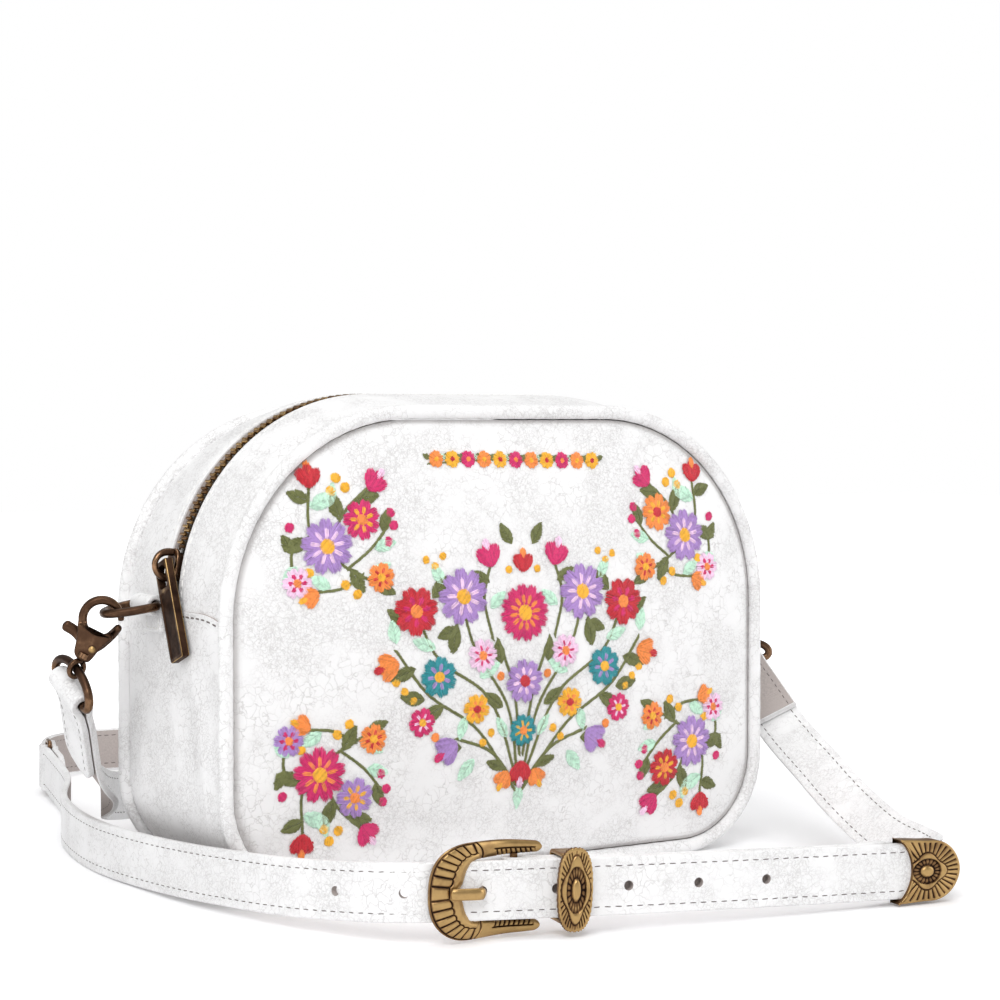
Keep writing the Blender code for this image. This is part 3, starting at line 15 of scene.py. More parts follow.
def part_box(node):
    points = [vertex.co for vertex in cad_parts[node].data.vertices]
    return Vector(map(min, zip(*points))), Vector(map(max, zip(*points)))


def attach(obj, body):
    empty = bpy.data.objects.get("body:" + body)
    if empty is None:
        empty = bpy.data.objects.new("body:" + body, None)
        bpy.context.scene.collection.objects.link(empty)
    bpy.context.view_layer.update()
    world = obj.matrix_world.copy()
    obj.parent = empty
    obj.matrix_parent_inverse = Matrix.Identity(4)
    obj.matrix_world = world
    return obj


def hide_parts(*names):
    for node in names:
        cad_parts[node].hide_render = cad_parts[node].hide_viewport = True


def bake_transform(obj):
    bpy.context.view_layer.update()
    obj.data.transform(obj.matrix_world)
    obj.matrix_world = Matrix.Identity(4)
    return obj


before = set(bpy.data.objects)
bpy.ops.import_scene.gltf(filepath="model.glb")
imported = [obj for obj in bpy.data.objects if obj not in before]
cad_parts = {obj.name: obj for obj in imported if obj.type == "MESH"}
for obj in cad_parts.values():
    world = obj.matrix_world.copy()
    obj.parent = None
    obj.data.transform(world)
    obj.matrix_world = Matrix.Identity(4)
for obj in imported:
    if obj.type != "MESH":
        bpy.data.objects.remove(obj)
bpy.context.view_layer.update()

bl_info = {
    "name": "Mini bag",
    "version": (1, 0, 0),
    "blender": (4, 5, 0),
    "location": "3D View > Sidebar > Mini bag",
    "description": "Builds the leather, thread and metal pieces of a small D-shaped bag",
    "category": "Object",
}

MM = 0.001
UP = np.array((0.0, 0.0, 1.0))
ACROSS = np.array((0.0, 1.0, 0.0))

# Body, as in the solids
BODY_WIDTH = 200.0 * MM
SEAM_BOTTOM = 4.7 * MM
SEAM_TOP = 148.0 * MM
TOP_RADIUS = 62.0 * MM
BASE_RADIUS = 28.0 * MM
BODY_HALF_DEPTH = 36.0 * MM
PIPING_RADIUS = 2.3 * MM
PIPING_OFFSET = 2.4 * MM
GUSSET_HALF = 33.4 * MM
GUSSET_EDGE_RISE = 2.1 * MM
GUSSET_SIDE_RISE = 3.2 * MM
GUSSET_FLAT = 20.0 * MM
GUSSET_THICK = 1.8 * MM
ZIP_HALF_WIDTH = 103.2 * MM
ZIP_TOP = 156.5 * MM
ZIP_CORNER_RADIUS = 68.0 * MM
ZIP_CENTRE_X = ZIP_HALF_WIDTH - ZIP_CORNER_RADIUS
ZIP_CENTRE_Z = ZIP_TOP - ZIP_CORNER_RADIUS
LINING_MIDDLE = 76.0 * MM
OUTLINE_STEPS = (12, 15, 12, 36, 12)
HALF_COUNT = sum(OUTLINE_STEPS)
OUTLINE_COUNT = 2 * HALF_COUNT
SEAM_INDEX = sum(OUTLINE_STEPS[:3])


# ---------------------------------------------------------------- mesh tools

def unit(v):
    """Vectors at length one, along the last axis."""
    v = np.asarray(v, float)
    return v / np.maximum(np.linalg.norm(v, axis=-1, keepdims=True), 1e-12)


def ease(t):
    """A smooth step from 0 to 1: three t squared less two t cubed, held outside that range."""
    t = np.clip(t, 0.0, 1.0)
    return t * t * (3.0 - 2.0 * t)


def grid_faces(rows, columns, close_rows=False, close_columns=False):
    """Quads of a grid of points, row by row; either way round may be closed."""
    i = np.arange(rows if close_rows else rows - 1)[:, None]
    j = np.arange(columns if close_columns else columns - 1)[None, :]
    a = i * columns + j
    b = i * columns + (j + 1) % columns
    c = ((i + 1) % rows) * columns + (j + 1) % columns
    d = ((i + 1) % rows) * columns + j
    return np.stack((a, b, c, d), axis=-1).reshape(-1, 4)


class Piece:
    """Collects points and faces, each face with a finish number, and makes one object of them."""

    def __init__(self, name, finishes):
        self.name = name
        self.finishes = finishes
        self.points, self.faces, self.marks, self.tones, self.count = [], [], [], [], 0

    def add(self, points, faces, mark=0, tone=None):
        """Adds points, faces that index them, and a tone for each point where one is given."""
        points = np.asarray(points, float).reshape(-1, 3)
        faces = [list(np.asarray(f, int) + self.count) for f in faces]
        self.points.append(points)
        self.faces += faces
        self.marks += list(np.broadcast_to(mark, len(faces)))
        tone = np.ones(len(points)) if tone is None else np.asarray(tone, float).reshape(-1)
        self.tones.append(tone)
        self.count += len(points)

    def make(self, body=None, replaces=(), angle=50.0):
        """One closed, outward-facing object that rides on a body and stands for the named nodes."""
        mesh = bpy.data.meshes.new(self.name)
        mesh.from_pydata(np.concatenate(self.points).tolist(), [], self.faces)
        for finish in self.finishes:
            mesh.materials.append(finish)
        mesh.polygons.foreach_set("material_index", np.array(self.marks, np.int32))
        tone = mesh.attributes.new("tone", "FLOAT", "POINT")
        tone.data.foreach_set("value", np.concatenate(self.tones).astype(np.float32))
        mesh.update()
        outward(mesh)
        mesh.shade_smooth()
        mesh.set_sharp_from_angle(angle=math.radians(angle))
        item = bpy.data.objects.new(self.name, mesh)
        bpy.context.collection.objects.link(item)
        if body:
            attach(item, body)
        if replaces:
            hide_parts(*replaces)
        return item


def outward(mesh):
    """Turn every closed shell's faces outwards."""
    shape = bmesh.new()
    shape.from_mesh(mesh)
    bmesh.ops.recalc_face_normals(shape, faces=shape.faces)
    shape.to_mesh(mesh)
    shape.free()


def shell(piece, outer, inner, mark=0, tone=None, inner_mark=None):
    """A sheet with thickness: an outer and an inner grid, walled all round their edge."""
    rows, columns = outer.shape[:2]
    count = rows * columns
    near = grid_faces(rows, columns)
    far = near[:, ::-1] + count
    rim = np.concatenate((
        np.arange(columns - 1),
        np.arange(rows - 1) * columns + columns - 1,
        (rows - 1) * columns + np.arange(columns - 1, 0, -1),
        np.arange(rows - 1, 0, -1) * columns,
    ))
    ahead = np.roll(rim, -1)
    wall = np.stack((rim, rim + count, ahead + count, ahead), axis=-1)
    faces = np.concatenate((near, far, wall))
    back = mark if inner_mark is None else inner_mark
    marks = np.repeat((mark, back), (len(near), len(far) + len(wall)))
    tones = None if tone is None else np.concatenate((tone.reshape(-1), tone.reshape(-1)))
    piece.add(np.concatenate((outer.reshape(-1, 3), inner.reshape(-1, 3))), faces, marks, tones)


def directions(path, closed=False):
    """Unit directions along a path, from each point's two neighbours."""
    if closed:
        return unit(np.roll(path, -1, axis=0) - np.roll(path, 1, axis=0))
    ahead = np.concatenate((path[1:], path[-1:]))
    behind = np.concatenate((path[:1], path[:-1]))
    return unit(ahead - behind)


def held(values, count):
    """Rows with the first and the last one repeated."""
    return np.concatenate((np.repeat(values[:1], count, 0), values, np.repeat(values[-1:], count, 0)))


def sweep(piece, path, ups, section, closed=False, tone=None, marks=None, round_ends=0.0):
    """A section carried along a path.

    A section point is (lift along the up direction, shift to the side, along cross up). The section
    may change along the path. Open ends are closed with a fan, or with a dome of shrinking sections.
    """
    path = np.asarray(path, float)
    ups = np.broadcast_to(np.asarray(ups, float), path.shape)
    along = directions(path, closed)
    side = unit(np.cross(along, ups))
    lift = np.cross(side, along)
    section = np.asarray(section, float)
    if section.ndim == 2:
        section = np.broadcast_to(section, (len(path),) + section.shape)
    if round_ends and not closed:
        lean = np.array((math.pi / 2 * 0.97, 1.15, 0.8, 0.45))
        first = path[0] - along[0] * (round_ends * np.sin(lean))[:, None]
        last = path[-1] + along[-1] * (round_ends * np.sin(lean[::-1]))[:, None]
        path = np.concatenate((first, path, last))
        side, lift = held(side, len(lean)), held(lift, len(lean))
        shrink = np.cos(lean)[:, None, None]
        section = np.concatenate((section[:1] * shrink, section, section[-1:] * shrink[::-1]))
        if tone is not None:
            tone = held(tone, len(lean))
    points = path[:, None] + lift[:, None] * section[..., :1] + side[:, None] * section[..., 1:]
    rows, columns = points.shape[:2]
    faces = grid_faces(rows, columns, closed, True)
    number = np.tile(np.zeros(columns, int) if marks is None else marks, len(faces) // columns)
    flat = points.reshape(-1, 3)
    tones = None if tone is None else np.broadcast_to(tone, (rows, columns)).reshape(-1)
    if closed:
        piece.add(flat, faces, number, tones)
        return
    hubs = np.stack((points[0].mean(axis=0), points[-1].mean(axis=0)))
    a = np.arange(columns)
    b = (a + 1) % columns
    start = np.stack((b, a, np.full(columns, rows * columns)), axis=-1)
    end = np.stack((a, b, np.full(columns, 0)), axis=-1) + (rows - 1) * columns
    end[:, 2] = rows * columns + 1
    everything = [tuple(f) for f in faces] + [tuple(f) for f in start] + [tuple(f) for f in end]
    number = np.concatenate((number, np.full(2 * columns, number[-1])))
    if tones is not None:
        tones = np.concatenate((tones, (tones[0], tones[-1])))
    piece.add(np.concatenate((flat, hubs)), everything, number, tones)


def circle(radius, sides=16, flat=1.0):
    """Points of a round or flattened section."""
    turn = np.arange(sides) * 2 * math.pi / sides
    return np.stack((radius * np.cos(turn), radius * flat * np.sin(turn)), axis=-1)


def rounded_box(width, height, corner, steps=4):
    """A rectangle with round corners, anticlockwise from its right side."""
    turn = np.linspace(0.0, math.pi / 2, steps + 1)
    parts = []
    for quarter, (x, y) in enumerate(((1, 1), (-1, 1), (-1, -1), (1, -1))):
        a = turn + quarter * math.pi / 2
        parts.append(np.stack((
            x * (width / 2 - corner) + corner * np.cos(a),
            y * (height / 2 - corner) + corner * np.sin(a),
        ), axis=-1))
    return np.concatenate(parts)


def inset(outline, depth):
    """A closed outline moved inwards along its own normals."""
    along = directions(np.c_[outline, np.zeros(len(outline))], True)[:, :2]
    normal = np.stack((along[:, 1], -along[:, 0]), axis=-1)
    x, y = outline.T
    area = np.sum(x * np.roll(y, -1) - y * np.roll(x, -1))
    return outline - normal * depth * (1.0 if area > 0 else -1.0)


def slab(piece, outline, centre, axes, thick, bevel, relief=None, rings=1, tone=None):
    """An outline with thickness and rounded edges; its top may carry a relief.

    The top is rings of the outline shrunk to its middle. The relief gives, for places in the slab's
    plane and shares from 1 at the rim to 0 in the middle, a height and a tone.
    """
    x, y, z = [unit(a) for a in axes]
    count = len(outline)
    turn = np.linspace(0.0, math.pi / 2, 4)
    rows, heights = [], []
    for side, order in ((-1, turn), (1, turn[::-1])):
        for a in order:
            rows.append(inset(outline, bevel * (1 - math.sin(a))))
            heights.append(side * (thick / 2 - bevel * (1 - math.cos(a))))
    bottom = tuple(range(count))[::-1]
    if relief is None:
        flat, level = np.concatenate(rows), np.repeat(heights, count)
        points = centre + flat[:, :1] * x + flat[:, 1:] * y + level[:, None] * z
        top = tuple(range((len(rows) - 1) * count, len(rows) * count))
        faces = [tuple(f) for f in grid_faces(len(rows), count, False, True)] + [bottom, top]
        piece.add(points, faces, 0, None if tone is None else np.full(len(points), tone))
        return
    rim = rows[-1]
    shares = np.linspace(1.0, 0.0, rings + 1)[1:-1]
    middle = rim.mean(axis=0)
    top = middle + (rim - middle) * shares[:, None, None]
    flat = np.concatenate((np.concatenate(rows), top.reshape(-1, 2), middle[None]))
    level = np.concatenate((np.repeat(heights, count), np.full(len(shares) * count + 1, thick / 2)))
    share = np.concatenate((np.ones(len(rows) * count), np.repeat(shares, count), (0.0,)))
    lift, shade = relief(flat[:, 0], flat[:, 1], share)
    upper = level > thick / 2 - bevel * 0.99
    level = level + np.where(upper, lift, 0.0)
    points = centre + flat[:, :1] * x + flat[:, 1:] * y + level[:, None] * z
    total = len(rows) + len(shares)
    faces = [tuple(f) for f in grid_faces(total, count, False, True)] + [bottom]
    a = np.arange(count) + (total - 1) * count
    b = (np.arange(count) + 1) % count + (total - 1) * count
    faces += [(int(i), int(j), total * count) for i, j in zip(a, b)]
    piece.add(points, faces, 0, np.where(upper, shade, 0.45))


def scatter(piece, shape, faces, places, axes, mark=0, tone=None):
    """One small shape set down at many places, each with its own three directions."""
    points = np.einsum("mk,nkj->nmj", shape, axes) + places[:, None]
    start = piece.count
    piece.add(points, (), mark, None if tone is None else np.repeat(tone, len(shape)))
    offsets = (np.arange(len(places)) * len(shape))[:, None] + start
    sized = {}
    for face in faces:
        sized.setdefault(len(face), []).append(np.asarray(face) + offsets)
    for blocks in sized.values():
        rows = np.concatenate(blocks)
        piece.faces += rows.tolist()
        piece.marks += [mark] * len(rows)


def walked_along(path):
    """How far along a path each of its points lies."""
    return np.concatenate(((0.0,), np.cumsum(np.linalg.norm(np.diff(path, axis=0), axis=-1))))


def resample(path, spacing, *others):
    """Even places along a path, with any other per-point values carried along."""
    walked = walked_along(path)
    count = max(2, int(round(walked[-1] / spacing)) + 1)
    at = np.linspace(0.0, walked[-1], count)
    return [
        np.stack([np.interp(at, walked, column) for column in values.T], axis=-1)
        for values in (path,) + others
    ]


def bean(long, wide, high):
    """A stitch: a low half-capsule, lying along x and rising along z, closed underneath."""
    run = np.array((-0.5, -0.42, -0.2, 0.2, 0.42, 0.5)) * long
    swell = np.array((0.25, 0.8, 1.0, 1.0, 0.8, 0.25))
    turn = np.linspace(0.0, math.pi, 5)
    y = swell[:, None] * np.cos(turn) * wide / 2
    z = swell[:, None] * np.sin(turn) * high
    points = np.stack((np.broadcast_to(run[:, None], y.shape), y, z), axis=-1).reshape(-1, 3)
    faces = [tuple(f) for f in grid_faces(6, 5, False, True)]
    faces.append((4, 3, 2, 1, 0))
    faces.append((25, 26, 27, 28, 29))
    return points, faces


STITCH_SINK = 0.08 * MM


def stitches(piece, path, normals, long, gap, wide=0.55 * MM, high=0.3 * MM, mark=0, seed=1):
    """A row of stitches along a path, each a little out of line and a little long or short."""
    normals = np.broadcast_to(np.asarray(normals, float), path.shape)
    places, facing = resample(np.asarray(path, float), long + gap, normals)
    if len(places) < 2:
        return
    middle = (places[1:] + places[:-1]) / 2
    along = unit(places[1:] - places[:-1])
    facing = unit(facing[1:] + facing[:-1])
    side = unit(np.cross(facing, along))
    facing = np.cross(along, side)
    noise = np.random.default_rng(seed)
    along = unit(along + side * noise.normal(0.0, 0.05, (len(middle), 1)))
    side = np.cross(facing, along)
    length = 1.0 + noise.normal(0.0, 0.06, (len(middle), 1))
    shape, faces = bean(long, wide, high)
    axes = np.stack((along * length, side, facing), axis=1)
    scatter(piece, shape, faces, middle - facing * STITCH_SINK, axes, mark)


def settle(item):
    """Take what an item's modifiers make as its own mesh, and leave no modifier."""
    bpy.context.view_layer.update()
    seen = item.evaluated_get(bpy.context.evaluated_depsgraph_get())
    item.data = bpy.data.meshes.new_from_object(seen)
    item.modifiers.clear()


def carve(item, cutters):
    """Boolean differences taken at once, so that no modifier or cutter is left."""
    for cutter in cutters:
        step = item.modifiers.new(cutter.name, "BOOLEAN")
        step.operation = "DIFFERENCE"
        step.solver = "EXACT"
        step.object = cutter
    settle(item)
    tone = item.data.attributes["tone"]
    tone.data.foreach_set("value", np.ones(len(item.data.vertices), np.float32))
    for cutter in cutters:
        bpy.data.objects.remove(cutter, do_unlink=True)
    item.data.set_sharp_from_angle(angle=math.radians(38.0))
    even = item.modifiers.new("even_normals", "WEIGHTED_NORMAL")
    even.keep_sharp = True
    even.weight = 90
    settle(item)


# ---------------------------------------------------------------- finishes

class Finish:
    """A material on a Principled shader, with short calls for its nodes."""

    def __init__(self, name, colour, roughness, metallic=0.0):
        self.material = bpy.data.materials.new(name)
        self.material.use_nodes = True
        self.tree = self.material.node_tree
        self.shader = self.tree.nodes["Principled BSDF"]
        self.shader.inputs["Base Color"].default_value = (*colour, 1.0)
        self.shader.inputs["Roughness"].default_value = roughness
        self.shader.inputs["Metallic"].default_value = metallic
        self.material.diffuse_color = (*colour, 1.0)
        self.place = self.node("ShaderNodeTexCoord").outputs["Object"]

    def node(self, kind, **settings):
        """A node with its own settings and inputs; a socket given as an input is linked."""
        made = self.tree.nodes.new(kind)
        for key, value in settings.items():
            if hasattr(made, key):
                setattr(made, key, value)
            else:
                self.put(made.inputs[key.replace("_", " ")], value)
        return made

    def put(self, socket, value):
        """Link a socket or set its value."""
        if isinstance(value, bpy.types.NodeSocket):
            self.tree.links.new(value, socket)
        else:
            socket.default_value = value

    def noise(self, scale, detail=3.0, rough=0.55):
        """Soft noise by its scale, in turns to the metre."""
        made = self.node("ShaderNodeTexNoise", Scale=scale, Detail=detail, Roughness=rough)
        self.put(made.inputs["Vector"], self.place)
        return made.outputs["Fac"]

    def ramp(self, value, low, high, first=0.0, last=1.0):
        """A value taken from one range to another, and held at its ends."""
        made = self.node("ShaderNodeMapRange", interpolation_type="SMOOTHSTEP")
        names = ("Value", "From Min", "From Max", "To Min", "To Max")
        for key, number in zip(names, (value, low, high, first, last)):
            self.put(made.inputs[key], number)
        return made.outputs["Result"]

    def maths(self, kind, a, b=0.0):
        """One sum of two values."""
        made = self.node("ShaderNodeMath", operation=kind)
        self.put(made.inputs[0], a)
        self.put(made.inputs[1], b)
        return made.outputs[0]

    def mix(self, share, first, second):
        """Two colours mixed by a share."""
        made = self.node("ShaderNodeMix", data_type="RGBA")
        self.put(made.inputs["Factor"], share)
        for key, colour in ((6, first), (7, second)):
            linked = isinstance(colour, bpy.types.NodeSocket)
            self.put(made.inputs[key], colour if linked else (*colour, 1.0))
        return made.outputs[2]

    def warped(self, scale, amount):
        """Places pushed about by coloured noise, so that straight cell walls turn wavy."""
        noise = self.node("ShaderNodeTexNoise", Scale=scale, Detail=2.0)
        self.put(noise.inputs["Vector"], self.place)
        shift = self.node("ShaderNodeVectorMath", operation="MULTIPLY_ADD")
        self.put(shift.inputs[0], noise.outputs["Color"])
        self.put(shift.inputs[1], (amount, amount, amount))
        self.put(shift.inputs[2], self.place)
        return shift.outputs[0]

    def cracks(self, scale, width, place):
        """Thin lines on the walls between cells: 1 on a wall, 0 past the width."""
        cells = self.node("ShaderNodeTexVoronoi", feature="DISTANCE_TO_EDGE", Scale=scale)
        self.put(cells.inputs["Vector"], place)
        return self.ramp(cells.outputs["Distance"], 0.0, width, 1.0, 0.0)

    def attribute(self, name):
        """A number kept on the mesh's points."""
        made = self.node("ShaderNodeAttribute", attribute_name=name)
        return made.outputs["Fac"]

    def bump(self, height, strength, distance):
        """Bump from a height, in metres."""
        made = self.node("ShaderNodeBump", Strength=strength, Distance=distance)
        self.put(made.inputs["Height"], height)
        self.put(self.shader.inputs["Normal"], made.outputs["Normal"])

    def colour(self, value):
        """The shader's colour, from a socket."""
        self.put(self.shader.inputs["Base Color"], value)
        return self.material

    def roughness(self, value):
        """The shader's roughness, from a socket."""
        self.put(self.shader.inputs["Roughness"], value)


def scaled(colour, share, lift=0.0):
    """A colour times a share, with a lift, and never over 1."""
    return tuple(min(1.0, c * share + lift) for c in colour)


def leather_finish(name, colour, line_colour, density=1.0):
    """White leather: wavy cracks at two scales that come and go, fine grain, a soft gloss and painted
    shade where a piece's tone is below 1.
    """
    f = Finish(name, colour, 0.5)
    wide = f.cracks(330.0, 0.05, f.warped(300.0, 0.0052))
    fine = f.cracks(700.0, 0.09, f.warped(700.0, 0.0026))
    patch = f.ramp(f.noise(95.0, 4.0), 0.38, 0.58)
    patch_fine = f.ramp(f.noise(60.0, 4.0), 0.40, 0.60)
    lines = f.maths("MAXIMUM", f.maths("MULTIPLY", wide, patch), f.maths("MULTIPLY", fine, patch_fine))
    tone = f.ramp(f.noise(18.0, 3.0), 0.35, 0.7)
    base = f.mix(tone, colour, scaled(colour, 0.98))
    # Painted shade: where a piece's tone is below 1 the leather is drawn darker towards the line
    # colour, in the panels' seams and low on the gusset; the zip strips' rolled lips and the strap's
    # edges are darkened the same way.
    wear_and_painted_shade = f.maths("SUBTRACT", 1.0, f.attribute("tone"))
    base = f.mix(f.maths("MULTIPLY", wear_and_painted_shade, 0.8), base, line_colour)
    f.colour(f.mix(f.maths("MULTIPLY", lines, 0.34 * density), base, line_colour))
    f.roughness(f.ramp(f.noise(90.0, 2.0), 0.3, 0.7, 0.42, 0.58))
    grain = f.noise(900.0, 3.0)
    f.bump(f.maths("SUBTRACT", f.maths("MULTIPLY", grain, 0.35), lines), 0.5, 0.0003)
    return f.material


def suede_finish(name, colour):
    """Leather's rough side: a short matt nap with lighter and darker patches."""
    f = Finish(name, colour, 0.95)
    f.shader.inputs["Specular IOR Level"].default_value = 0.15
    nap = f.noise(1400.0, 4.0)
    patch = f.noise(120.0, 3.0)
    mottled = f.mix(nap, scaled(colour, 0.62), scaled(colour, 1.35))
    f.colour(f.mix(f.ramp(patch, 0.3, 0.7), mottled, colour))
    f.bump(nap, 0.6, 0.0003)
    return f.material


def cloth_finish(name, colour, scale):
    """A plain weave: two sets of fine ridges at right angles, with slubs."""
    f = Finish(name, colour, 0.9)
    first = f.node("ShaderNodeTexWave", bands_direction="X", Scale=scale, Distortion=0.6)
    second = f.node("ShaderNodeTexWave", bands_direction="Z", Scale=scale, Distortion=0.6)
    for wave in (first, second):
        f.put(wave.inputs["Vector"], f.place)
    weave = f.maths("MULTIPLY", first.outputs["Fac"], second.outputs["Fac"])
    f.colour(f.mix(f.maths("MULTIPLY", weave, 0.6), colour, scaled(colour, 0.7)))
    f.roughness(f.ramp(f.noise(300.0), 0.3, 0.7, 0.8, 0.95))
    f.bump(weave, 0.4, 0.0002)
    return f.material


def metal_finish(name, bright, shade, deep, polish):
    """Aged metal: bright where it is worn, brown in between and dark in its grooves."""
    f = Finish(name, bright, polish, 1.0)
    tone = f.attribute("tone")
    stain = f.noise(160.0, 5.0, 0.6)
    fleck = f.noise(900.0, 3.0, 0.6)
    wear_and_painted_shade = f.maths("ADD", tone, f.maths("MULTIPLY", f.maths("SUBTRACT", stain, 0.5), 1.2))
    high = f.ramp(wear_and_painted_shade, 0.45, 1.0)
    low = f.ramp(wear_and_painted_shade, 0.0, 0.45)
    f.colour(f.mix(high, f.mix(low, deep, shade), bright))
    rough = f.ramp(wear_and_painted_shade, 0.1, 0.9, polish + 0.28, polish)
    f.roughness(f.maths("ADD", rough, f.maths("MULTIPLY", fleck, 0.12)))
    f.bump(f.maths("ADD", fleck, f.maths("MULTIPLY", stain, 0.5)), 0.25, 0.00012)
    return f.material


def thread_finish(name, colour):
    """Embroidery thread: a silky strand with a light and a dark twist along it."""
    f = Finish(name, colour, 0.42)
    f.shader.inputs["Sheen Weight"].default_value = 0.25
    f.shader.inputs["Sheen Roughness"].default_value = 0.4
    mottled = f.noise(1100.0, 2.0)
    strand = f.attribute("tone")
    share = f.ramp(f.maths("MULTIPLY", strand, f.ramp(mottled, 0.2, 0.8, 0.8, 1.15)), 0.45, 1.0)
    f.colour(f.mix(share, scaled(colour, 0.62), scaled(colour, 1.12, 0.02)))
    f.roughness(f.ramp(mottled, 0.3, 0.7, 0.36, 0.5))
    f.bump(mottled, 0.3, 0.0001)
    return f.material


def board_finish(name, colour):
    """Fibre board: short flecks in a dull brown."""
    f = Finish(name, colour, 0.9)
    fleck = f.noise(700.0, 4.0)
    f.colour(f.mix(fleck, scaled(colour, 0.6), colour))
    f.roughness(f.ramp(fleck, 0.3, 0.7, 0.8, 0.95))
    f.bump(fleck, 0.4, 0.0002)
    return f.material


FINISHES = {}


def finish(name):
    """The named finish, made once from the colours in the panel."""
    if name in FINISHES:
        return FINISHES[name]
    c = bpy.context.scene.bag_colours
    lines = tuple(c.cracks)
    gold = (tuple(c.gold), tuple(c.brown), tuple(c.groove))
    bronze = (tuple(c.bronze), tuple(c.bronze_shade), tuple(c.groove))
    edge = (tuple(c.gold), tuple(c.bronze_shade), tuple(c.groove))
    recipes = {
        "white_leather": lambda: leather_finish(name, tuple(c.leather), lines),
        "strap_leather": lambda: leather_finish(name, tuple(c.leather), lines, 0.85),
        "suede": lambda: suede_finish(name, tuple(c.suede)),
        "lining": lambda: cloth_finish(name, tuple(c.lining), 700.0),
        "zip_tape": lambda: cloth_finish(name, tuple(c.tape), 1100.0),
        "board": lambda: board_finish(name, (0.35, 0.30, 0.25)),
        "worn_gold": lambda: metal_finish(name, *gold, 0.27),
        "dark_bronze": lambda: metal_finish(name, *bronze, 0.17),
        "edge_bronze": lambda: metal_finish(name, *edge, 0.30),
        "dark_stitch_and_hole_shade": lambda: thread_finish(name, tuple(c.dark_stitch_and_hole_shade)),
        "white_stitch": lambda: thread_finish(name, tuple(c.white_stitch)),
    }
    if name in recipes:
        FINISHES[name] = recipes[name]()
    else:
        FINISHES[name] = thread_finish(name + "_thread", tuple(getattr(c, name)))
    return FINISHES[name]


# ---------------------------------------------------------------- body

def outline(half_width, bottom, top, base_radius, top_radius):
    """A D-shaped outline, anticlockwise from the bottom's middle, with equal steps on every outline.

    Five runs make its right half: the base, the base corner, the side, the top corner and the top;
    the left half is the same mirrored.
    """
    base_x, top_x = half_width - base_radius, half_width - top_radius
    low, high = bottom + base_radius, top - top_radius
    s = [np.arange(n) / n for n in OUTLINE_STEPS]
    a = -math.pi / 2 + s[1] * math.pi / 2
    b = s[3] * math.pi / 2
    right = np.concatenate((
        np.stack((base_x * s[0], np.full(len(s[0]), bottom)), -1),
        np.stack((base_x + base_radius * np.cos(a), low + base_radius * np.sin(a)), -1),
        np.stack((np.full(len(s[2]), half_width), low + (high - low) * s[2]), -1),
        np.stack((top_x + top_radius * np.cos(b), high + top_radius * np.sin(b)), -1),
        np.stack((top_x * (1 - s[4]), np.full(len(s[4]), top)), -1),
        ((0.0, top),),
    ))
    left = right[1:-1][::-1] * (-1.0, 1.0)
    return np.concatenate((right, left))


def seam_outline(offset):
    """The seam between panel and piping, moved outwards by an offset."""
    return outline(
        BODY_WIDTH / 2 + offset, SEAM_BOTTOM - offset, SEAM_TOP + offset,
        BASE_RADIUS + offset, TOP_RADIUS + offset,
    )


def crown_outline(inward):
    """The gusset's highest line: the floor below, the zip's line above."""
    return outline(
        ZIP_HALF_WIDTH - inward, inward, ZIP_TOP - inward,
        BASE_RADIUS + GUSSET_SIDE_RISE - inward, ZIP_CORNER_RADIUS - inward,
    )


def gusset_grid(indices, rows, inward, flat):
    """Gusset places for outline indices and rows of y.

    A place lies between the edge line and the crown line by one less the square of how far its row
    is past the flat middle.
    """
    indices = np.asarray(indices) % OUTLINE_COUNT
    near = seam_outline(GUSSET_EDGE_RISE - inward)[indices][:, None]
    far = crown_outline(inward)[indices][:, None]
    past = np.maximum(0.0, np.abs(rows) - flat) / (GUSSET_HALF - flat)
    share = (1.0 - past ** 2)[None, :, None]
    flatways = near + (far - near) * share
    depth = np.broadcast_to(rows[None, :, None], flatways.shape[:2] + (1,))
    return np.concatenate((flatways[..., :1], depth, flatways[..., 1:]), axis=-1)


def panel_height(share, angle, bulge):
    """How far a panel stands out past its seam: a dome, its edge rolled into the seam, and soft
    puckers that the stitching pulls in near the rim."""
    dome = bulge * (1.0 - share ** 2)
    roll = 1.15 * MM * ease((share - 0.965) / 0.035)
    puckers = 0.22 * MM * np.sin(angle * 29.0 + 2.0 * np.sin(angle * 7.0)) * ease((share - 0.80) / 0.15)
    dents = 0.35 * MM * np.sin(angle * 5.0 + 1.3) * share ** 3 * (1 - share ** 8)
    return dome - roll + puckers * (1 - ease((share - 0.95) / 0.05)) + dents


def panel_places(points, bulge, out=0.0):
    """Places on the front panel's face, for x and z in the panel's plane."""
    middle = np.array((0.0, (SEAM_BOTTOM + SEAM_TOP) / 2))
    edge = seam_outline(-0.2 * MM)
    rays = np.unwrap(np.arctan2(edge[:, 1] - middle[1], edge[:, 0]))
    reach = np.linalg.norm(edge - middle, axis=-1)
    angle = np.arctan2(points[..., 1] - middle[1], points[..., 0])
    angle = np.where(angle < rays[0], angle + 2 * math.pi, angle)
    limit = np.interp(angle, rays, reach, period=None)
    share = np.linalg.norm(points - middle, axis=-1) / limit
    y = -(BODY_HALF_DEPTH + 1.0 * MM + panel_height(share, angle, bulge) + out)
    return np.stack((points[..., 0], y, points[..., 1]), axis=-1)


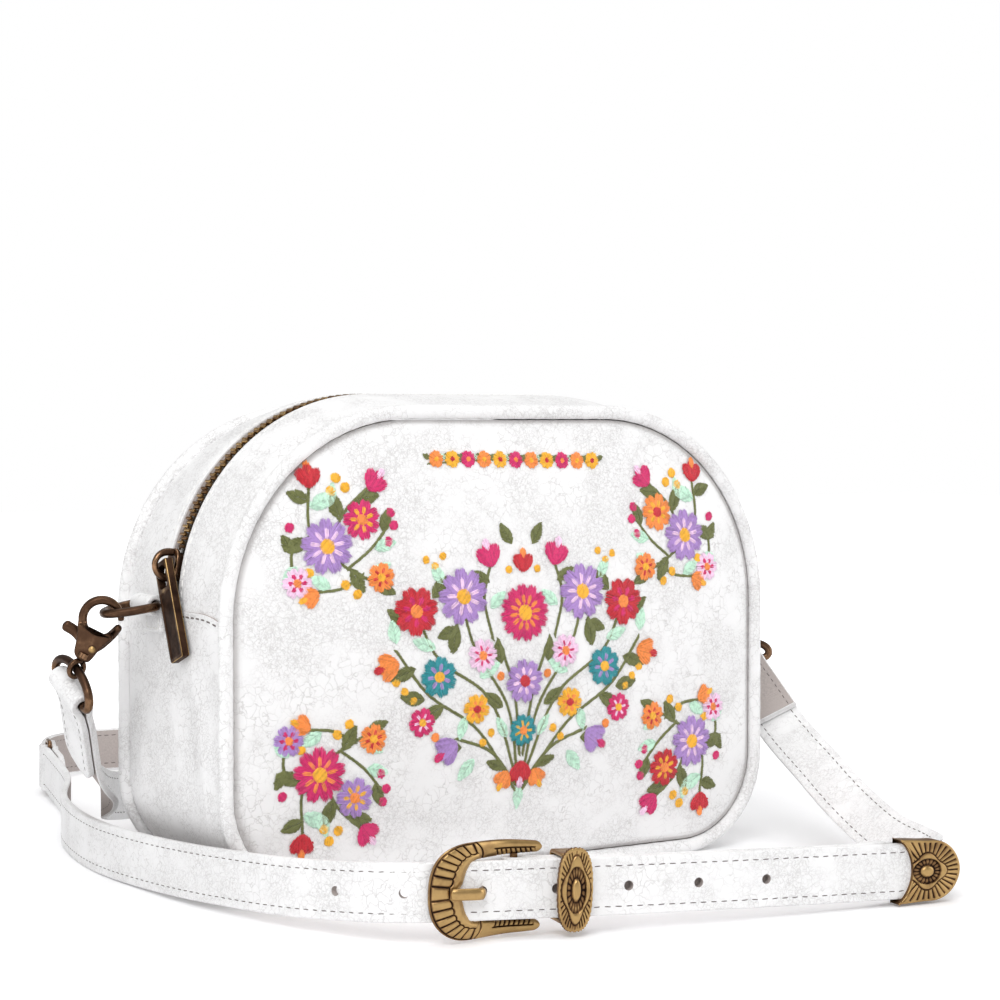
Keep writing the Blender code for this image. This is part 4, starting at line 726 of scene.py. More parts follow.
def dress_panels(sizes):
    """Front and back faces: rings of the seam outline shrunk to the middle, raised by the panel's
    height."""
    middle = np.array((0.0, (SEAM_BOTTOM + SEAM_TOP) / 2))
    edge = seam_outline(-0.2 * MM)
    shares = 1.0 - np.concatenate((np.linspace(0.0, 0.06, 7), np.linspace(0.06, 1.0, 34)[1:-1]))
    angle = np.unwrap(np.arctan2(edge[:, 1] - middle[1], edge[:, 0]))
    flatways = middle + (edge - middle) * shares[:, None, None]
    for name, node, side in (("front_face", "front_panel", -1.0), ("back_face", "back_panel", 1.0)):
        height = panel_height(shares[:, None], angle[None, :], sizes.panel_bulge)
        piece = Piece(name, (finish("white_leather"), finish("suede")))
        layers = []
        for out in (1.0 * MM, -1.0 * MM):
            y = side * (BODY_HALF_DEPTH + out + height)
            layers.append(np.concatenate((flatways[..., :1], y[..., None], flatways[..., 1:]), axis=-1))
        rows = np.concatenate((layers[1][::-1], layers[0]))
        hub = side * (BODY_HALF_DEPTH + sizes.panel_bulge)
        count = len(edge)
        faces = [tuple(f) for f in grid_faces(len(rows), count, False, True)]
        marks = [1] * (len(layers[1]) * count) + [0] * (len(faces) - len(layers[1]) * count)
        a = np.arange(count)
        b = (a + 1) % count
        total = len(rows) * count
        faces += [(int(j), int(i), total) for i, j in zip(a, b)]
        faces += [(int(i), int(j), total + 1) for i, j in zip(a + total - count, b + total - count)]
        marks += [1] * count + [0] * count
        hubs = ((0.0, hub - side * 1.0 * MM, middle[1]), (0.0, hub + side * 1.0 * MM, middle[1]))
        # Painted shade in the seam's groove: the panel's outer rim is drawn darker towards the piping.
        dark = np.concatenate((
            np.ones(len(layers[1]) * count),
            np.repeat(1.0 - 0.75 * ease((shares - 0.975) / 0.02), count),
            (1.0, 1.0),
        ))
        piece.add(np.concatenate((rows.reshape(-1, 3), hubs)), faces, marks, dark)
        piece.make("bag", (node,))


def dress_piping():
    """Rolled rims: a round section carried round the seam outline, pinched a little by its
    stitching."""
    line = seam_outline(PIPING_OFFSET)
    for name, side in (("front", -1.0), ("back", 1.0)):
        path = np.stack((line[:, 0], np.full(len(line), side * BODY_HALF_DEPTH), line[:, 1]), axis=-1)
        path = resample(np.concatenate((path, path[:1])), 1.6 * MM)[0][:-1]
        count = len(path)
        swell = 1.0 + 0.018 * np.sin(np.arange(count) * 2 * math.pi * round(count / 4) / count)
        section = circle(PIPING_RADIUS, 20)[None] * swell[:, None, None]
        piece = Piece(name + "_rim", (finish("white_leather"),))
        sweep(piece, path, ACROSS, section, True)
        piece.make("bag", (name + "_piping",))


def soft_folds(places, rise):
    """Soft vertical folds in the gusset's ends: shallow waves across, strongest below the tabs."""
    y, z = places[..., 1], places[..., 2]
    fade = ease((rise - z) / (20 * MM)) * ease((z - 14 * MM) / (22 * MM))
    waves = np.sin(y / (5.3 * MM) + 1.4 * np.sin(z / (21 * MM)))
    waves = waves + 0.6 * np.sin(y / (9.1 * MM) - z / (30 * MM))
    rim = 1.0 - ease((np.abs(y) - 24 * MM) / (9 * MM))
    return 0.55 * MM * waves * fade * rim


def dress_gussets():
    """The strip down both sides and under the base, and the two strips beside the zip."""
    rows = np.linspace(-GUSSET_HALF - 0.35 * MM, GUSSET_HALF + 0.35 * MM, 73)
    first, last = OUTLINE_COUNT - SEAM_INDEX, OUTLINE_COUNT + SEAM_INDEX
    fine = np.arange(first, last + 1)
    outer = gusset_grid(fine, rows, 0.0, GUSSET_FLAT)
    folds = soft_folds(outer, SEAM_TOP - TOP_RADIUS)
    under = ease((outer[..., 2] - 2 * MM) / (8 * MM))
    outer[..., 0] -= np.sign(outer[..., 0]) * (np.abs(folds) * 0.9 + 0.15 * MM) * under
    inner = gusset_grid(fine, rows, GUSSET_THICK, GUSSET_FLAT)
    lap = ease((np.abs(np.arange(len(fine)) - len(fine) / 2) - len(fine) / 2 + 3) / 3.0)
    outer[..., 0] += np.sign(outer[..., 0]) * 0.35 * MM * lap[:, None]
    tone = np.ones(outer.shape[:2])
    # Painted shade: the gusset is drawn up to a tenth darker towards the floor.
    low = 1.0 - ease((outer[..., 2] - 4 * MM) / (22 * MM))
    tone -= 0.10 * low
    piece = Piece("side_and_base_gusset", (finish("white_leather"), finish("suede")))
    shell(piece, outer, inner, 0, tone, 1)
    piece.make("bag", ("lower_gusset",))

    strips = Piece("gusset_seam_stitches", (finish("dark_stitch_and_hole_shade"), finish("white_stitch")))
    over = np.arange(SEAM_INDEX, OUTLINE_COUNT - SEAM_INDEX + 1)
    edge = 4.3 * MM
    for name, side in (("front", -1.0), ("back", 1.0)):
        lip = edge + np.array((0.0, 0.12, 0.4, 0.9)) * MM
        y = np.concatenate((lip, np.linspace(edge + 1.8 * MM, GUSSET_HALF + 0.35 * MM, 34)))
        outer = gusset_grid(over, side * y, 0.0, 0.0)
        inner = gusset_grid(over, side * y, GUSSET_THICK, 0.0)
        centre = np.array((0.0, 0.0, 90.0 * MM))
        away = unit((outer - centre) * (1.0, 0.0, 1.0))
        rolled = np.concatenate(((0.75, 0.4, 0.14, 0.02), np.zeros(34))) * MM
        groove = 0.25 * MM * np.exp(-((y - edge - 2.4 * MM) / (0.5 * MM)) ** 2)
        drape = 0.3 * MM * np.sin(over * 0.9)[:, None] * np.sin(y / (4.0 * MM))[None, :]
        drape = np.abs(drape * ease((y - 12 * MM) / (8 * MM))) * (1 - ease((y - 26 * MM) / (7 * MM)))
        outer = outer - away * (rolled + groove + drape)[..., None]
        piece = Piece("zip_strip_" + name, (finish("white_leather"), finish("suede")))
        tone = np.broadcast_to(1.0 - 0.5 * (rolled > 0.3 * MM), outer.shape[:2])
        shell(piece, outer, inner, 0, tone.copy(), 1)
        piece.make("bag", ("zip_gusset_" + name,))
        row = gusset_grid(over, np.array((side * (edge + 2.4 * MM),)), 0.0, 0.0)[:, 0]
        facing = unit((row - centre) * (1.0, 0.0, 1.0))
        stitches(strips, row - facing * 0.12 * MM, facing, 2.4 * MM, 1.0 * MM, mark=1, seed=5)
    for end, index in ((-1.0, OUTLINE_COUNT - SEAM_INDEX), (1.0, SEAM_INDEX)):
        seam = gusset_grid((index,), np.linspace(-31 * MM, 31 * MM, 63), 0.0, GUSSET_FLAT)[0]
        seam[:, 2] -= 1.7 * MM
        seam[:, 0] += end * 0.22 * MM
        stitches(strips, seam, (end, 0.0, 0.0), 2.3 * MM, 1.2 * MM, wide=0.6 * MM, mark=0, seed=7)
    strips.make("bag")


def dress_lining():
    """The cloth inside: a sleeve from one side of the mouth round the base to the other, two faces
    and a slip pocket, each a thin sheet."""
    skin = GUSSET_THICK + 0.3 * MM
    line = seam_outline(GUSSET_EDGE_RISE - skin - 0.1 * MM)
    half = BODY_HALF_DEPTH - 1.5 * MM
    piece = Piece("lining_cloth", (finish("lining"),))
    edge_count = OUTLINE_COUNT - 60
    order = (np.arange(edge_count) - edge_count // 2) % OUTLINE_COUNT
    loop = line[order]
    rows = np.linspace(-half, half, 15)
    grid = np.stack(np.broadcast_arrays(loop[:, None, 0], rows[None], loop[:, None, 1]), axis=-1)
    centre = np.array((0.0, 0.0, LINING_MIDDLE))
    inward = unit((centre - grid) * (1.0, 0.0, 1.0)) * 0.5 * MM
    shell(piece, grid, grid + inward)
    shares = np.linspace(0.995, 0.02, 12)
    for side in (-1.0, 1.0):
        flat = (0.0, LINING_MIDDLE) + (line - (0.0, LINING_MIDDLE)) * shares[:, None, None]
        flat = np.concatenate((flat, flat[:, :1]), axis=1)
        sag = 0.25 * MM * np.sin(shares * 9.0)[:, None]
        y = np.broadcast_to(side * (half + sag - 0.3 * MM), flat.shape[:2])
        face = np.stack((flat[..., 0], y, flat[..., 1]), axis=-1)
        shell(piece, face, face - (0.0, side * 0.4 * MM, 0.0))
    piece.make("bag", ("lining",))
    low, high = [np.array(v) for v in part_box("slip_pocket")]
    u = np.linspace(low[0], high[0], 24)[:, None]
    v = np.linspace(low[2], high[2], 14)[None, :]
    gape = np.sin((u - low[0]) / (high[0] - low[0]) * math.pi)
    gape = gape * ((v - low[2]) / (high[2] - low[2])) ** 2
    y = (low[1] + high[1]) / 2 - 0.4 * MM * gape
    front = np.stack(np.broadcast_arrays(u, y, v), axis=-1)
    pocket = Piece("pocket_cloth", (finish("lining"),))
    shell(pocket, front, front + (0.0, 0.45 * MM, 0.0))
    pocket.make("bag", ("slip_pocket",))
    board = bpy.data.objects["base_board"]
    board.data.materials.clear()
    board.data.materials.append(finish("board"))


# ---------------------------------------------------------------- zip

def zip_line(run, rise=0.0):
    """Places and outward directions on the zip's line: two quarter turns joined by a straight."""
    run = np.asarray(run, float)
    corner = ZIP_CORNER_RADIUS * math.pi / 2
    top = 2 * ZIP_CENTRE_X
    past = np.clip(run - corner, 0.0, top)
    turned = (run - past) / ZIP_CORNER_RADIUS
    angle = math.pi - turned
    out = np.stack((np.cos(angle), np.zeros_like(angle), np.sin(angle)), axis=-1)
    level = np.full_like(past, ZIP_CENTRE_Z)
    centre = np.stack((-ZIP_CENTRE_X + past, np.zeros_like(past), level), axis=-1)
    return centre + out * (ZIP_CORNER_RADIUS + np.asarray(rise))[..., None], out


ZIP_LENGTH = ZIP_CORNER_RADIUS * math.pi + 2 * ZIP_CENTRE_X
SLIDER_RUN = ZIP_CORNER_RADIUS * math.radians(11.5)
TEETH_RISE = -1.8 * MM
TOOTH_PITCH = 2.7 * MM


def tooth_shape():
    """One tooth, x along the zip, y inwards, z out: a waisted block with a round head, in rings
    of y."""
    y = np.array((-2.6, -2.2, -1.3, -0.3, 0.3, 0.7)) * MM
    wide = np.array((0.8, 1.0, 1.0, 0.95, 1.25, 0.8)) * 0.5 * MM
    tall = np.array((0.55, 0.75, 0.75, 0.72, 0.75, 0.5)) * MM
    ring = rounded_box(2.0, 2.0, 0.7, 2)
    x = ring[None, :, 0] * wide[:, None]
    z = ring[None, :, 1] * tall[:, None]
    points = np.stack((x, np.broadcast_to(y[:, None], x.shape), z), axis=-1).reshape(-1, 3)
    count = len(ring)
    faces = [tuple(f) for f in grid_faces(6, count, False, True)]
    faces.append(tuple(range(count))[::-1])
    faces.append(tuple(range(5 * count, 6 * count)))
    return points, faces


def dress_zip():
    """Woven tapes, two rows of teeth that mesh, and the stop."""
    over = np.arange(SEAM_INDEX, OUTLINE_COUNT - SEAM_INDEX + 1)
    for name, side in (("front", -1.0), ("back", 1.0)):
        y = side * np.linspace(1.4 * MM, 9.0 * MM, 9)
        ribs = 0.06 * MM * np.cos(np.arange(9) * math.pi)
        grid = gusset_grid(over, y, 2.1 * MM, 0.0)
        below = gusset_grid(over, y, 2.55 * MM, 0.0)
        grid[..., 2] += ribs
        piece = Piece("woven_tape_" + name, (finish("zip_tape"),))
        shell(piece, grid, below)
        piece.make("bag", ("zip_tape_" + name,))
        first = SLIDER_RUN + 6.5 * MM
        count = int((ZIP_LENGTH - 6.0 * MM - first) / TOOTH_PITCH)
        run = first + (0.0 if side < 0 else TOOTH_PITCH / 2) + np.arange(count) * TOOTH_PITCH
        places, out = zip_line(run, TEETH_RISE + 0.95 * MM)
        along = np.cross(ACROSS, out)
        inwards = np.broadcast_to(ACROSS * -side, out.shape)
        shape, faces = tooth_shape()
        rows = Piece("teeth_row_" + name, (finish("worn_gold"),))
        rough = np.random.default_rng(3 if side < 0 else 4).uniform(0.35, 0.95, count)
        scatter(rows, shape, faces, places, np.stack((along, inwards, out), axis=1), 0, rough)
        cord = np.linspace(first - 1.0 * MM, run[-1] + 1.0 * MM, 200)
        line, _ = zip_line(cord, TEETH_RISE + 0.25 * MM)
        line[:, 1] = side * 2.2 * MM
        sweep(rows, line, ACROSS, circle(0.35 * MM, 8), tone=np.full((200, 8), 0.2))
        rows.make("bag", ("zip_teeth_" + name,))
    place, out = zip_line(np.array((ZIP_LENGTH - 3.0 * MM,)), TEETH_RISE + 0.75 * MM)
    stop = Piece("end_stop", (finish("dark_bronze"),))
    axes = (np.cross(ACROSS, out[0]), ACROSS, out[0])
    shape = rounded_box(3.0 * MM, 5.2 * MM, 0.6 * MM, 3)
    slab(stop, shape, place[0], axes, 1.5 * MM, 0.3 * MM, tone=0.6)
    stop.make("bag", ("zip_stop",))


def dress_slider():
    """The slider's two plates on a post, the arched bridge over it and the plain pull bar."""
    low_rise, high_rise = (-2.1 - 0.5 - 0.8) * MM, TEETH_RISE + 1.8 * MM
    mid = (low_rise + high_rise) / 2
    plate = 1.2 * MM
    room = (high_rise - low_rise) / 2
    places, outs = zip_line(np.array((SLIDER_RUN,)), mid)
    place, out = places[0], outs[0]
    along = np.cross(ACROSS, out)
    s = np.linspace(0.0, 2 * math.pi, 41)[:-1]
    x = 5.5 * MM * np.sign(np.cos(s)) * np.abs(np.cos(s)) ** 0.6
    waist = 1.0 - 0.16 * ease(np.abs(np.cos(s)) * 1.4 - 0.5)
    y = 3.7 * MM * np.sign(np.sin(s)) * np.abs(np.sin(s)) ** 0.75 * waist
    shape = np.stack((x, y), axis=-1)
    piece = Piece("slider_body", (finish("dark_bronze"),))

    def dish(_x, _y, share):
        """A rim raised round a sunk middle, by the share alone, and brighter on the rim."""
        lift = 0.25 * MM * (ease((share - 0.55) / 0.25) - 0.6 * ease((share - 0.92) / 0.08))
        return lift, 0.35 + 0.5 * ease((share - 0.6) / 0.3)

    for level in (1.0, -1.0):
        spot = place + out * level * (room + plate / 2 - 0.02 * MM)
        axes = (along, ACROSS * level, out * level)
        slab(piece, shape, spot, axes, plate - 0.04 * MM, 0.35 * MM, relief=dish, rings=8)
    post = rounded_box(9.0 * MM, 2.2 * MM, 0.9 * MM, 3)
    slab(piece, post, place, (along, ACROSS, out), 2 * room + 0.6 * MM, 0.1 * MM, tone=0.4)
    piece.make("slider", ("zip_slider",))

    base_rise = mid + room + plate + 0.3 * MM
    base = zip_line(np.array((SLIDER_RUN,)), base_rise)[0][0]
    a = np.linspace(0.0, math.pi, 41)[:, None]
    wire = 1.1 * MM
    span, crest = 10.4 * MM / 2 - wire, 6.4 * MM - wire
    arch = base - along * span * np.cos(a) + out * crest * np.sin(a) ** 0.85
    piece = Piece("bridge_arch", (finish("dark_bronze"),))
    wide = 1.0 + 0.12 * np.cos(a * 2)
    section = circle(wire, 14)[None] * wide[:, None]
    tone = np.broadcast_to(0.35 + 0.5 * np.sin(a) ** 2, (41, 14))
    sweep(piece, arch, ACROSS, section, tone=tone)
    piece.make("slider", ("slider_bridge",))

    swing = math.hypot(1.3, 0.8) * MM
    pivot = base + out * (crest - wire - CLEAR - swing)
    lean, drop = math.radians(21.0), math.radians(0.5)
    c, s = math.cos(lean), math.sin(lean)
    turn = np.array(((1, 0, 0), (0, c, s), (0, -s, c)))
    down = turn @ np.array((math.sin(drop), 0.0, -math.cos(drop)))
    wideways = turn @ ACROSS
    face = np.cross(down, wideways)
    piece = Piece("pull_bar", (finish("edge_bronze"),))
    bar_length, eye_length, wall = 32.0 * MM, 7.0 * MM, 1.6 * MM
    rim = rounded_box(bar_length, 8.6 * MM, 0.6 * MM, 4)
    eye = rounded_box(eye_length, 6.2 * MM, 2.0 * MM, 4)
    eye[:, 0] += wall + (eye_length - bar_length) / 2
    centre = pivot + down * (bar_length - wall) / 2
    pull_bar(piece, rim, eye, centre, (down, wideways, face))
    piece.make("pull", ("zip_pull",))


BAR_EDGE_MIDDLE = 1.57
BAR_EDGE = (
    (0.35, 0.7), (0.8, 1.0), (1.25, 0.85), (1.5, 0.3), (BAR_EDGE_MIDDLE, 0.3),
    (1.64, 0.3), (1.89, 0.85), (2.34, 1.0), (2.79, 0.7),
)


def pull_bar(piece, rim, eye, centre, axes):
    """A bar with round edges, a slot for the bridge and a sunk plain field on each broad face.

    Both faces are a grid between the slot's outline and the bar's outline, matched by angle. The
    outer edge goes round by the angles of BAR_EDGE, each with how far it is rubbed bright.
    """
    x, y, z = axes
    thick = 2.6 * MM
    middle = eye.mean(axis=0)
    angle = np.linspace(0.0, 2 * math.pi, 361)[:-1]
    ray = np.stack((np.cos(angle), np.sin(angle)), axis=-1)

    def reach(outline):
        """How far each ray from the slot's middle goes before it meets the outline."""
        dense = resample(np.concatenate((outline, outline[:1])), 0.1 * MM)[0]
        bearing = np.arctan2(dense[:, 1] - middle[1], dense[:, 0] - middle[0]) % (2 * math.pi)
        order = np.argsort(bearing)
        size = np.linalg.norm(dense - middle, axis=-1)
        return np.interp(angle, bearing[order], size[order], period=2 * math.pi)

    near, far = reach(eye), reach(rim)
    bevel = 0.32 * MM
    shares = np.concatenate(((0.0,), np.linspace(0.04, 0.80, 18), np.linspace(0.82, 0.99, 12), (1.0,)))
    loops, levels, tones = [], [], []
    for side in (1.0, -1.0):
        order = shares if side > 0 else shares[::-1]
        for share in order:
            size = near + bevel * 0.6 + (far - near - bevel * 1.6) * share
            flat = middle + ray * size[:, None]
            field = ease((flat[:, 0] - (middle[0] + 4.6 * MM)) / (0.6 * MM))
            field = field * ease((15.0 * MM - flat[:, 0]) / (0.4 * MM))
            field = field * ease((3.5 * MM - np.abs(flat[:, 1])) / (0.4 * MM))
            loops.append(flat)
            levels.append(side * (thick / 2 - 0.22 * MM * field))
            tones.append(0.5 - 0.35 * field)
        if side > 0:
            for lean, rub in BAR_EDGE:
                size = far - bevel + bevel * math.sin(lean)
                loops.append(middle + ray * size[:, None])
                half = (thick / 2 - bevel) * np.sign(BAR_EDGE_MIDDLE - lean)
                levels.append(np.full(len(angle), half + bevel * math.cos(lean)))
                tones.append(np.full(len(angle), rub))
        else:
            for lean in (0.5, 1.0, 2.1, 2.6):
                size = near + bevel * 0.6 * (1 - math.sin(lean))
                loops.append(middle + ray * size[:, None])
                levels.append(np.full(len(angle), -(thick / 2) * math.cos(lean)))
                tones.append(np.full(len(angle), 0.35))
    flat = np.stack(loops)
    level = np.stack([np.broadcast_to(v, (len(angle),)) for v in levels])
    points = centre + flat[..., :1] * x + flat[..., 1:] * y + level[..., None] * z
    tone = np.stack([np.broadcast_to(v, (len(angle),)) for v in tones])
    faces = grid_faces(len(loops), len(angle), True, True)
    piece.add(points.reshape(-1, 3), faces, 0, tone.reshape(-1))


# ---------------------------------------------------------------- ends: tabs, rings and clasps

TAB_Y = 9.4 * MM
TAB_WIDTH = 12.8 * MM
TAB_LEATHER = 1.6 * MM
RING_WIRE = 1.4 * MM
RING_DEPTH = 14.6 * MM
EYE_RADIUS = 5.9 * MM
CLASP_BODY = 13.6 * MM
CLASP_THICK = 3.0 * MM
LEVER_WIRE = 1.25 * MM
BODY_LEAN = 27.0
PIVOT_SHARE = 0.62
CLEAR = 0.3 * MM
SWIVEL_WIRE = 0.9 * MM
LINK_DEPTH = 8.4 * MM
# Side, label and five angles in degrees: the ring's droop, the clasp's turn, the swivel's turn, the
# strap ring's slide round the eye and its tilt.
ENDS = (
    (-1.0, "left", (9.0, 26.0, 42.0, 14.0, 26.0)),
    (1.0, "right", (36.0, -26.0, 92.0, 0.0, 0.0)),
)


def d_shape(half, depth, corner):
    """A D: a straight bar with a small bevel at each end, and a half ellipse that reaches the
    depth."""
    a = np.linspace(0.0, math.pi, 37)
    bar = np.linspace(-half + corner, half - corner, 9)[:, None] * (1.0, 0.0)
    bevel = corner * 0.3
    arc = np.stack((half * np.cos(a), corner + (depth - corner) * np.sin(a)), axis=-1)
    return np.concatenate((bar, ((half - bevel, bevel),), arc, ((-half + bevel, bevel),)))


def ring(piece, loop, normal, radius, sides=18):
    """A closed wire, its outer bends rubbed bright."""
    loop = resample(np.concatenate((loop, loop[:1])), 0.7 * MM)[0][:-1]
    middle = loop.mean(axis=0)
    far = np.linalg.norm(loop - middle, axis=-1)
    tone = 0.2 + 0.45 * (far / far.max())[:, None] ** 2 * np.ones((1, sides))
    sweep(piece, loop, normal, circle(radius, sides), True, tone=tone)


def smooth_points(points, steps):
    """A smooth line through every given point: cubics whose slopes are weighted by closeness."""
    pts = np.asarray(points, float)
    spans = np.maximum(np.linalg.norm(np.diff(pts[:, :3], axis=0), axis=-1), 1e-9)[:, None]
    chords = np.diff(pts, axis=0) / spans
    near, far = spans[:-1], spans[1:]
    between = (chords[:-1] * far + chords[1:] * near) / (near + far)
    slopes = np.concatenate((chords[:1], between, chords[-1:]))
    t = (np.arange(steps) / steps)[None, :, None]
    into = 3 * t ** 2 - 2 * t ** 3
    a, b = pts[:-1, None], pts[1:, None]
    body = a * (1 - into) + b * into + slopes[:-1, None] * (spans[:, None] * t * (1 - t) ** 2)
    body = body - slopes[1:, None] * (spans[:, None] * t ** 2 * (1 - t))
    return np.concatenate((body.reshape(-1, pts.shape[1]), pts[-1:]))


def end_frame(side, angles):
    """Places and directions of one end's pieces, worked out as in the solids."""
    flip = np.array((side, 1.0, 1.0))
    roll = RING_WIRE + CLEAR + TAB_LEATHER
    bar = np.array((ZIP_HALF_WIDTH + CLEAR + roll, TAB_Y, SEAM_TOP - TOP_RADIUS + roll + CLEAR))
    droop, turn, twist, slide, tilt = [math.radians(angle) for angle in angles]
    lean = math.radians(BODY_LEAN)
    outward = np.array((math.cos(droop), 0.0, -math.sin(droop)))
    ring_end = bar + outward * RING_DEPTH
    across = np.array((math.cos(turn), math.sin(turn), 0.0))
    depth = np.array((-math.sin(turn), math.cos(turn), 0.0))
    eye = ring_end + across * 1.0 * MM - UP * 1.6 * MM

    def place(a, b, d=0.0):
        """A place in the clasp's plane: outwards is minus, up from the eye, and behind it."""
        a, b, d = np.broadcast_arrays(a, b, d)
        return (eye - across * a[..., None] + UP * b[..., None] + depth * d[..., None]) * flip

    axis = np.array((-math.sin(lean), -math.cos(lean)))
    pivot_run = EYE_RADIUS + (CLASP_BODY - EYE_RADIUS) * PIVOT_SHARE
    pivot = (axis[0] * pivot_run * PIVOT_SHARE, axis[1] * pivot_run)
    at = place(*(axis * (CLASP_BODY + CLEAR)))
    eye_radius = RING_WIRE + CLEAR + SWIVEL_WIRE
    reach = CLASP_BODY + CLEAR + SWIVEL_WIRE + eye_radius
    ring_top = place(*(axis * reach))
    stem = (UP * axis[1] - across * axis[0]) * flip
    level = (across * -axis[1] - UP * axis[0]) * flip
    longways = depth * flip * math.cos(twist) + level * math.sin(twist)
    if longways[2] < 0.0:
        longways = -longways
    post_plane = longways
    bar_side = stem * math.cos(slide) + longways * math.sin(slide)
    longways = longways * math.cos(slide) - stem * math.sin(slide)
    bar_side = bar_side * math.cos(tilt) + np.cross(longways, bar_side) * (side * math.sin(tilt))
    strap_bar = ring_top + bar_side * LINK_DEPTH
    return {
        "flip": flip, "roll": roll, "bar": bar, "outward": outward, "place": place, "axis": axis,
        "pivot": pivot, "depth": depth * flip, "swivel_at": at, "ring_top": ring_top, "stem": stem,
        "post_plane": post_plane, "eye_radius": eye_radius, "bar_side": bar_side,
        "longways": longways, "strap_bar": strap_bar,
    }


def dress_tab(side, label, f):
    """A leather tab rolled round the ring's bar, with rounded edges, and its tail stitched down."""
    bar, roll = f["bar"], f["roll"]
    a = np.linspace(-math.pi / 2, math.pi, 40)
    ray = np.stack((np.cos(a), np.sin(a)), axis=-1)
    centre = bar[[0, 2]]
    foot = bar[2] - roll - 5.0 * MM
    tail = np.linspace(bar[2], foot, 12)
    outer = np.concatenate((centre + ray * roll, np.stack((np.full(12, bar[0] - roll), tail), -1)))
    near = roll - TAB_LEATHER
    inner = np.concatenate((centre + ray * near, np.stack((np.full(12, bar[0] - near), tail), -1)))
    middle = (outer + inner) / 2
    path = np.stack((side * middle[:, 0], np.full(len(middle), TAB_Y), middle[:, 1]), axis=-1)
    section = rounded_box(TAB_WIDTH, TAB_LEATHER, 0.55 * MM, 4)
    swell = np.ones(len(path))
    swell[-10:] = 1.0 - 0.05 * ease(np.linspace(0.0, 1.0, 10))
    piece = Piece(label + "_rolled_tab", (finish("white_leather"), finish("white_stitch")))
    sized = section[None] * np.stack((swell, np.ones(len(path))), axis=-1)[:, None]
    sweep(piece, path, ACROSS, sized, round_ends=0.4 * MM)
    x = side * (bar[0] - roll + TAB_LEATHER)
    for y in (-4.4 * MM, 4.4 * MM):
        line = np.array(((x, TAB_Y + y, bar[2] - roll - 0.4 * MM), (x, TAB_Y + y, foot + 0.9 * MM)))
        stitches(piece, line, (side, 0.0, 0.0), 1.5 * MM, 0.6 * MM, mark=1, seed=11)
    line = np.array(((x, TAB_Y - 4.4 * MM, foot + 0.8 * MM), (x, TAB_Y + 4.4 * MM, foot + 0.8 * MM)))
    stitches(piece, line, (side, 0.0, 0.0), 1.6 * MM, 0.7 * MM, mark=1, seed=12)
    piece.make("bag", (label + "_ring_tab",))


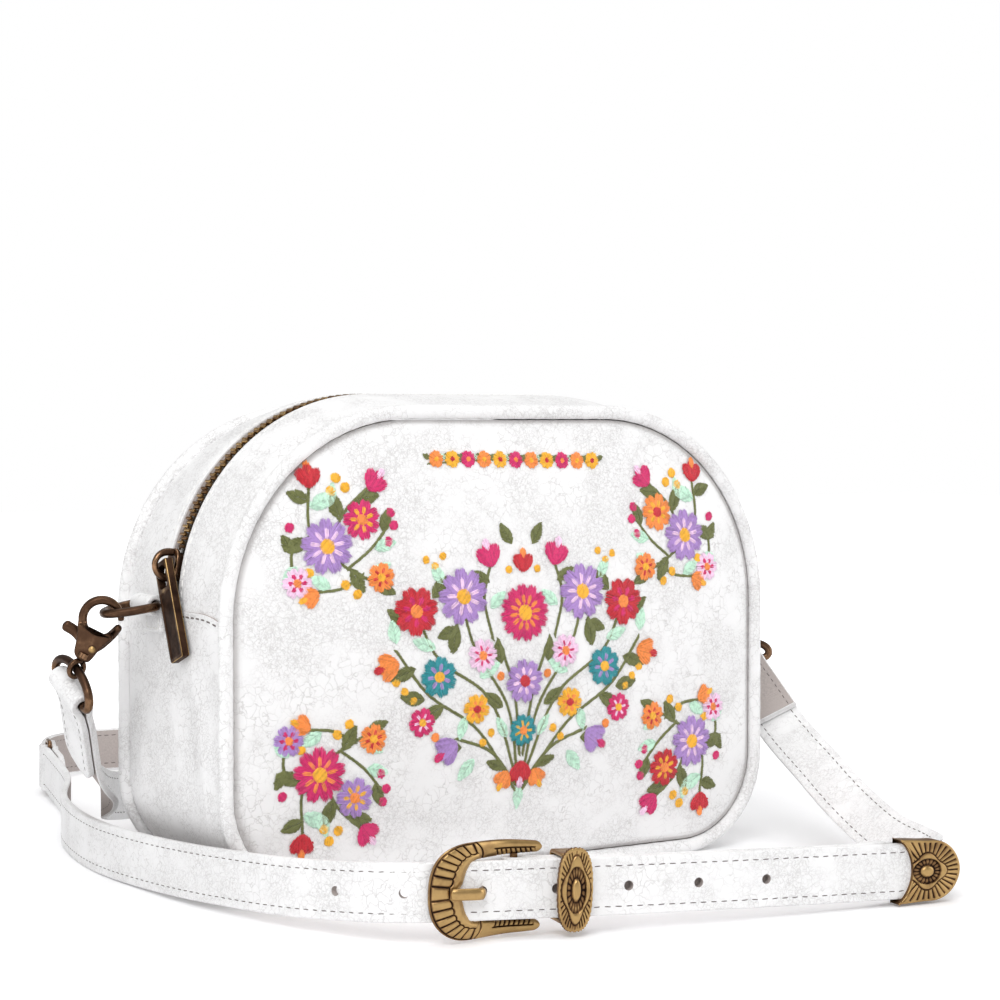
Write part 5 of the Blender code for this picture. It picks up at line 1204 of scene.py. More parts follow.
def dress_clasp(label, f):
    """The hook, swept round its bend, its broad flat body and round neck; the sprung lever behind
    it, and its rivet."""
    place, axis = f["place"], f["axis"]
    a = np.radians(np.linspace(-2.0, 182.0, 30))
    wire = RING_WIRE * (1.0 - 0.28 * ease((12.0 - np.arange(30)) / 12.0))
    hook = np.stack((EYE_RADIUS * np.cos(a), EYE_RADIUS * np.sin(a), wire, wire), axis=-1)
    low = np.array(((-5.9, -1.2, 1.5, 1.5), (-6.1, -3.4, 1.45, 1.5), (-6.4, -5.6, 1.2, 1.2))) * MM
    both = smooth_points(np.concatenate((hook, low)), 2)
    path = place(both[:, 0], both[:, 1])
    turn = np.arange(18) * 2 * math.pi / 18
    section = np.stack((both[:, 2:3] * np.cos(turn), both[:, 3:] * np.sin(turn)), axis=-1)
    piece = Piece(label + "_clasp_hook", (finish("dark_bronze"),))
    rub = np.broadcast_to(0.4 + 0.3 * np.sin(turn) ** 2, section.shape[:2])
    sweep(piece, path, f["depth"], section, tone=rub, round_ends=0.6 * MM)
    left = smooth_points((
        (-7.3, -0.6, 0), (-7.5, -3.6, 0), (-8.1, -7.4, 0), (-8.5, -10.6, 0), (-7.6, -12.4, 0),
    ), 6)
    foot = smooth_points(((-6.3, -13.1, 0), (-4.4, -13.5, 0), (-2.9, -12.3, 0)), 4)
    right = smooth_points(((-1.0, -9.9, 0), (1.6, -7.5, 0), (3.3, -6.0, 0), (3.0, -4.9, 0)), 6)
    a = np.radians(np.linspace(-62.0, -176.0, 22))
    bowl = np.stack((4.75 * np.cos(a), 4.75 * np.sin(a)), axis=-1)
    shape = np.concatenate((left[:, :2], foot[:, :2], right[:, :2], bowl)) * MM
    origin = place(0.0, 0.0)
    axes = (place(1.0, 0.0) - origin, place(0.0, 1.0) - origin, -f["depth"])
    slab(piece, shape, origin, axes, CLASP_THICK, 0.75 * MM, tone=0.45)
    neck = place(*(axis * CLASP_BODY * 0.93))
    path = np.stack((neck - f["stem"] * 0.7 * MM, neck + f["stem"] * 0.9 * MM))
    section = circle(2.75 * MM, 20, 0.72)
    sweep(piece, path, f["depth"], section, tone=np.full((2, 20), 0.8), round_ends=0.35 * MM)
    piece.make(label + "_hook", (label + "_clasp",))

    behind = CLASP_THICK / 2 + CLEAR + LEVER_WIRE
    pivot = f["pivot"]
    knots = np.array((
        (EYE_RADIUS * 0.83, EYE_RADIUS * -0.52, 0.0, LEVER_WIRE),
        (EYE_RADIUS * 0.45, EYE_RADIUS * -0.95, behind, LEVER_WIRE * 1.2),
        (pivot[0], pivot[1], behind, LEVER_WIRE * 1.2),
        (-12.0 * MM * 0.75, -1.8 * MM - EYE_RADIUS * 0.30, behind, 1.75 * MM),
        (-11.0 * MM, -2.3 * MM, behind, 1.8 * MM),
    ))
    line = smooth_points(knots, 10)
    path = place(line[:, 0], line[:, 1], line[:, 2])
    turn = np.arange(16) * 2 * math.pi / 16
    section = np.stack((
        np.broadcast_to(LEVER_WIRE * 0.95 * np.cos(turn), (len(line), 16)), line[:, 3:] * np.sin(turn),
    ), axis=-1)
    piece = Piece(label + "_lever", (finish("dark_bronze"),))
    sweep(piece, path, f["depth"], section, tone=np.full((len(line), 16), 0.5), round_ends=1.3 * MM)
    piece.make(label + "_gate", (label + "_clasp_lever",))

    start = place(pivot[0], pivot[1], -(CLASP_THICK / 2 - 0.25 * MM))
    axes = (f["stem"], np.cross(f["stem"], f["depth"]), -f["depth"])
    piece = Piece(label + "_rivet_head", (finish("edge_bronze"),))

    def dome(_x, _y, share):
        """A dome: one less the square of the share, brighter at its top."""
        return 0.35 * MM * (1 - share ** 2), 0.75 + 0.25 * (1 - share)

    head = circle(1.15 * MM, 28)
    slab(piece, head, start - f["depth"] * 0.45 * MM, axes, 0.9 * MM, 0.2 * MM, relief=dome, rings=6)
    piece.make(label + "_hook", (label + "_clasp_rivet",))


def dress_swivel(label, f):
    """The swivel's stem and eye, and the ring that carries the strap."""
    a = np.linspace(0.0, 2 * math.pi, 41)[:-2]
    eye_side = np.cross(f["post_plane"], f["stem"])
    down, aside = f["eye_radius"] * np.cos(a), f["eye_radius"] * np.sin(a)
    loop = f["ring_top"] - f["stem"] * down[:, None] + eye_side * aside[:, None]
    path = np.concatenate((f["swivel_at"][None], loop))
    piece = Piece(label + "_swivel_eye", (finish("dark_bronze"),))
    sweep(piece, path, f["post_plane"], circle(SWIVEL_WIRE, 14), tone=np.full((len(path), 14), 0.6))
    piece.make(label + "_swivel", (label + "_swivel_post",))
    shape = d_shape(STRAP_WIDTH / 2 + 3.0 * MM, LINK_DEPTH, 1.7 * MM)
    loop = f["strap_bar"] + f["longways"] * shape[:, :1] - f["bar_side"] * shape[:, 1:]
    piece = Piece(label + "_strap_loop", (finish("dark_bronze"),))
    ring(piece, loop, np.cross(f["longways"], f["bar_side"]), RING_WIRE)
    piece.make(label + "_link", (label + "_strap_ring",))


def dress_ends():
    """Both ends of the bag."""
    for side, label, angles in ENDS:
        f = end_frame(side, angles)
        dress_tab(side, label, f)
        shape = d_shape(TAB_WIDTH / 2 + CLEAR + RING_WIRE, RING_DEPTH, 1.4 * MM)
        loop = (f["bar"] + ACROSS * shape[:, :1] + f["outward"] * shape[:, 1:]) * f["flip"]
        piece = Piece(label + "_end_ring", (finish("dark_bronze"),))
        ring(piece, loop, np.cross(f["outward"], ACROSS) * f["flip"], RING_WIRE)
        piece.make(label + "_loop", (label + "_d_ring",))
        dress_clasp(label, f)
        dress_swivel(label, f)


# ---------------------------------------------------------------- strap

STRAP_WIDTH = 17.0 * MM
STRAP_THICK = 2.2 * MM
LAYER = 2.7 * MM
STRAP_HEIGHT = STRAP_WIDTH / 2 + 0.2 * MM
TIP_HEIGHT = STRAP_HEIGHT + 1.3 * MM
RUN_START = np.array((-78.5, -111.7)) * MM
RUN_END = np.array((91.8, -146.5)) * MM
RUN_SAGITTA = 3.0 * MM
BUCKLE_LENGTH = 36.0 * MM
BUCKLE_HALF = 13.8 * MM
BUCKLE_SHARE = BUCKLE_LENGTH / math.hypot(*(RUN_END - RUN_START))
BUCKLE_HEIGHT = (14.0 * MM - TIP_HEIGHT * BUCKLE_SHARE) / (1 - BUCKLE_SHARE)
BAR_RUN = BUCKLE_LENGTH - 8.2 * MM
TONGUE_HOLE = BAR_RUN - 11.3 * MM
BAR_DEPTH = 5.2 * MM
ROD_RADIUS = 1.1 * MM
PRONG_RADIUS = 0.9 * MM
HOLE_PITCH = 22.4 * MM
HOLE_RADIUS = 1.45 * MM
HOLES_BEFORE = 2
HOLES_AFTER = 4
KEEPER_RUN = 43.4 * MM
TIP_LENGTH = 22.5 * MM
JOIN_WIRE = 0.9 * MM
JOIN_WIDTH = 7.8 * MM
JOIN_CORNER = 1.2 * MM
JOIN_HALF = STRAP_WIDTH / 2 + 0.3 * MM + JOIN_CORNER
FOLD_STEPS = 12
CURVE_STEPS = 16
FRONT_ROUTE = (
    (-60.0, 200.0, 0.0), (-76.0, 146.0, 0.0), (-101.0, 88.0, 0.0), (-110.0, 44.0, 0.0),
    (-110.0, 2.0, 0.6), (-106.0, -40.0, 2.2), (-97.0, -80.0, 4.2),
)
REAR_ROUTE = (
    (-50.0, 226.0, 2.4), (-22.0, 250.0, 0.8), (16.0, 246.0, 0.0), (34.0, 218.0, 0.0),
    (18.0, 178.0, 0.0), (-20.0, 144.0, 1.0), (-60.0, 112.0, 4.0), (-92.0, 76.0, 11.0),
)
LEFT_END_ROUTE = ((-92.0, 76.0, 11.0), (-102.0, 54.0, 17.5), (-115.0, 36.0, 28.0))
RIGHT_TURN = (
    (82.0, -138.5, 0.4), (93.0, -133.0, 1.4), (100.0, -121.0, 1.6), (105.0, -101.0, 3.6),
    (111.0, -77.0, 10.0),
)
RIGHT_END_ROUTE = ((111.0, -77.0, 10.0), (118.0, -51.0, 19.5), (124.0, -27.0, 29.0))


def run_frame():
    """Middle, radius, directions and half angle of the front run's shallow arc."""
    a = np.array((*RUN_START, BUCKLE_HEIGHT))
    b = np.array((*RUN_END, TIP_HEIGHT))
    chord = b - a
    size = np.linalg.norm(chord)
    along = chord / size
    front = -unit(np.cross(UP, along))
    width = unit(np.cross(front, along))
    radius = (size ** 2 / 4 + RUN_SAGITTA ** 2) / (2 * RUN_SAGITTA)
    centre = (a + b) / 2 - front * (radius - RUN_SAGITTA)
    return centre, radius, along, front, width, math.asin(size / 2 / radius)


def run_point(run, out=0.0):
    """Places on the front run at lengths from its left end and distances out from its middle, with
    the directions along it, out of it and across it."""
    centre, radius, along, front, width, half = run_frame()
    run = np.asarray(run, float)
    a = (-half + run / radius)[..., None]
    t = along * np.cos(a) - front * np.sin(a)
    n = front * np.cos(a) + along * np.sin(a)
    return centre + n * (radius + np.asarray(out)[..., None]), t, n, np.broadcast_to(width, t.shape)


def run_length():
    """The front run's length along its arc."""
    _, radius, _, _, _, half = run_frame()
    return 2 * radius * half


def route_points(route):
    """A route's places at the strap's middle height, each raised by its own lift."""
    return np.array(route) * MM + (0.0, 0.0, STRAP_HEIGHT)


def smooth_route(points):
    """A smooth curve that never dips below the lowest of its own points."""
    points = np.asarray(points)
    curve = smooth_points(points, CURVE_STEPS)
    curve[:, 2] = np.maximum(curve[:, 2], points[:, 2].min())
    return curve


def width_turn(count, first, last, share_at=1.0):
    """Width directions that turn smoothly from the first to the last."""
    s = ease(np.minimum(1.0, np.arange(count) / (count - 1) / share_at))[:, None]
    return unit(np.asarray(first) * (1 - s) + np.asarray(last) * s)


def fold_frame(bar, toward, width, hand):
    """The way a strap leaves a bar, and the side on which its end lies back."""
    leave = toward - bar
    leave = unit(leave - width * leave.dot(width))
    return leave, np.cross(width, leave) * hand


def fold_entry(bar, toward, width, inner, hand):
    """Where a strap starts its last straight way onto a bar."""
    leave, side = fold_frame(bar, toward, width, hand)
    return bar + leave * (4 * (inner + STRAP_THICK / 2)) - side * (LAYER / 2)


def folded(curve, ups, bar, toward, inner, reach, hand):
    """A band that goes round a bar and back along itself, a layer away from where it came."""
    width = unit(ups[-1])
    leave, side = fold_frame(bar, toward, width, hand)
    radius = inner + STRAP_THICK / 2
    meet = bar + leave * (2 * radius)
    a = np.linspace(0.0, math.pi, 2 * FOLD_STEPS + 1)[:, None]
    bend = bar - side * (radius * np.cos(a)) - leave * (radius * np.sin(a))
    path = np.concatenate((curve, (meet - side * (LAYER / 2))[None]))
    along = directions(path)
    back = int(np.sum(2 * radius + walked_along(curve[::-1]) < reach))
    order = np.arange(len(curve) - 1, len(curve) - 1 - back, -1)
    flap = curve[order] - unit(np.cross(ups[order], along[order])) * (hand * LAYER)
    path = np.concatenate((path, bend, (meet + side * (LAYER / 2))[None], flap))
    turned = np.concatenate((ups, np.broadcast_to(width, (len(path) - len(ups) - back, 3)), ups[order]))
    return path, turned


def join_places():
    """The joining ring's near and far legs, and the direction between them."""
    start, after = route_points(FRONT_ROUTE[:2])
    away = unit(start - after)
    leg = np.array((start[0], start[1], JOIN_HALF + JOIN_WIRE + 0.2 * MM))
    return leg, leg + away * JOIN_WIDTH, away


def strap_band(name, path, ups, face, sizes, ogee=(False, False), apart=False):
    """A length of strap: soft corners, white face and edges, a suede back, and two stitch rows a
    side, which are a piece of their own where the leather is still to be punched.

    Face is 1 where the leather's white side lies along cross up, else -1. An end may narrow to a
    rounded point.
    """
    path, ups = resample(path, 1.3 * MM, ups)
    ups = unit(ups)
    count = len(path)
    corner = 0.55 * MM
    section = rounded_box(STRAP_WIDTH, STRAP_THICK, corner, 3)
    sections = np.broadcast_to(section, (count,) + section.shape).copy()
    walked = walked_along(path)
    for flag, run in zip(ogee, (walked, walked[-1] - walked)):
        if flag:
            near = np.clip(run / (8.0 * MM), 0.0, 1.0)
            narrow = 0.12 + 0.88 * np.sqrt(1 - (1 - near) ** 2)
            sections[..., 0] *= narrow[:, None]
    middle = (section + np.roll(section, -1, axis=0)) / 2
    flat = np.abs(middle[:, 0]) < STRAP_WIDTH / 2 - corner
    marks = np.where((middle[:, 1] * face < -STRAP_THICK / 2 * 0.8) & flat, 1, 0)
    edge = ease((np.abs(section[:, 0]) - STRAP_WIDTH / 2 + 0.2 * MM) / (0.2 * MM))
    tone = np.broadcast_to(1.0 - 0.30 * edge, (count, len(section)))
    piece = Piece(name, (finish("strap_leather"), finish("suede"), finish("dark_stitch_and_hole_shade")))
    sweep(piece, path, ups, sections, marks=marks, tone=tone)
    along = directions(path)
    side = unit(np.cross(along, ups))
    lift = np.cross(side, along)
    leather = piece
    if apart:
        piece = Piece(name + "_stitches", leather.finishes)
    off = STRAP_WIDTH / 2 - sizes.stitch_inset
    keep = slice(4 if ogee[0] else 0, count - 4 if ogee[1] else count)
    # Painted shade: the stitch rows are dark beans for the shade in the stitch holes and their groove;
    # the white thread itself is not drawn.
    for row in (-1.0, 1.0):
        for out in (1.0, -1.0):
            line = path + lift * row * off + side * out * (STRAP_THICK / 2 - 0.02 * MM)
            stitches(
                piece, line[keep], side[keep] * out, sizes.stitch, sizes.stitch_gap,
                0.4 * MM, 0.2 * MM, mark=2, seed=21,
            )
    if apart:
        piece.make("bag", angle=80.0)
    return leather


def hole_cutter(name, place, normal):
    """A round punch through the strap."""
    piece = Piece(name, (finish("suede"),))
    reach = normal * 2 * STRAP_THICK
    up = np.cross(normal, unit(np.cross(UP, normal)))
    sweep(piece, np.stack((place - reach, place + reach)), up, circle(HOLE_RADIUS, 24))
    return piece.make()


def dress_front_strap(sizes):
    """The front length: round the bag's left end, through the buckle and into the tip, with holes."""
    end = run_length() - TIP_LENGTH + 13.7 * MM
    run, _, _, run_ups = run_point(end * np.arange(61) / 60)
    near, _, _ = join_places()
    inner = JOIN_WIRE + CLEAR
    after = route_points(FRONT_ROUTE[1:])
    entry = fold_entry(near, after[0], UP, inner, 1.0)
    joined = run_point(np.array((0.0, end / 18)))[0]
    lead = smooth_route(np.concatenate((entry[None], after, joined)))[:-CURVE_STEPS - 1]
    path = np.concatenate((lead, run))[::-1]
    ups = np.concatenate((width_turn(len(lead), UP, run_ups[0]), run_ups))[::-1]
    path, ups = folded(path, ups, near, after[0], inner, 24.0 * MM, 1.0)
    piece = strap_band("front_strap_leather", path, ups, -1.0, sizes, (False, True), True)
    item = piece.make("bag", ("strap_front",))
    cutters = []
    for i in range(-HOLES_BEFORE, HOLES_AFTER + 1):
        at = TONGUE_HOLE + i * HOLE_PITCH
        if at > 0:
            place, _, normal, _ = run_point(at)
        else:
            line = np.concatenate((lead, run[:1]))[::-1]
            walked = walked_along(line)
            k = int(np.searchsorted(walked, -at))
            share = (-at - walked[k - 1]) / (walked[k] - walked[k - 1])
            place = line[k - 1] * (1 - share) + line[k] * share
            normal = unit(np.cross(unit(line[k - 1] - line[k]), UP))
        cutters.append(hole_cutter("punch_%d" % (i + HOLES_BEFORE), place, normal))
    carve(item, cutters)


def dress_rear_strap(sizes):
    """The rear length in its loop behind the bag, the left end up to its ring, and the joining
    ring."""
    f = end_frame(ENDS[0][0], ENDS[0][2])
    bar, width = f["strap_bar"], f["longways"]
    near, far, away = join_places()
    join_inner, ring_inner = JOIN_WIRE + CLEAR, RING_WIRE + CLEAR
    rear, rise = route_points(REAR_ROUTE), route_points(LEFT_END_ROUTE)
    first = fold_entry(far, rear[0], UP, join_inner, -1.0)
    last = fold_entry(bar, rise[-1], width, ring_inner, 1.0)
    curve = smooth_route(np.concatenate((first[None], rear, rise[1:], last[None])))
    index = CURVE_STEPS * len(rear)
    turned = width_turn(len(curve) - index, UP, width, 0.45)
    ups = np.concatenate((np.broadcast_to(UP, (index, 3)), turned))
    path, ups = folded(curve, ups, bar, rise[-1], ring_inner, 30.0 * MM, 1.0)
    whole = len(path)
    path, ups = folded(path[::-1], ups[::-1], far, rear[0], join_inner, 15.0 * MM, -1.0)
    path, ups = path[::-1], ups[::-1]
    cut = len(path) - whole + index
    piece = strap_band("rear_strap_leather", path[:cut + 1], ups[:cut + 1], -1.0, sizes, (True, False))
    piece.make("bag", ("strap_rear",))
    piece = strap_band("left_end_leather", path[cut:], ups[cut:], -1.0, sizes, (False, True))
    item = piece.make(None, ("strap_left_end",))
    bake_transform(item)
    middle = (near + far) / 2
    shape = rounded_box(JOIN_WIDTH, 2 * JOIN_HALF, JOIN_CORNER, 6)
    loop = middle + away * shape[:, :1] + UP * shape[:, 1:]
    piece = Piece("wire_joining_ring", (finish("dark_bronze"),))
    ring(piece, loop, np.cross(away, UP), JOIN_WIRE, 14)
    piece.make("bag", ("joining_ring",))


def dress_buckle_strap(sizes):
    """The buckle length behind the front run and round its turn, and the right end up to its
    ring."""
    f = end_frame(ENDS[1][0], ENDS[1][2])
    bar, width = f["strap_bar"], f["longways"]
    radius = ROD_RADIUS + CLEAR + STRAP_THICK / 2
    join = BAR_RUN + 4 * radius
    back = np.linspace(BAR_RUN + 34.0 * MM, join, 12)
    start = run_point(back, np.full(12, -2 * LAYER))[0]
    place, t, n, w = run_point(BAR_RUN)
    centre = place - n * BAR_DEPTH
    a = -math.pi / 2 - np.linspace(0.0, math.pi, 2 * FOLD_STEPS + 1)[:, None]
    bend = centre + t * (radius * np.cos(a)) + n * (radius * np.sin(a))
    tip_from = run_length() - TIP_LENGTH
    turn_from = tip_from - 14.0 * MM
    flat = run_point(np.linspace(join, turn_from, 25), np.full(25, -LAYER))[0]
    path = np.concatenate((start, bend, flat))
    inner = RING_WIRE + CLEAR
    clear = run_point(tip_from, -(LAYER + 1.5 * MM))[0]
    turn = np.concatenate((clear[None], route_points(RIGHT_TURN)))
    rise = route_points(RIGHT_END_ROUTE)
    last = fold_entry(bar, rise[-1], width, inner, -1.0)
    before = np.array((turn_from - (turn_from - join) / 12, turn_from))
    before = run_point(before, np.full(2, -LAYER))[0]
    tail = smooth_route(np.concatenate((before, turn, rise[1:], last[None])))[CURVE_STEPS + 1:]
    run_count = len(path)
    path = np.concatenate((path, tail))
    ups = np.concatenate((np.broadcast_to(w, (run_count, 3)), width_turn(len(tail), w, width, 0.75)))
    path, ups = folded(path, ups, bar, rise[-1], inner, 26.0 * MM, -1.0)
    cut = run_count + CURVE_STEPS * len(turn) - 1
    piece = strap_band("buckle_strap_leather", path[:cut + 1], ups[:cut + 1], -1.0, sizes, apart=True)
    item = piece.make("bag", ("strap_buckle_end",))
    ahead = ROD_RADIUS + CLEAR + 2 * PRONG_RADIUS + 0.5 * MM
    slot = Piece("tongue_punch", (finish("suede"),))
    shape = rounded_box(4 * radius + ahead, 2.8 * MM, 0.8 * MM, 4)
    slab(slot, shape, centre + t * ((ahead - 4 * radius) / 2), (t, w, n), 4 * radius, 0.1 * MM)
    carve(item, [slot.make()])
    piece = strap_band("right_end_leather", path[cut:], ups[cut:], -1.0, sizes)
    item = piece.make(None, ("strap_right_end",))
    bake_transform(item)


# ---------------------------------------------------------------- buckle, keeper and tip

def grooves(phase, sharp=0.13):
    """1 at whole numbers of the phase, falling to 0 between them: thin lines parting wide ribs."""
    away = np.abs(phase - np.round(phase))
    return np.exp(-(away / sharp) ** 2)


def dress_buckle(sizes):
    """The buckle's frame, its bar and its tongue.

    The frame is a grid: u runs round the C from one arm's end to the other, v from the opening to
    the outer edge. Both edges are straight arms joined by a flattened half round; the face bends
    back from in front of the strap to the bar behind it. A fan of ribs is cut round the C between a
    smooth lip and a thin rim, and a strip of slanted ribs in each arm's inner edge.
    """
    middle, t, n, w = run_point(BUCKLE_LENGTH / 2)
    half = BUCKLE_HALF
    u = np.linspace(-1.0, 1.0, 640)
    fan = 0.46
    a = np.clip(np.abs(u) / fan, 0.0, 1.0) * math.pi / 2
    out = np.clip((np.abs(u) - fan) / (1.0 - fan), 0.0, 1.0)
    sign = np.sign(u)
    outer_x = np.where(out > 0, -4.5 * MM + out * 22.5 * MM, -4.5 * MM - 13.5 * MM * np.cos(a) ** 0.82)
    outer_w = sign * np.where(out > 0, half - 1.0 * MM * out ** 2, half * np.sin(a) ** 0.80)
    inner_x = np.where(out > 0, -2.0 * MM + out * 20.0 * MM, -2.0 * MM - 5.6 * MM * np.cos(a) ** 0.9)
    inner_w = sign * np.where(out > 0, 8.9 * MM + 0.9 * MM * out, 8.9 * MM * np.sin(a) ** 0.85)
    inner_x = inner_x - 1.4 * MM * np.exp(-(u / 0.05) ** 2)
    v = np.linspace(0.0, 1.0, 64)
    x = inner_x[:, None] + (outer_x - inner_x)[:, None] * v
    y = inner_w[:, None] + (outer_w - inner_w)[:, None] * v
    near = np.clip((1.0 - np.abs(u)) / 0.045, 0.0, 1.0)[:, None]
    end = np.sqrt(1.0 - (1.0 - near) ** 2)
    y_mid = y.mean(axis=1, keepdims=True)
    y = y_mid + (y - y_mid) * (0.12 + 0.88 * end)
    plate, far = -13.0 * MM, BAR_RUN - BUCKLE_LENGTH / 2
    front, back = 2.6 * MM, BAR_DEPTH
    level = front - (front + back) * ease((x - plate) / (far - plate))
    crown = 0.35 + 0.65 * (1.0 - np.abs(2 * v - 1.0) ** 4)
    phase = (u / fan * sizes.ribs / 2 + 0.5)[:, None]
    in_fan = ease((fan * 1.04 - np.abs(u)) / 0.02)[:, None]
    scallop = 0.375 - 0.05 * np.abs(np.sin(phase * math.pi)) ** 0.7
    band = ease((v - scallop) / 0.03) * (1 - ease((v - 0.91) / 0.03))
    cut = grooves(phase, 0.12) * band
    cut = np.maximum(cut, np.exp(-((v - scallop) / 0.028) ** 2))
    cut = np.maximum(cut, 0.9 * np.exp(-((v - 0.93) / 0.025) ** 2)) * in_fan
    past = np.abs(u)[:, None] - fan * 1.05 - 0.03 * np.cos((v - 0.5) * 3)
    cut = np.maximum(cut, np.exp(-(past / 0.007) ** 2))
    arm = ease((out - 0.28) / 0.03)[:, None] * ease((0.92 - out) / 0.03)[:, None]
    slant = (x / (1.5 * MM)) + v * 0.9
    cut_arm = grooves(slant, 0.16) * ease((0.42 - v) / 0.04)
    cut_arm = np.maximum(cut_arm, np.exp(-((v - 0.45) / 0.04) ** 2))
    cut = np.maximum(cut, cut_arm * arm)
    lip = 0.28 * MM * np.exp(-((v - 0.16) / 0.12) ** 2) * in_fan
    top = level + 1.0 * MM * crown + lip - sizes.groove * cut
    bottom = level - 1.0 * MM * crown
    tone = 0.92 - 0.95 * cut - 0.25 * (v > 0.94)

    def place(height):
        """The grid's places at a height off the front run."""
        return middle + t * x[..., None] + w * y[..., None] + n * height[..., None]

    piece = Piece("ribbed_buckle", (finish("worn_gold"),))
    shell(piece, place(top), place(bottom), 0, tone)
    piece.make("bag", ("buckle_frame",), 38.0)

    spot, tb, nb, wb = run_point(BAR_RUN)
    centre = spot - nb * BAR_DEPTH
    reach = 9.5 * MM
    piece = Piece("buckle_rod", (finish("worn_gold"),))
    ends = centre + wb * np.linspace(-reach, reach, 9)[:, None]
    sweep(piece, ends, nb, circle(ROD_RADIUS, 16), tone=np.full((9, 16), 0.4))
    piece.make("bag", ("buckle_bar",))

    loop = ROD_RADIUS + CLEAR + PRONG_RADIUS
    a = np.radians(60.0 - 40.0 * np.linspace(0.0, 5.0, 21))
    around = np.stack((loop * np.cos(a), loop * np.sin(a) - BAR_DEPTH), axis=-1)
    hole = -(BAR_RUN - TONGUE_HOLE)
    rise = 4.8 * MM
    knots = np.array((
        (-loop * 1.15, -BAR_DEPTH + loop * 0.15), (hole + 1.17 * MM, -2.5 * MM), (hole, 0.0),
        (hole - 1.17 * MM, rise), (hole - 5.4 * MM, rise + 0.36 * MM), (-21.2 * MM, rise),
    ))
    line = np.concatenate((around, knots))
    line = smooth_points(np.c_[line, np.zeros(len(line))], 3)[:, :2]
    path = centre + tb * line[:, :1] + nb * (line[:, 1:] + BAR_DEPTH)
    flat = ease((-line[:, 0] - 11.0 * MM) / (1.5 * MM))
    turn = np.arange(16) * 2 * math.pi / 16
    section = PRONG_RADIUS * np.stack((
        (1 + 0.9 * flat)[:, None] * np.cos(turn), (1 - 0.1 * flat)[:, None] * np.sin(turn),
    ), axis=-1)
    piece = Piece("tongue_prong", (finish("worn_gold"),))
    shade = np.broadcast_to((0.45 + 0.5 * flat)[:, None], (len(path), 16))
    sweep(piece, path, wb, section, tone=shade, round_ends=0.7 * MM)
    piece.make("tongue", ("buckle_tongue",))


def ornament(x, y, share, half, size, ribs):
    """Relief and tone of an oval ornament on a low dome: a boss, a dark ring of petals, a smooth
    four-lobed frame and a fan of ribs to the rim. Shares run from the middle to the rim."""
    px, py = x / half[0], y / half[1]
    angle = np.arctan2(py, px)
    r = np.hypot(px, py)
    boss = 1 - ease((r - 0.20) / 0.06)
    ring_in = ease((r - 0.25) / 0.03) * (1 - ease((r - 0.55) / 0.03))
    petals = 1 - grooves(angle * 18 / (2 * math.pi), 0.2)
    lobes = 0.73 + 0.09 * np.cos(4 * angle)
    frame_band = ease((r - 0.56) / 0.03) * (1 - ease((r - lobes) / 0.03))
    line = np.exp(-((r - lobes - 0.02) / 0.03) ** 2)
    outer = ease((r - lobes - 0.03) / 0.03) * (1 - ease((share - 0.95) / 0.02))
    cut = outer * grooves(angle * ribs / (2 * math.pi), 0.18)
    cut = np.maximum(cut, line)
    cut = np.maximum(cut, ring_in * (1 - 0.75 * petals * np.exp(-((r - 0.43) / 0.10) ** 2)))
    lift = 0.6 * MM * boss * (1 - 0.5 * (r / 0.26) ** 2) + 0.22 * MM * frame_band - size * cut
    tone = np.clip(0.9 - cut * 0.95 + 0.1 * boss, 0.0, 1.0)
    return lift + 0.5 * MM * (1 - share ** 2), tone


def dress_keeper(sizes):
    """The keeper: a ribbed band round the strap's layers with a domed oval plate on its front."""
    place, t, n, w = run_point(KEEPER_RUN)
    top, bottom, side, wall = 1.6 * MM, 7.0 * MM, 9.0 * MM, 1.1 * MM
    middle = place + n * ((top - bottom) / 2)
    shape = rounded_box(2 * side + wall, top + bottom + wall, 1.0 * MM, 6)
    loop = middle + w * shape[:, :1] + n * shape[:, 1:]
    loop = resample(np.concatenate((loop, loop[:1])), 0.5 * MM)[0][:-1]
    section = rounded_box(7.0 * MM, wall, 0.35 * MM, 3)
    away = np.abs(section[:, 0]) / (3.5 * MM)
    tone = 0.75 - 0.55 * np.exp(-((away - 0.55) / 0.18) ** 2)
    tone = np.broadcast_to(tone, (len(loop), len(section)))
    piece = Piece("keeper_loop", (finish("worn_gold"),))
    sweep(piece, loop, t, section, True, tone=tone)
    piece.make("keeper", ("keeper_band",))
    half = (5.3 * MM, 12.0 * MM)
    a = np.linspace(0.0, 2 * math.pi, 289)[:-1]
    turned = np.stack((np.cos(a), np.sin(a)), axis=-1)
    shape = np.array(half) * np.sign(turned) * np.abs(turned) ** 0.74
    shape *= (1.0 + 0.012 * np.cos(a * 44))[:, None]
    piece = Piece("keeper_oval", (finish("worn_gold"),))

    def relief(x, y, share):
        """The ornament over the whole plate."""
        return ornament(x, y, share, half, sizes.groove * 0.8, 40)

    thick = 1.8 * MM
    spot = place + n * (top + wall + 0.3 * MM + thick / 2)
    slab(piece, shape, spot, (t, w, n), thick, 0.35 * MM, relief=relief, rings=34)
    piece.make("keeper", ("keeper_concho",), 38.0)


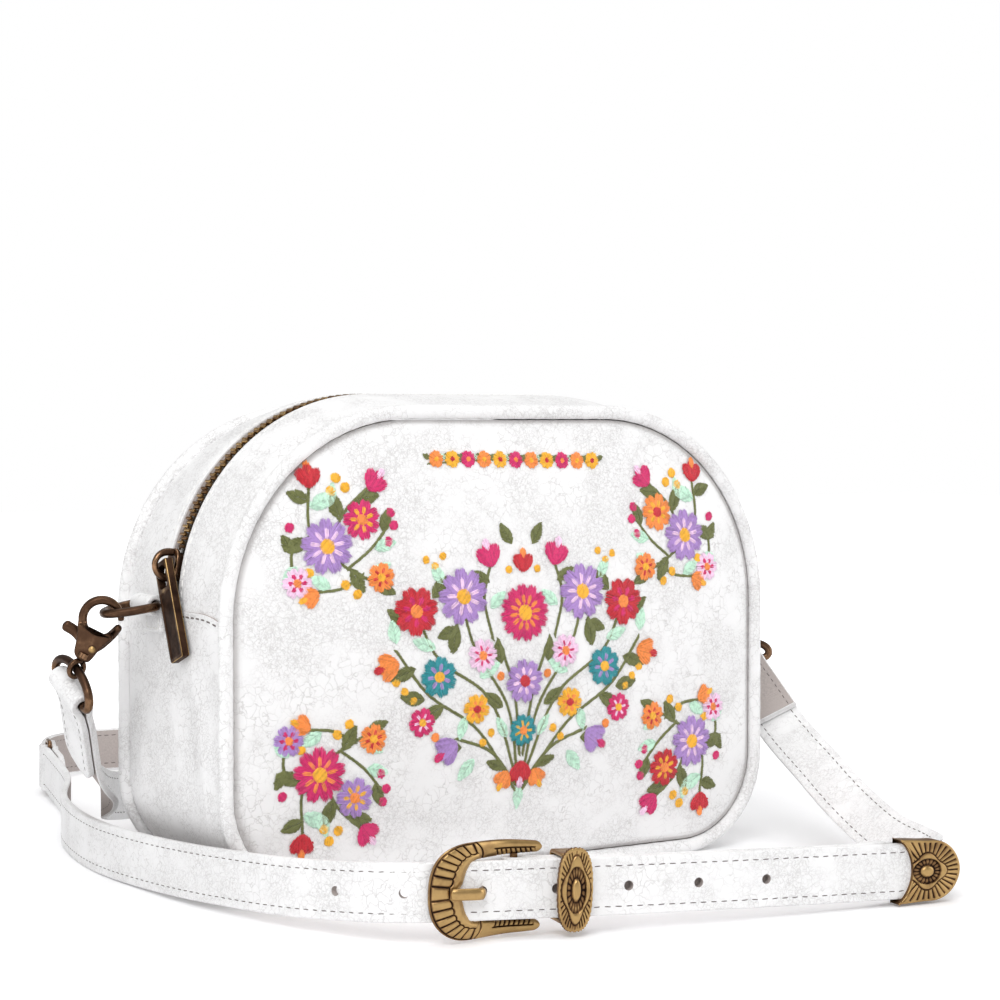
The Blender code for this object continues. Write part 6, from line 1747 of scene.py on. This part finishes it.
def dress_tip(sizes):
    """The strap's metal tip: a hollowed rear edge between two sharp corners, and a pointed nose."""
    place, t, n, w = run_point(run_length() - TIP_LENGTH / 2)
    half = STRAP_WIDTH / 2 + 1.3 * MM
    back = -TIP_LENGTH / 2
    y = np.linspace(1.0, -1.0, 90)
    rear = np.stack((back + 5.2 * MM * (1 - y ** 2) ** 0.8, y * half), axis=-1)
    s = np.linspace(0.0, 1.0, 60)[1:]
    low = np.stack((back + s * 12.0 * MM, 0.5 * MM * np.sin(s * math.pi / 2) ** 2 - half), axis=-1)
    a = np.linspace(-math.pi / 2, math.pi / 2, 120)[1:-1]
    nose = np.stack((
        back + 12.0 * MM + (TIP_LENGTH - 12.0 * MM) * np.cos(a) ** 0.92,
        (half - 0.5 * MM) * np.sign(np.sin(a)) * np.abs(np.sin(a)) ** 1.12,
    ), axis=-1)
    high = low[::-1] * (1.0, -1.0)
    shape = np.concatenate((rear, low, nose, high[:-1]))
    middle = inset(shape, 0.4 * MM).mean(axis=0)
    piece = Piece("ribbed_tip", (finish("worn_gold"),))

    def relief(x, y, share):
        """The ornament round the tip's middle."""
        return ornament(x - middle[0], y - middle[1], share, (8.8 * MM, 6.8 * MM), sizes.groove, 34)

    slab(piece, shape, place, (t, w, n), 4.8 * MM, 0.4 * MM, relief=relief, rings=40)
    piece.make("bag", ("strap_tip",), 38.0)


# ---------------------------------------------------------------- embroidery

class Stitching:
    """Collects satin threads by colour, then lays them on the front panel."""

    def __init__(self, sizes):
        self.sizes = sizes
        self.noise = np.random.default_rng(8)
        self.threads = {}

    def satin(self, shape, angle, colour, layer, spacing=1.0):
        """Parallel threads that fill an outline, in millimetres: each runs from where its line enters
        the outline to where it leaves it, with ends a little uneven."""
        gap = self.sizes.thread / MM * spacing
        c, s = math.cos(angle), math.sin(angle)
        turned = shape @ np.array(((c, -s), (s, c)))
        ahead = np.roll(turned, -1, axis=0)
        lines = np.arange(turned[:, 1].min() + gap * 0.4, turned[:, 1].max(), gap)
        if len(lines) == 0:
            return
        a, b = turned[None, :, 1], ahead[None, :, 1]
        level = lines[:, None]
        crossing = (a <= level) != (b <= level)
        share = (level - a) / np.where(crossing, b - a, 1.0)
        x = turned[None, :, 0] + share * (ahead[None, :, 0] - turned[None, :, 0])
        start = np.where(crossing, x, np.inf).min(axis=1)
        end = np.where(crossing, x, -np.inf).max(axis=1)
        good = end - start > 0.25
        start, end, lines = start[good], end[good], lines[good]
        start = start - np.abs(self.noise.normal(0.0, 0.13, len(start)))
        end = end + np.abs(self.noise.normal(0.0, 0.13, len(end)))
        back = np.array(((c, s), (-s, c)))
        first = np.stack((start, lines), -1) @ back
        last = np.stack((end, lines + self.noise.normal(0.0, 0.05, len(end))), -1) @ back
        rows = np.concatenate((first, last, np.full((len(first), 1), layer)), axis=1)
        self.threads.setdefault(colour, []).append(rows)

    def petal(self, place, turn, long, wide, colour, layer, notch=0.0):
        """An egg-shaped petal from its foot, its threads along it."""
        a = np.linspace(0.0, 2 * math.pi, 33)[:-1]
        x = long * (0.5 - 0.5 * np.cos(a))
        y = wide / 2 * np.sin(a) * (0.55 + 0.45 * (x / long) ** 0.8) * 1.15
        dip = np.exp(-((x / long - 1.0) / 0.2) ** 2) * np.exp(-(y / (wide * 0.18)) ** 2)
        x = x - notch * long * dip
        c, s = math.cos(turn), math.sin(turn)
        shape = np.stack((x, y), -1) @ np.array(((c, s), (-s, c))) + place
        self.satin(shape, turn, colour, layer)

    def flower(self, place, size, petals, colour, heart, turn=0.0, layer=2, vein=None, wide=1.0):
        """Petals in a ring, short veins at their feet, and a round heart."""
        place = np.asarray(place, float)
        for i in range(petals):
            a = turn + 2 * math.pi * i / petals
            broad = 2 * math.pi * size * 0.60 / petals * 1.12 * wide
            self.petal(place, a, size, broad, colour, layer + (i % 2) * 0.4, notch=0.12)
            if vein:
                foot = place + np.array((math.cos(a), math.sin(a))) * size * 0.2
                self.petal(foot, a, size * 0.42, broad * 0.3, vein, layer + 1.0)
        self.disc(place, size * 0.26, heart, layer + 1.6, turn)

    def disc(self, place, size, colour, layer, turn=0.0):
        """A round knot of threads."""
        a = np.linspace(0.0, 2 * math.pi, 25)[:-1]
        shape = np.stack((np.cos(a), np.sin(a)), -1) * size + np.asarray(place, float)
        self.satin(shape, turn + 0.6, colour, layer, 0.95)

    def leaf(self, place, turn, long, wide, colour, layer=1.2):
        """A pointed leaf: two halves whose threads slant away from the middle line."""
        c, s = math.cos(turn), math.sin(turn)
        x = np.linspace(0.0, 1.0, 20)
        y = np.sin(x * math.pi) ** 0.85 * (1.15 - 0.45 * x) * wide / 2
        for half in (1.0, -1.0):
            edge = np.stack((x * long, half * y), -1)
            spine = np.stack((x[::-1] * long, np.zeros(20)), -1)[1:-1]
            shape = np.concatenate((edge, spine))
            shape = shape @ np.array(((c, s), (-s, c))) + np.asarray(place, float)
            self.satin(shape, turn + half * 0.75, colour, layer)

    def stem(self, knots, colour="olive", wide=1.0, layer=0.6):
        """A stem of short slanted stitches, side by side along a smooth line."""
        knots = np.asarray(knots, float)
        line = smooth_points(np.c_[knots, np.zeros(len(knots))], 12)
        line = resample(line, 0.68)[0][:, :2]
        along = directions(np.c_[line, np.zeros(len(line))])[:, :2]
        side = np.stack((-along[:, 1], along[:, 0]), -1)
        lean = unit(along * 0.85 + side * 0.6)
        reach = wide * (0.75 + self.noise.uniform(-0.12, 0.12, (len(line), 1)))
        depth = np.full((len(line), 1), layer)
        rows = np.concatenate((line - lean * reach, line + lean * reach, depth), axis=1)
        self.threads.setdefault(colour + "_stem", []).append(rows)

    def tulip(self, place, turn, size, colour, tip, layer=2):
        """A cup of three petals with a coloured edge."""
        for lean, long in ((0.5, 0.92), (-0.5, 0.92), (0.0, 1.0)):
            self.petal(place, turn + lean, size * long, size * 0.5, colour, layer + (lean == 0.0) * 0.6)
        head = np.asarray(place, float) + np.array((math.cos(turn), math.sin(turn))) * size * 0.62
        self.petal(head, turn, size * 0.5, size * 0.3, tip, layer + 1.2)

    def berries(self, places, size, colour, layer=1.6):
        """Round knots."""
        for i, place in enumerate(places):
            self.disc(place, size, colour, layer, i * 0.9)

    def lay(self):
        """Every thread is a low half-capsule from its first end to its last, on the panel's face."""
        shape, faces = bean(1.0, 1.0, 1.0)
        width, rise = self.sizes.thread * 1.12, self.sizes.thread_rise
        for colour, blocks in self.threads.items():
            rows = np.concatenate(blocks)
            layer = rows[:, 4] * 0.13 * MM
            bulge = self.sizes.panel_bulge
            first = panel_places(rows[:, 0:2] * MM, bulge, layer)
            last = panel_places(rows[:, 2:4] * MM, bulge, layer)
            middle = (first + last) / 2
            flat = np.stack((middle[:, 0], middle[:, 2]), -1)
            right, above = [
                panel_places(flat + step, bulge, layer) - panel_places(flat - step, bulge, layer)
                for step in np.eye(2) * MM
            ]
            normal = unit(np.cross(right, above))
            normal = normal * np.where(normal[:, 1:2] > 0, -1.0, 1.0)
            middle = panel_places(flat, bulge, layer)
            along = last - first
            side = unit(np.cross(normal, along))
            axes = np.stack((along, side * width, normal * rise * 0.8), axis=1)
            tone = self.noise.uniform(0.72, 1.0, len(rows))
            piece = Piece(colour + "_threads", (finish(colour.removesuffix("_stem")),))
            scatter(piece, shape, faces, middle - normal * 0.05 * MM, axes, 0, tone)
            piece.make("bag", angle=80.0)


def posy(w):
    """The middle design: a mirrored posy on a fan of stems."""
    for m in (1.0, -1.0):
        def p(x, z):
            """A place, mirrored on the second side."""
            return (m * x, z)

        def a(turn):
            """An angle given in degrees, mirrored on the second side."""
            turn = math.radians(turn)
            return turn if m > 0 else math.pi - turn

        for line in (
            (p(0.5, 30), p(6, 56), p(19, 76), p(24, 92)), (p(1, 32), p(14, 60), p(33, 74), p(40, 88)),
            (p(1, 28), p(18, 50), p(36, 62), p(47, 76)), (p(0.6, 40), p(4, 62), p(10, 78)),
            (p(1, 30), p(12, 42), p(25, 47)), (p(12, 78), p(15, 92), p(12, 103)),
        ):
            w.stem(line, "olive", 1.15)
        for x, z, turn, long, wide, colour in (
            (27, 74, 100, 10, 5, "olive"), (33, 76, 20, 9, 4.4, "mint"), (17, 66, 150, 9, 4.6, "mint"),
            (40, 70, -20, 10, 4.6, "olive"), (30, 58, -30, 11, 5, "olive"), (22, 54, -75, 8, 4, "mint"),
            (8, 56, 35, 9, 4.4, "olive"), (6, 46, 60, 8, 3.8, "mint"), (44, 84, 40, 8, 4, "olive"),
            (13, 96, 30, 8, 4, "olive"), (30, 96, 60, 8, 4.2, "mint"), (6, 36, 20, 8, 3.6, "olive"),
            (34, 92, 130, 9, 5, "olive"), (47, 78, 80, 8, 4.6, "mint"), (37, 60, 10, 9, 5, "olive"),
            (23, 44, 0, 9, 4.8, "olive"), (18, 40, -50, 9, 4.8, "mint"), (9, 70, 80, 8, 4.4, "olive"),
            (25, 82, -20, 8, 4.6, "olive"), (13, 88, 140, 8, 4.4, "mint"),
            (4, 108, 60, 8, 4.4, "olive"),
        ):
            w.leaf(p(x, z), a(turn), long, wide, colour)
        w.flower(p(23, 92), 9.8, 9, "lilac", "yellow", 0.3, 3, "blush")
        w.flower(p(40, 88), 8.4, 7, "red", "orange", 0.2, 3, "magenta")
        w.flower(p(32, 67), 7.0, 7, "teal", "yellow", 0.5, 3, "lilac")
        w.flower(p(16, 73), 5.8, 7, "blush", "orange", 0.1, 3, "magenta")
        w.tulip(p(46, 72), a(-15), 8.2, "orange", "red", 3)
        w.tulip(p(12, 101), a(75), 8.4, "magenta", "blush", 3)
        w.tulip(p(25, 46), a(-35), 8.8, "lilac", "magenta", 3)
        w.flower(p(18, 56), 5.2, 6, "yellow", "red", 0.9, 3, "orange")
        w.flower(p(38, 53), 5.0, 6, "magenta", "yellow", 0.2, 3, "blush")
        w.berries((p(44, 63), p(47, 66), p(41, 60), p(12, 48), p(15, 45)), 1.3, "yellow")
        w.berries((p(33, 48), p(30, 43), p(9, 66)), 1.4, "orange")
        w.berries((p(5.5, 100), p(33, 102), p(30, 105), p(36, 104)), 1.2, "yellow")
        w.tulip(p(5, 35), a(-62), 6.4, "orange", "yellow", 3)
    w.flower((0, 86), 10.0, 12, "magenta", "yellow", 0.13, 4, "orange", 1.1)
    w.flower((0, 64), 7.6, 8, "lilac", "red", 0.2, 4, "blush")
    w.flower((0, 48), 5.6, 7, "teal", "orange", 0.0, 4, "yellow")
    w.tulip((0, 99), math.pi / 2, 7.0, "red", "orange", 3)
    w.tulip((0, 38), -math.pi / 2, 8.0, "red", "blush", 3)
    w.leaf((0, 30), -math.pi / 2, 8.0, 4.0, "mint")


def spray(w, centre, mirror_x, mirror_z, main, second):
    """A corner spray: a bent stem with leaves, large flowers, buds and berries."""
    cx, cz = centre

    def p(x, z):
        """A place round the spray's centre, mirrored as the spray is."""
        return (cx + mirror_x * x, cz + mirror_z * z)

    def a(turn):
        """An angle given in degrees, mirrored as the spray is."""
        turn = math.radians(turn)
        return math.atan2(mirror_z * math.sin(turn), mirror_x * math.cos(turn))

    for line in (
        (p(17, -17), p(4, -11), p(-8, 0), p(-8, 15)), (p(-2, -6), p(3, 6), p(12, 14)),
        (p(-7, 0), p(-14, -5), p(-14, -15)), (p(4, -11), p(12, -5), p(19, 3)),
        (p(9, -13), p(2, -17), p(-7, -18)),
    ):
        w.stem(line, "olive", 1.1)
    for x, z, turn, long, wide, colour in (
        (-8, 8, 25, 10, 5.4, "mint"), (-8, 10, 160, 8, 4.6, "olive"), (-9, -2, 200, 9, 5, "olive"),
        (5, -11, -60, 9, 4.8, "olive"), (11, -14, 30, 9, 4.6, "mint"), (2, 4, 110, 10, 5, "olive"),
        (7, 10, 10, 9, 4.8, "olive"), (13, -5, 15, 8, 4.4, "mint"), (-13, -10, 230, 7, 4.4, "mint"),
        (16, 0, 70, 8, 4.4, "olive"), (-2, -17, 150, 8, 4.4, "mint"), (13, -16, -25, 8, 4.2, "olive"),
        (-2, 8, 75, 8, 4.2, "mint"), (-14, -6, 120, 7, 4.0, "olive"),
    ):
        w.leaf(p(x, z), a(turn), long, wide, colour)
    w.flower(p(-3, -4), 9.4, 9, main, "yellow", 0.2, 3, "blush" if main == "lilac" else "orange")
    w.flower(p(9, 4), 6.8, 7, second, "orange" if second != "orange" else "red", 0.4, 3, "yellow")
    w.tulip(p(-8, 14), a(92), 7.4, "red", "orange", 3)
    w.tulip(p(12, 13), a(50), 7.6, "magenta", "blush", 3)
    w.flower(p(-13, -15), 5.2, 6, "blush" if main == "lilac" else "lilac", "orange", 0.0, 3, "magenta")
    w.flower(p(15, -14), 5.0, 6, "orange", "yellow", 0.3, 3, "red")
    w.tulip(p(-6, -18), a(205), 6.4, "orange", "yellow", 3)
    w.berries((p(-1, 13), p(1, 17), p(4, 14)), 1.6, "yellow")
    w.berries((p(19, 6), p(20, 2), p(-15, 2), p(18, -3)), 1.5, "magenta")
    w.berries((p(3, -16), p(-9, -12), p(7, -19)), 1.5, "yellow")


def dress_embroidery(sizes):
    """The front panel's thread work: a posy, four corner sprays and a row of small flowers."""
    w = Stitching(sizes)
    posy(w)
    spray(w, (-67, 113), 1.0, 1.0, "lilac", "magenta")
    spray(w, (65, 113), -1.0, 1.0, "lilac", "orange")
    spray(w, (-70, 35), 1.0, -1.0, "magenta", "lilac")
    spray(w, (68, 35), -1.0, -1.0, "lilac", "red")
    for i, x in enumerate(np.linspace(-30.0, 30.0, 11)):
        z = 135.0 + 0.5 * math.sin(x)
        colour, heart = (("orange", "yellow"), ("yellow", "red"), ("magenta", "orange"))[i % 3]
        w.flower((x, z), 2.9, 5, colour, heart, x, 2)
        w.leaf((x + 2.0, z), 0.5, 3.2, 1.8, "olive", 1.0)
        w.leaf((x - 2.0, z), math.pi - 0.5, 3.2, 1.8, "mint" if i % 2 else "olive", 1.0)
    w.stem(((-33, 134), (-10, 135), (10, 134.5), (33, 135.5)), "olive", 0.6, 0.2)
    w.lay()


# ---------------------------------------------------------------- stage

WORLD_LEVEL = 0.50
FLOOR_LIFT = 0.12
LAMP_KEY = 10.8
LAMP_TOP = 6.5
LAMP_SIDE = 2.5
LAMP_FILL = 5.0


def area_lamp(name, place, target, size, power):
    """A large soft lamp that points at a place."""
    lamp = bpy.data.lights.new(name, "AREA")
    lamp.shape = "DISK"
    lamp.size = size
    lamp.energy = power
    item = bpy.data.objects.new(name, lamp)
    item.location = place
    item.rotation_euler = (Vector(target) - Vector(place)).to_track_quat("-Z", "Y").to_euler()
    bpy.context.collection.objects.link(item)


def set_camera():
    """The photograph's camera: 0.82 m from the bag at its front left, looking slightly down."""
    turn, drop, reach = math.radians(-33.4), math.radians(1.85), 0.818
    place = Vector((0.0203 + reach * math.sin(turn), -reach * math.cos(turn), 0.147))
    level = math.cos(drop)
    ahead = Vector((-math.sin(turn) * level, math.cos(turn) * level, -math.sin(drop)))
    right = ahead.cross(Vector((0.0, 0.0, 1.0))).normalized()
    above = right.cross(ahead)
    lens = bpy.data.cameras.new("camera")
    lens.sensor_width = 36.0
    lens.lens = 86.4
    camera = bpy.data.objects.new("camera", lens)
    turned = Matrix((right, above, -ahead)).transposed().to_4x4()
    camera.matrix_world = Matrix.Translation(place) @ turned
    bpy.context.collection.objects.link(camera)
    bpy.context.scene.camera = camera


def floor_finish(colour):
    """A matt floor that keeps the bag's shadow; away from the bag the camera, mirrors and glass see
    it lifted to plain white."""
    f = Finish("studio_floor", tuple(colour), 0.9)
    f.shader.inputs["Specular IOR Level"].default_value = 0.1
    grain = f.noise(60.0, 2.0)
    f.colour(f.mix(grain, tuple(colour), scaled(colour, 0.995)))
    ray = f.node("ShaderNodeLightPath")
    seen = f.maths("MAXIMUM", ray.outputs["Is Camera Ray"], ray.outputs["Is Glossy Ray"])
    seen = f.maths("MAXIMUM", seen, ray.outputs["Is Transmission Ray"])
    far = f.node("ShaderNodeVectorMath", operation="LENGTH")
    f.put(far.inputs[0], f.place)
    lift = f.ramp(far.outputs["Value"], 0.12, 0.75, FLOOR_LIFT, 1.0)
    glow = f.node("ShaderNodeEmission")
    f.put(glow.inputs["Strength"], f.maths("MULTIPLY", seen, lift))
    both = f.node("ShaderNodeAddShader")
    f.put(both.inputs[0], f.shader.outputs[0])
    f.put(both.inputs[1], glow.outputs[0])
    f.put(f.tree.nodes["Material Output"].inputs["Surface"], both.outputs[0])
    return f.material


def set_stage():
    """Floor, world, lamps and camera."""
    colours = bpy.context.scene.bag_colours
    mesh = bpy.data.meshes.new("studio_floor")
    u = np.linspace(-3.0, 3.0, 13)
    grid = np.stack(np.broadcast_arrays(u[:, None], u[None, :], np.zeros((13, 13))), axis=-1)
    mesh.from_pydata(grid.reshape(-1, 3).tolist(), [], grid_faces(13, 13).tolist())
    mesh.materials.append(floor_finish(colours.floor))
    if mesh.polygons[0].normal.z < 0:
        mesh.flip_normals()
    floor = bpy.data.objects.new("studio_floor", mesh)
    bpy.context.collection.objects.link(floor)
    world = bpy.data.worlds.new("studio")
    bpy.context.scene.world = world
    world.use_nodes = True
    tree = world.node_tree
    back = tree.nodes["Background"]
    path = tree.nodes.new("ShaderNodeLightPath")
    either = tree.nodes.new("ShaderNodeMath")
    either.operation = "MAXIMUM"
    tree.links.new(path.outputs["Is Camera Ray"], either.inputs[0])
    tree.links.new(path.outputs["Is Transmission Ray"], either.inputs[1])
    sized = tree.nodes.new("ShaderNodeMapRange")
    tree.links.new(either.outputs[0], sized.inputs["Value"])
    sized.inputs["To Min"].default_value = WORLD_LEVEL
    sized.inputs["To Max"].default_value = 1.0
    back.inputs["Color"].default_value = (1.0, 1.0, 1.0, 1.0)
    tree.links.new(sized.outputs["Result"], back.inputs["Strength"])
    area_lamp("key", (-0.75, -0.95, 1.05), (0.0, 0.0, 0.06), 0.9, LAMP_KEY)
    area_lamp("top", (0.1, 0.1, 1.5), (0.0, 0.0, 0.0), 1.3, LAMP_TOP)
    area_lamp("side", (-1.4, -0.25, 0.45), (0.0, 0.0, 0.06), 0.8, LAMP_SIDE)
    area_lamp("fill", (1.2, -0.8, 0.5), (0.0, 0.0, 0.06), 1.0, LAMP_FILL)
    bpy.context.scene.view_settings.view_transform = "Standard"
    set_camera()


# ---------------------------------------------------------------- panel

def tint(name, description, colour):
    """A colour that a user may change."""
    return FloatVectorProperty(
        name=name, description=description, subtype="COLOR", size=3, min=0.0, max=1.0, default=colour,
    )


def length(name, description, value):
    """A length that a user may change, in metres."""
    return FloatProperty(
        name=name, description=description, default=value, min=0.0, unit="LENGTH", precision=5,
    )


class BagSizes(bpy.types.PropertyGroup):
    """Sizes of the bag's skins and thread work."""
    panel_bulge: length("Panel bulge", "How far a panel's middle stands out", 8.0 * MM)
    stitch: length("Stitch", "Length of one stitch on the strap", 2.1 * MM)
    stitch_gap: length("Stitch gap", "Gap between two stitches on the strap", 1.3 * MM)
    stitch_inset: length("Stitch inset", "Distance of the stitch rows from the strap's edge", 2.6 * MM)
    thread: length("Thread", "Spacing of the embroidery's threads", 0.42 * MM)
    thread_rise: length("Thread rise", "How far the embroidery stands off the leather", 0.45 * MM)
    groove: length("Groove", "Depth of the ornament's grooves", 0.42 * MM)
    ribs: IntProperty(name="Ribs", description="Ribs on the buckle's plate", default=15, min=3)


class BagColours(bpy.types.PropertyGroup):
    """Colours of the bag's finishes."""
    leather: tint("Leather", "White leather", (0.885, 0.882, 0.882))
    # The cracks' colour is also the colour that the leather's painted shade darkens towards.
    cracks: tint("Cracks", "Fine lines in the leather", (0.33, 0.30, 0.29))
    suede: tint("Suede", "Rough side of the leather", (0.46, 0.41, 0.39))
    lining: tint("Lining", "Cloth inside the bag", (0.62, 0.55, 0.45))
    tape: tint("Tape", "Woven zip tape", (0.78, 0.77, 0.76))
    gold: tint("Gold", "Worn edges of the ornament", (0.46, 0.30, 0.125))
    brown: tint("Brown", "Shaded parts of the ornament", (0.20, 0.11, 0.05))
    bronze: tint("Bronze", "Worn edges of the rings and clasps", (0.31, 0.18, 0.10))
    bronze_shade: tint("Bronze shade", "Plain faces of the rings and clasps", (0.075, 0.04, 0.024))
    groove: tint("Groove", "Bottoms of the grooves", (0.022, 0.012, 0.009))
    # Dark thread on the gusset's seam; on the strap the same colour is painted shade of the stitch
    # holes.
    dark_stitch_and_hole_shade: tint("Dark stitch", "Thread along the strap's edges", (0.10, 0.08, 0.075))
    white_stitch: tint("White stitch", "Thread beside the zip", (0.74, 0.73, 0.71))
    lilac: tint("Lilac", "Embroidery thread", (0.42, 0.25, 0.58))
    red: tint("Red", "Embroidery thread", (0.56, 0.004, 0.02))
    orange: tint("Orange", "Embroidery thread", (0.92, 0.27, 0.045))
    yellow: tint("Yellow", "Embroidery thread", (0.92, 0.46, 0.015))
    olive: tint("Olive", "Embroidery thread", (0.14, 0.155, 0.035))
    mint: tint("Mint", "Embroidery thread", (0.58, 0.83, 0.67))
    teal: tint("Teal", "Embroidery thread", (0.01, 0.27, 0.31))
    magenta: tint("Magenta", "Embroidery thread", (0.64, 0.008, 0.14))
    blush: tint("Blush", "Embroidery thread", (0.88, 0.62, 0.80))
    floor: tint("Floor", "Studio floor", (0.93, 0.93, 0.94))


# ---------------------------------------------------------------- operators


class BAG_OT_stage(bpy.types.Operator):
    """Floor, world, lamps and camera."""
    bl_idname = "bag.stage"
    bl_label = "Stage"

    def execute(self, context):
        set_stage()
        return {"FINISHED"}


class BAG_OT_panels(bpy.types.Operator):
    """Domed front and back faces."""
    bl_idname = "bag.panels"
    bl_label = "Panels"

    def execute(self, context):
        dress_panels(context.scene.bag_sizes)
        return {"FINISHED"}


class BAG_OT_piping(bpy.types.Operator):
    """Rolled rims round both faces."""
    bl_idname = "bag.piping"
    bl_label = "Piping"

    def execute(self, context):
        dress_piping()
        return {"FINISHED"}


class BAG_OT_gussets(bpy.types.Operator):
    """The side and base strip, the strips beside the zip and their stitches."""
    bl_idname = "bag.gussets"
    bl_label = "Gussets"

    def execute(self, context):
        dress_gussets()
        return {"FINISHED"}


class BAG_OT_lining(bpy.types.Operator):
    """Cloth inside the bag and its slip pocket."""
    bl_idname = "bag.lining"
    bl_label = "Lining"

    def execute(self, context):
        dress_lining()
        return {"FINISHED"}


class BAG_OT_zip(bpy.types.Operator):
    """Woven tapes, meshed teeth and the stop."""
    bl_idname = "bag.zip"
    bl_label = "Zip"

    def execute(self, context):
        dress_zip()
        return {"FINISHED"}


class BAG_OT_slider(bpy.types.Operator):
    """Slider, bridge and pull bar."""
    bl_idname = "bag.slider"
    bl_label = "Slider"

    def execute(self, context):
        dress_slider()
        return {"FINISHED"}


class BAG_OT_ends(bpy.types.Operator):
    """Tabs, rings, clasps, swivels and strap rings."""
    bl_idname = "bag.ends"
    bl_label = "Ends"

    def execute(self, context):
        dress_ends()
        return {"FINISHED"}


class BAG_OT_front_strap(bpy.types.Operator):
    """The punched length of strap in front."""
    bl_idname = "bag.front_strap"
    bl_label = "Front strap"

    def execute(self, context):
        dress_front_strap(context.scene.bag_sizes)
        return {"FINISHED"}


class BAG_OT_rear_strap(bpy.types.Operator):
    """The rear length, the left end and the joining ring."""
    bl_idname = "bag.rear_strap"
    bl_label = "Rear strap"

    def execute(self, context):
        dress_rear_strap(context.scene.bag_sizes)
        return {"FINISHED"}


class BAG_OT_buckle_strap(bpy.types.Operator):
    """The buckle length and the right end."""
    bl_idname = "bag.buckle_strap"
    bl_label = "Buckle strap"

    def execute(self, context):
        dress_buckle_strap(context.scene.bag_sizes)
        return {"FINISHED"}


class BAG_OT_buckle(bpy.types.Operator):
    """Ribbed frame, rod and tongue."""
    bl_idname = "bag.buckle"
    bl_label = "Buckle"

    def execute(self, context):
        dress_buckle(context.scene.bag_sizes)
        return {"FINISHED"}


class BAG_OT_keeper(bpy.types.Operator):
    """The band and its oval plate."""
    bl_idname = "bag.keeper"
    bl_label = "Keeper"

    def execute(self, context):
        dress_keeper(context.scene.bag_sizes)
        return {"FINISHED"}


class BAG_OT_tip(bpy.types.Operator):
    """The strap's metal tip."""
    bl_idname = "bag.tip"
    bl_label = "Tip"

    def execute(self, context):
        dress_tip(context.scene.bag_sizes)
        return {"FINISHED"}


class BAG_OT_embroidery(bpy.types.Operator):
    """Flowers and leaves in satin thread."""
    bl_idname = "bag.embroidery"
    bl_label = "Embroidery"

    def execute(self, context):
        dress_embroidery(context.scene.bag_sizes)
        return {"FINISHED"}


class BAG_PT_sidebar(bpy.types.Panel):
    """The bag's sizes, colours and builders."""
    bl_label = "Mini bag"
    bl_space_type = "VIEW_3D"
    bl_region_type = "UI"
    bl_category = "Mini bag"

    def draw(self, context):
        for group in (context.scene.bag_sizes, context.scene.bag_colours):
            box = self.layout.box()
            for key in group.__annotations__:
                box.prop(group, key)
        for builder in BUILDERS:
            self.layout.operator(builder.bl_idname)


BUILDERS = (
    BAG_OT_stage,
    BAG_OT_panels,
    BAG_OT_piping,
    BAG_OT_gussets,
    BAG_OT_lining,
    BAG_OT_zip,
    BAG_OT_slider,
    BAG_OT_ends,
    BAG_OT_front_strap,
    BAG_OT_rear_strap,
    BAG_OT_buckle_strap,
    BAG_OT_buckle,
    BAG_OT_keeper,
    BAG_OT_tip,
    BAG_OT_embroidery,
)
CLASSES = (BagSizes, BagColours) + BUILDERS + (BAG_PT_sidebar,)


def register():
    """Make the classes known and hang the settings on the scene."""
    for item in CLASSES:
        bpy.utils.register_class(item)
    bpy.types.Scene.bag_sizes = PointerProperty(type=BagSizes)
    bpy.types.Scene.bag_colours = PointerProperty(type=BagColours)


def unregister():
    """Undo what register did."""
    del bpy.types.Scene.bag_colours
    del bpy.types.Scene.bag_sizes
    for item in reversed(CLASSES):
        bpy.utils.unregister_class(item)


def main():
    """Build every piece in order."""
    register()
    bpy.ops.bag.stage()
    bpy.ops.bag.panels()
    bpy.ops.bag.piping()
    bpy.ops.bag.gussets()
    bpy.ops.bag.lining()
    bpy.ops.bag.zip()
    bpy.ops.bag.slider()
    bpy.ops.bag.ends()
    bpy.ops.bag.front_strap()
    bpy.ops.bag.rear_strap()
    bpy.ops.bag.buckle_strap()
    bpy.ops.bag.buckle()
    bpy.ops.bag.keeper()
    bpy.ops.bag.tip()
    bpy.ops.bag.embroidery()
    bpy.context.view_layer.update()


if __name__ == "__main__":
    main()
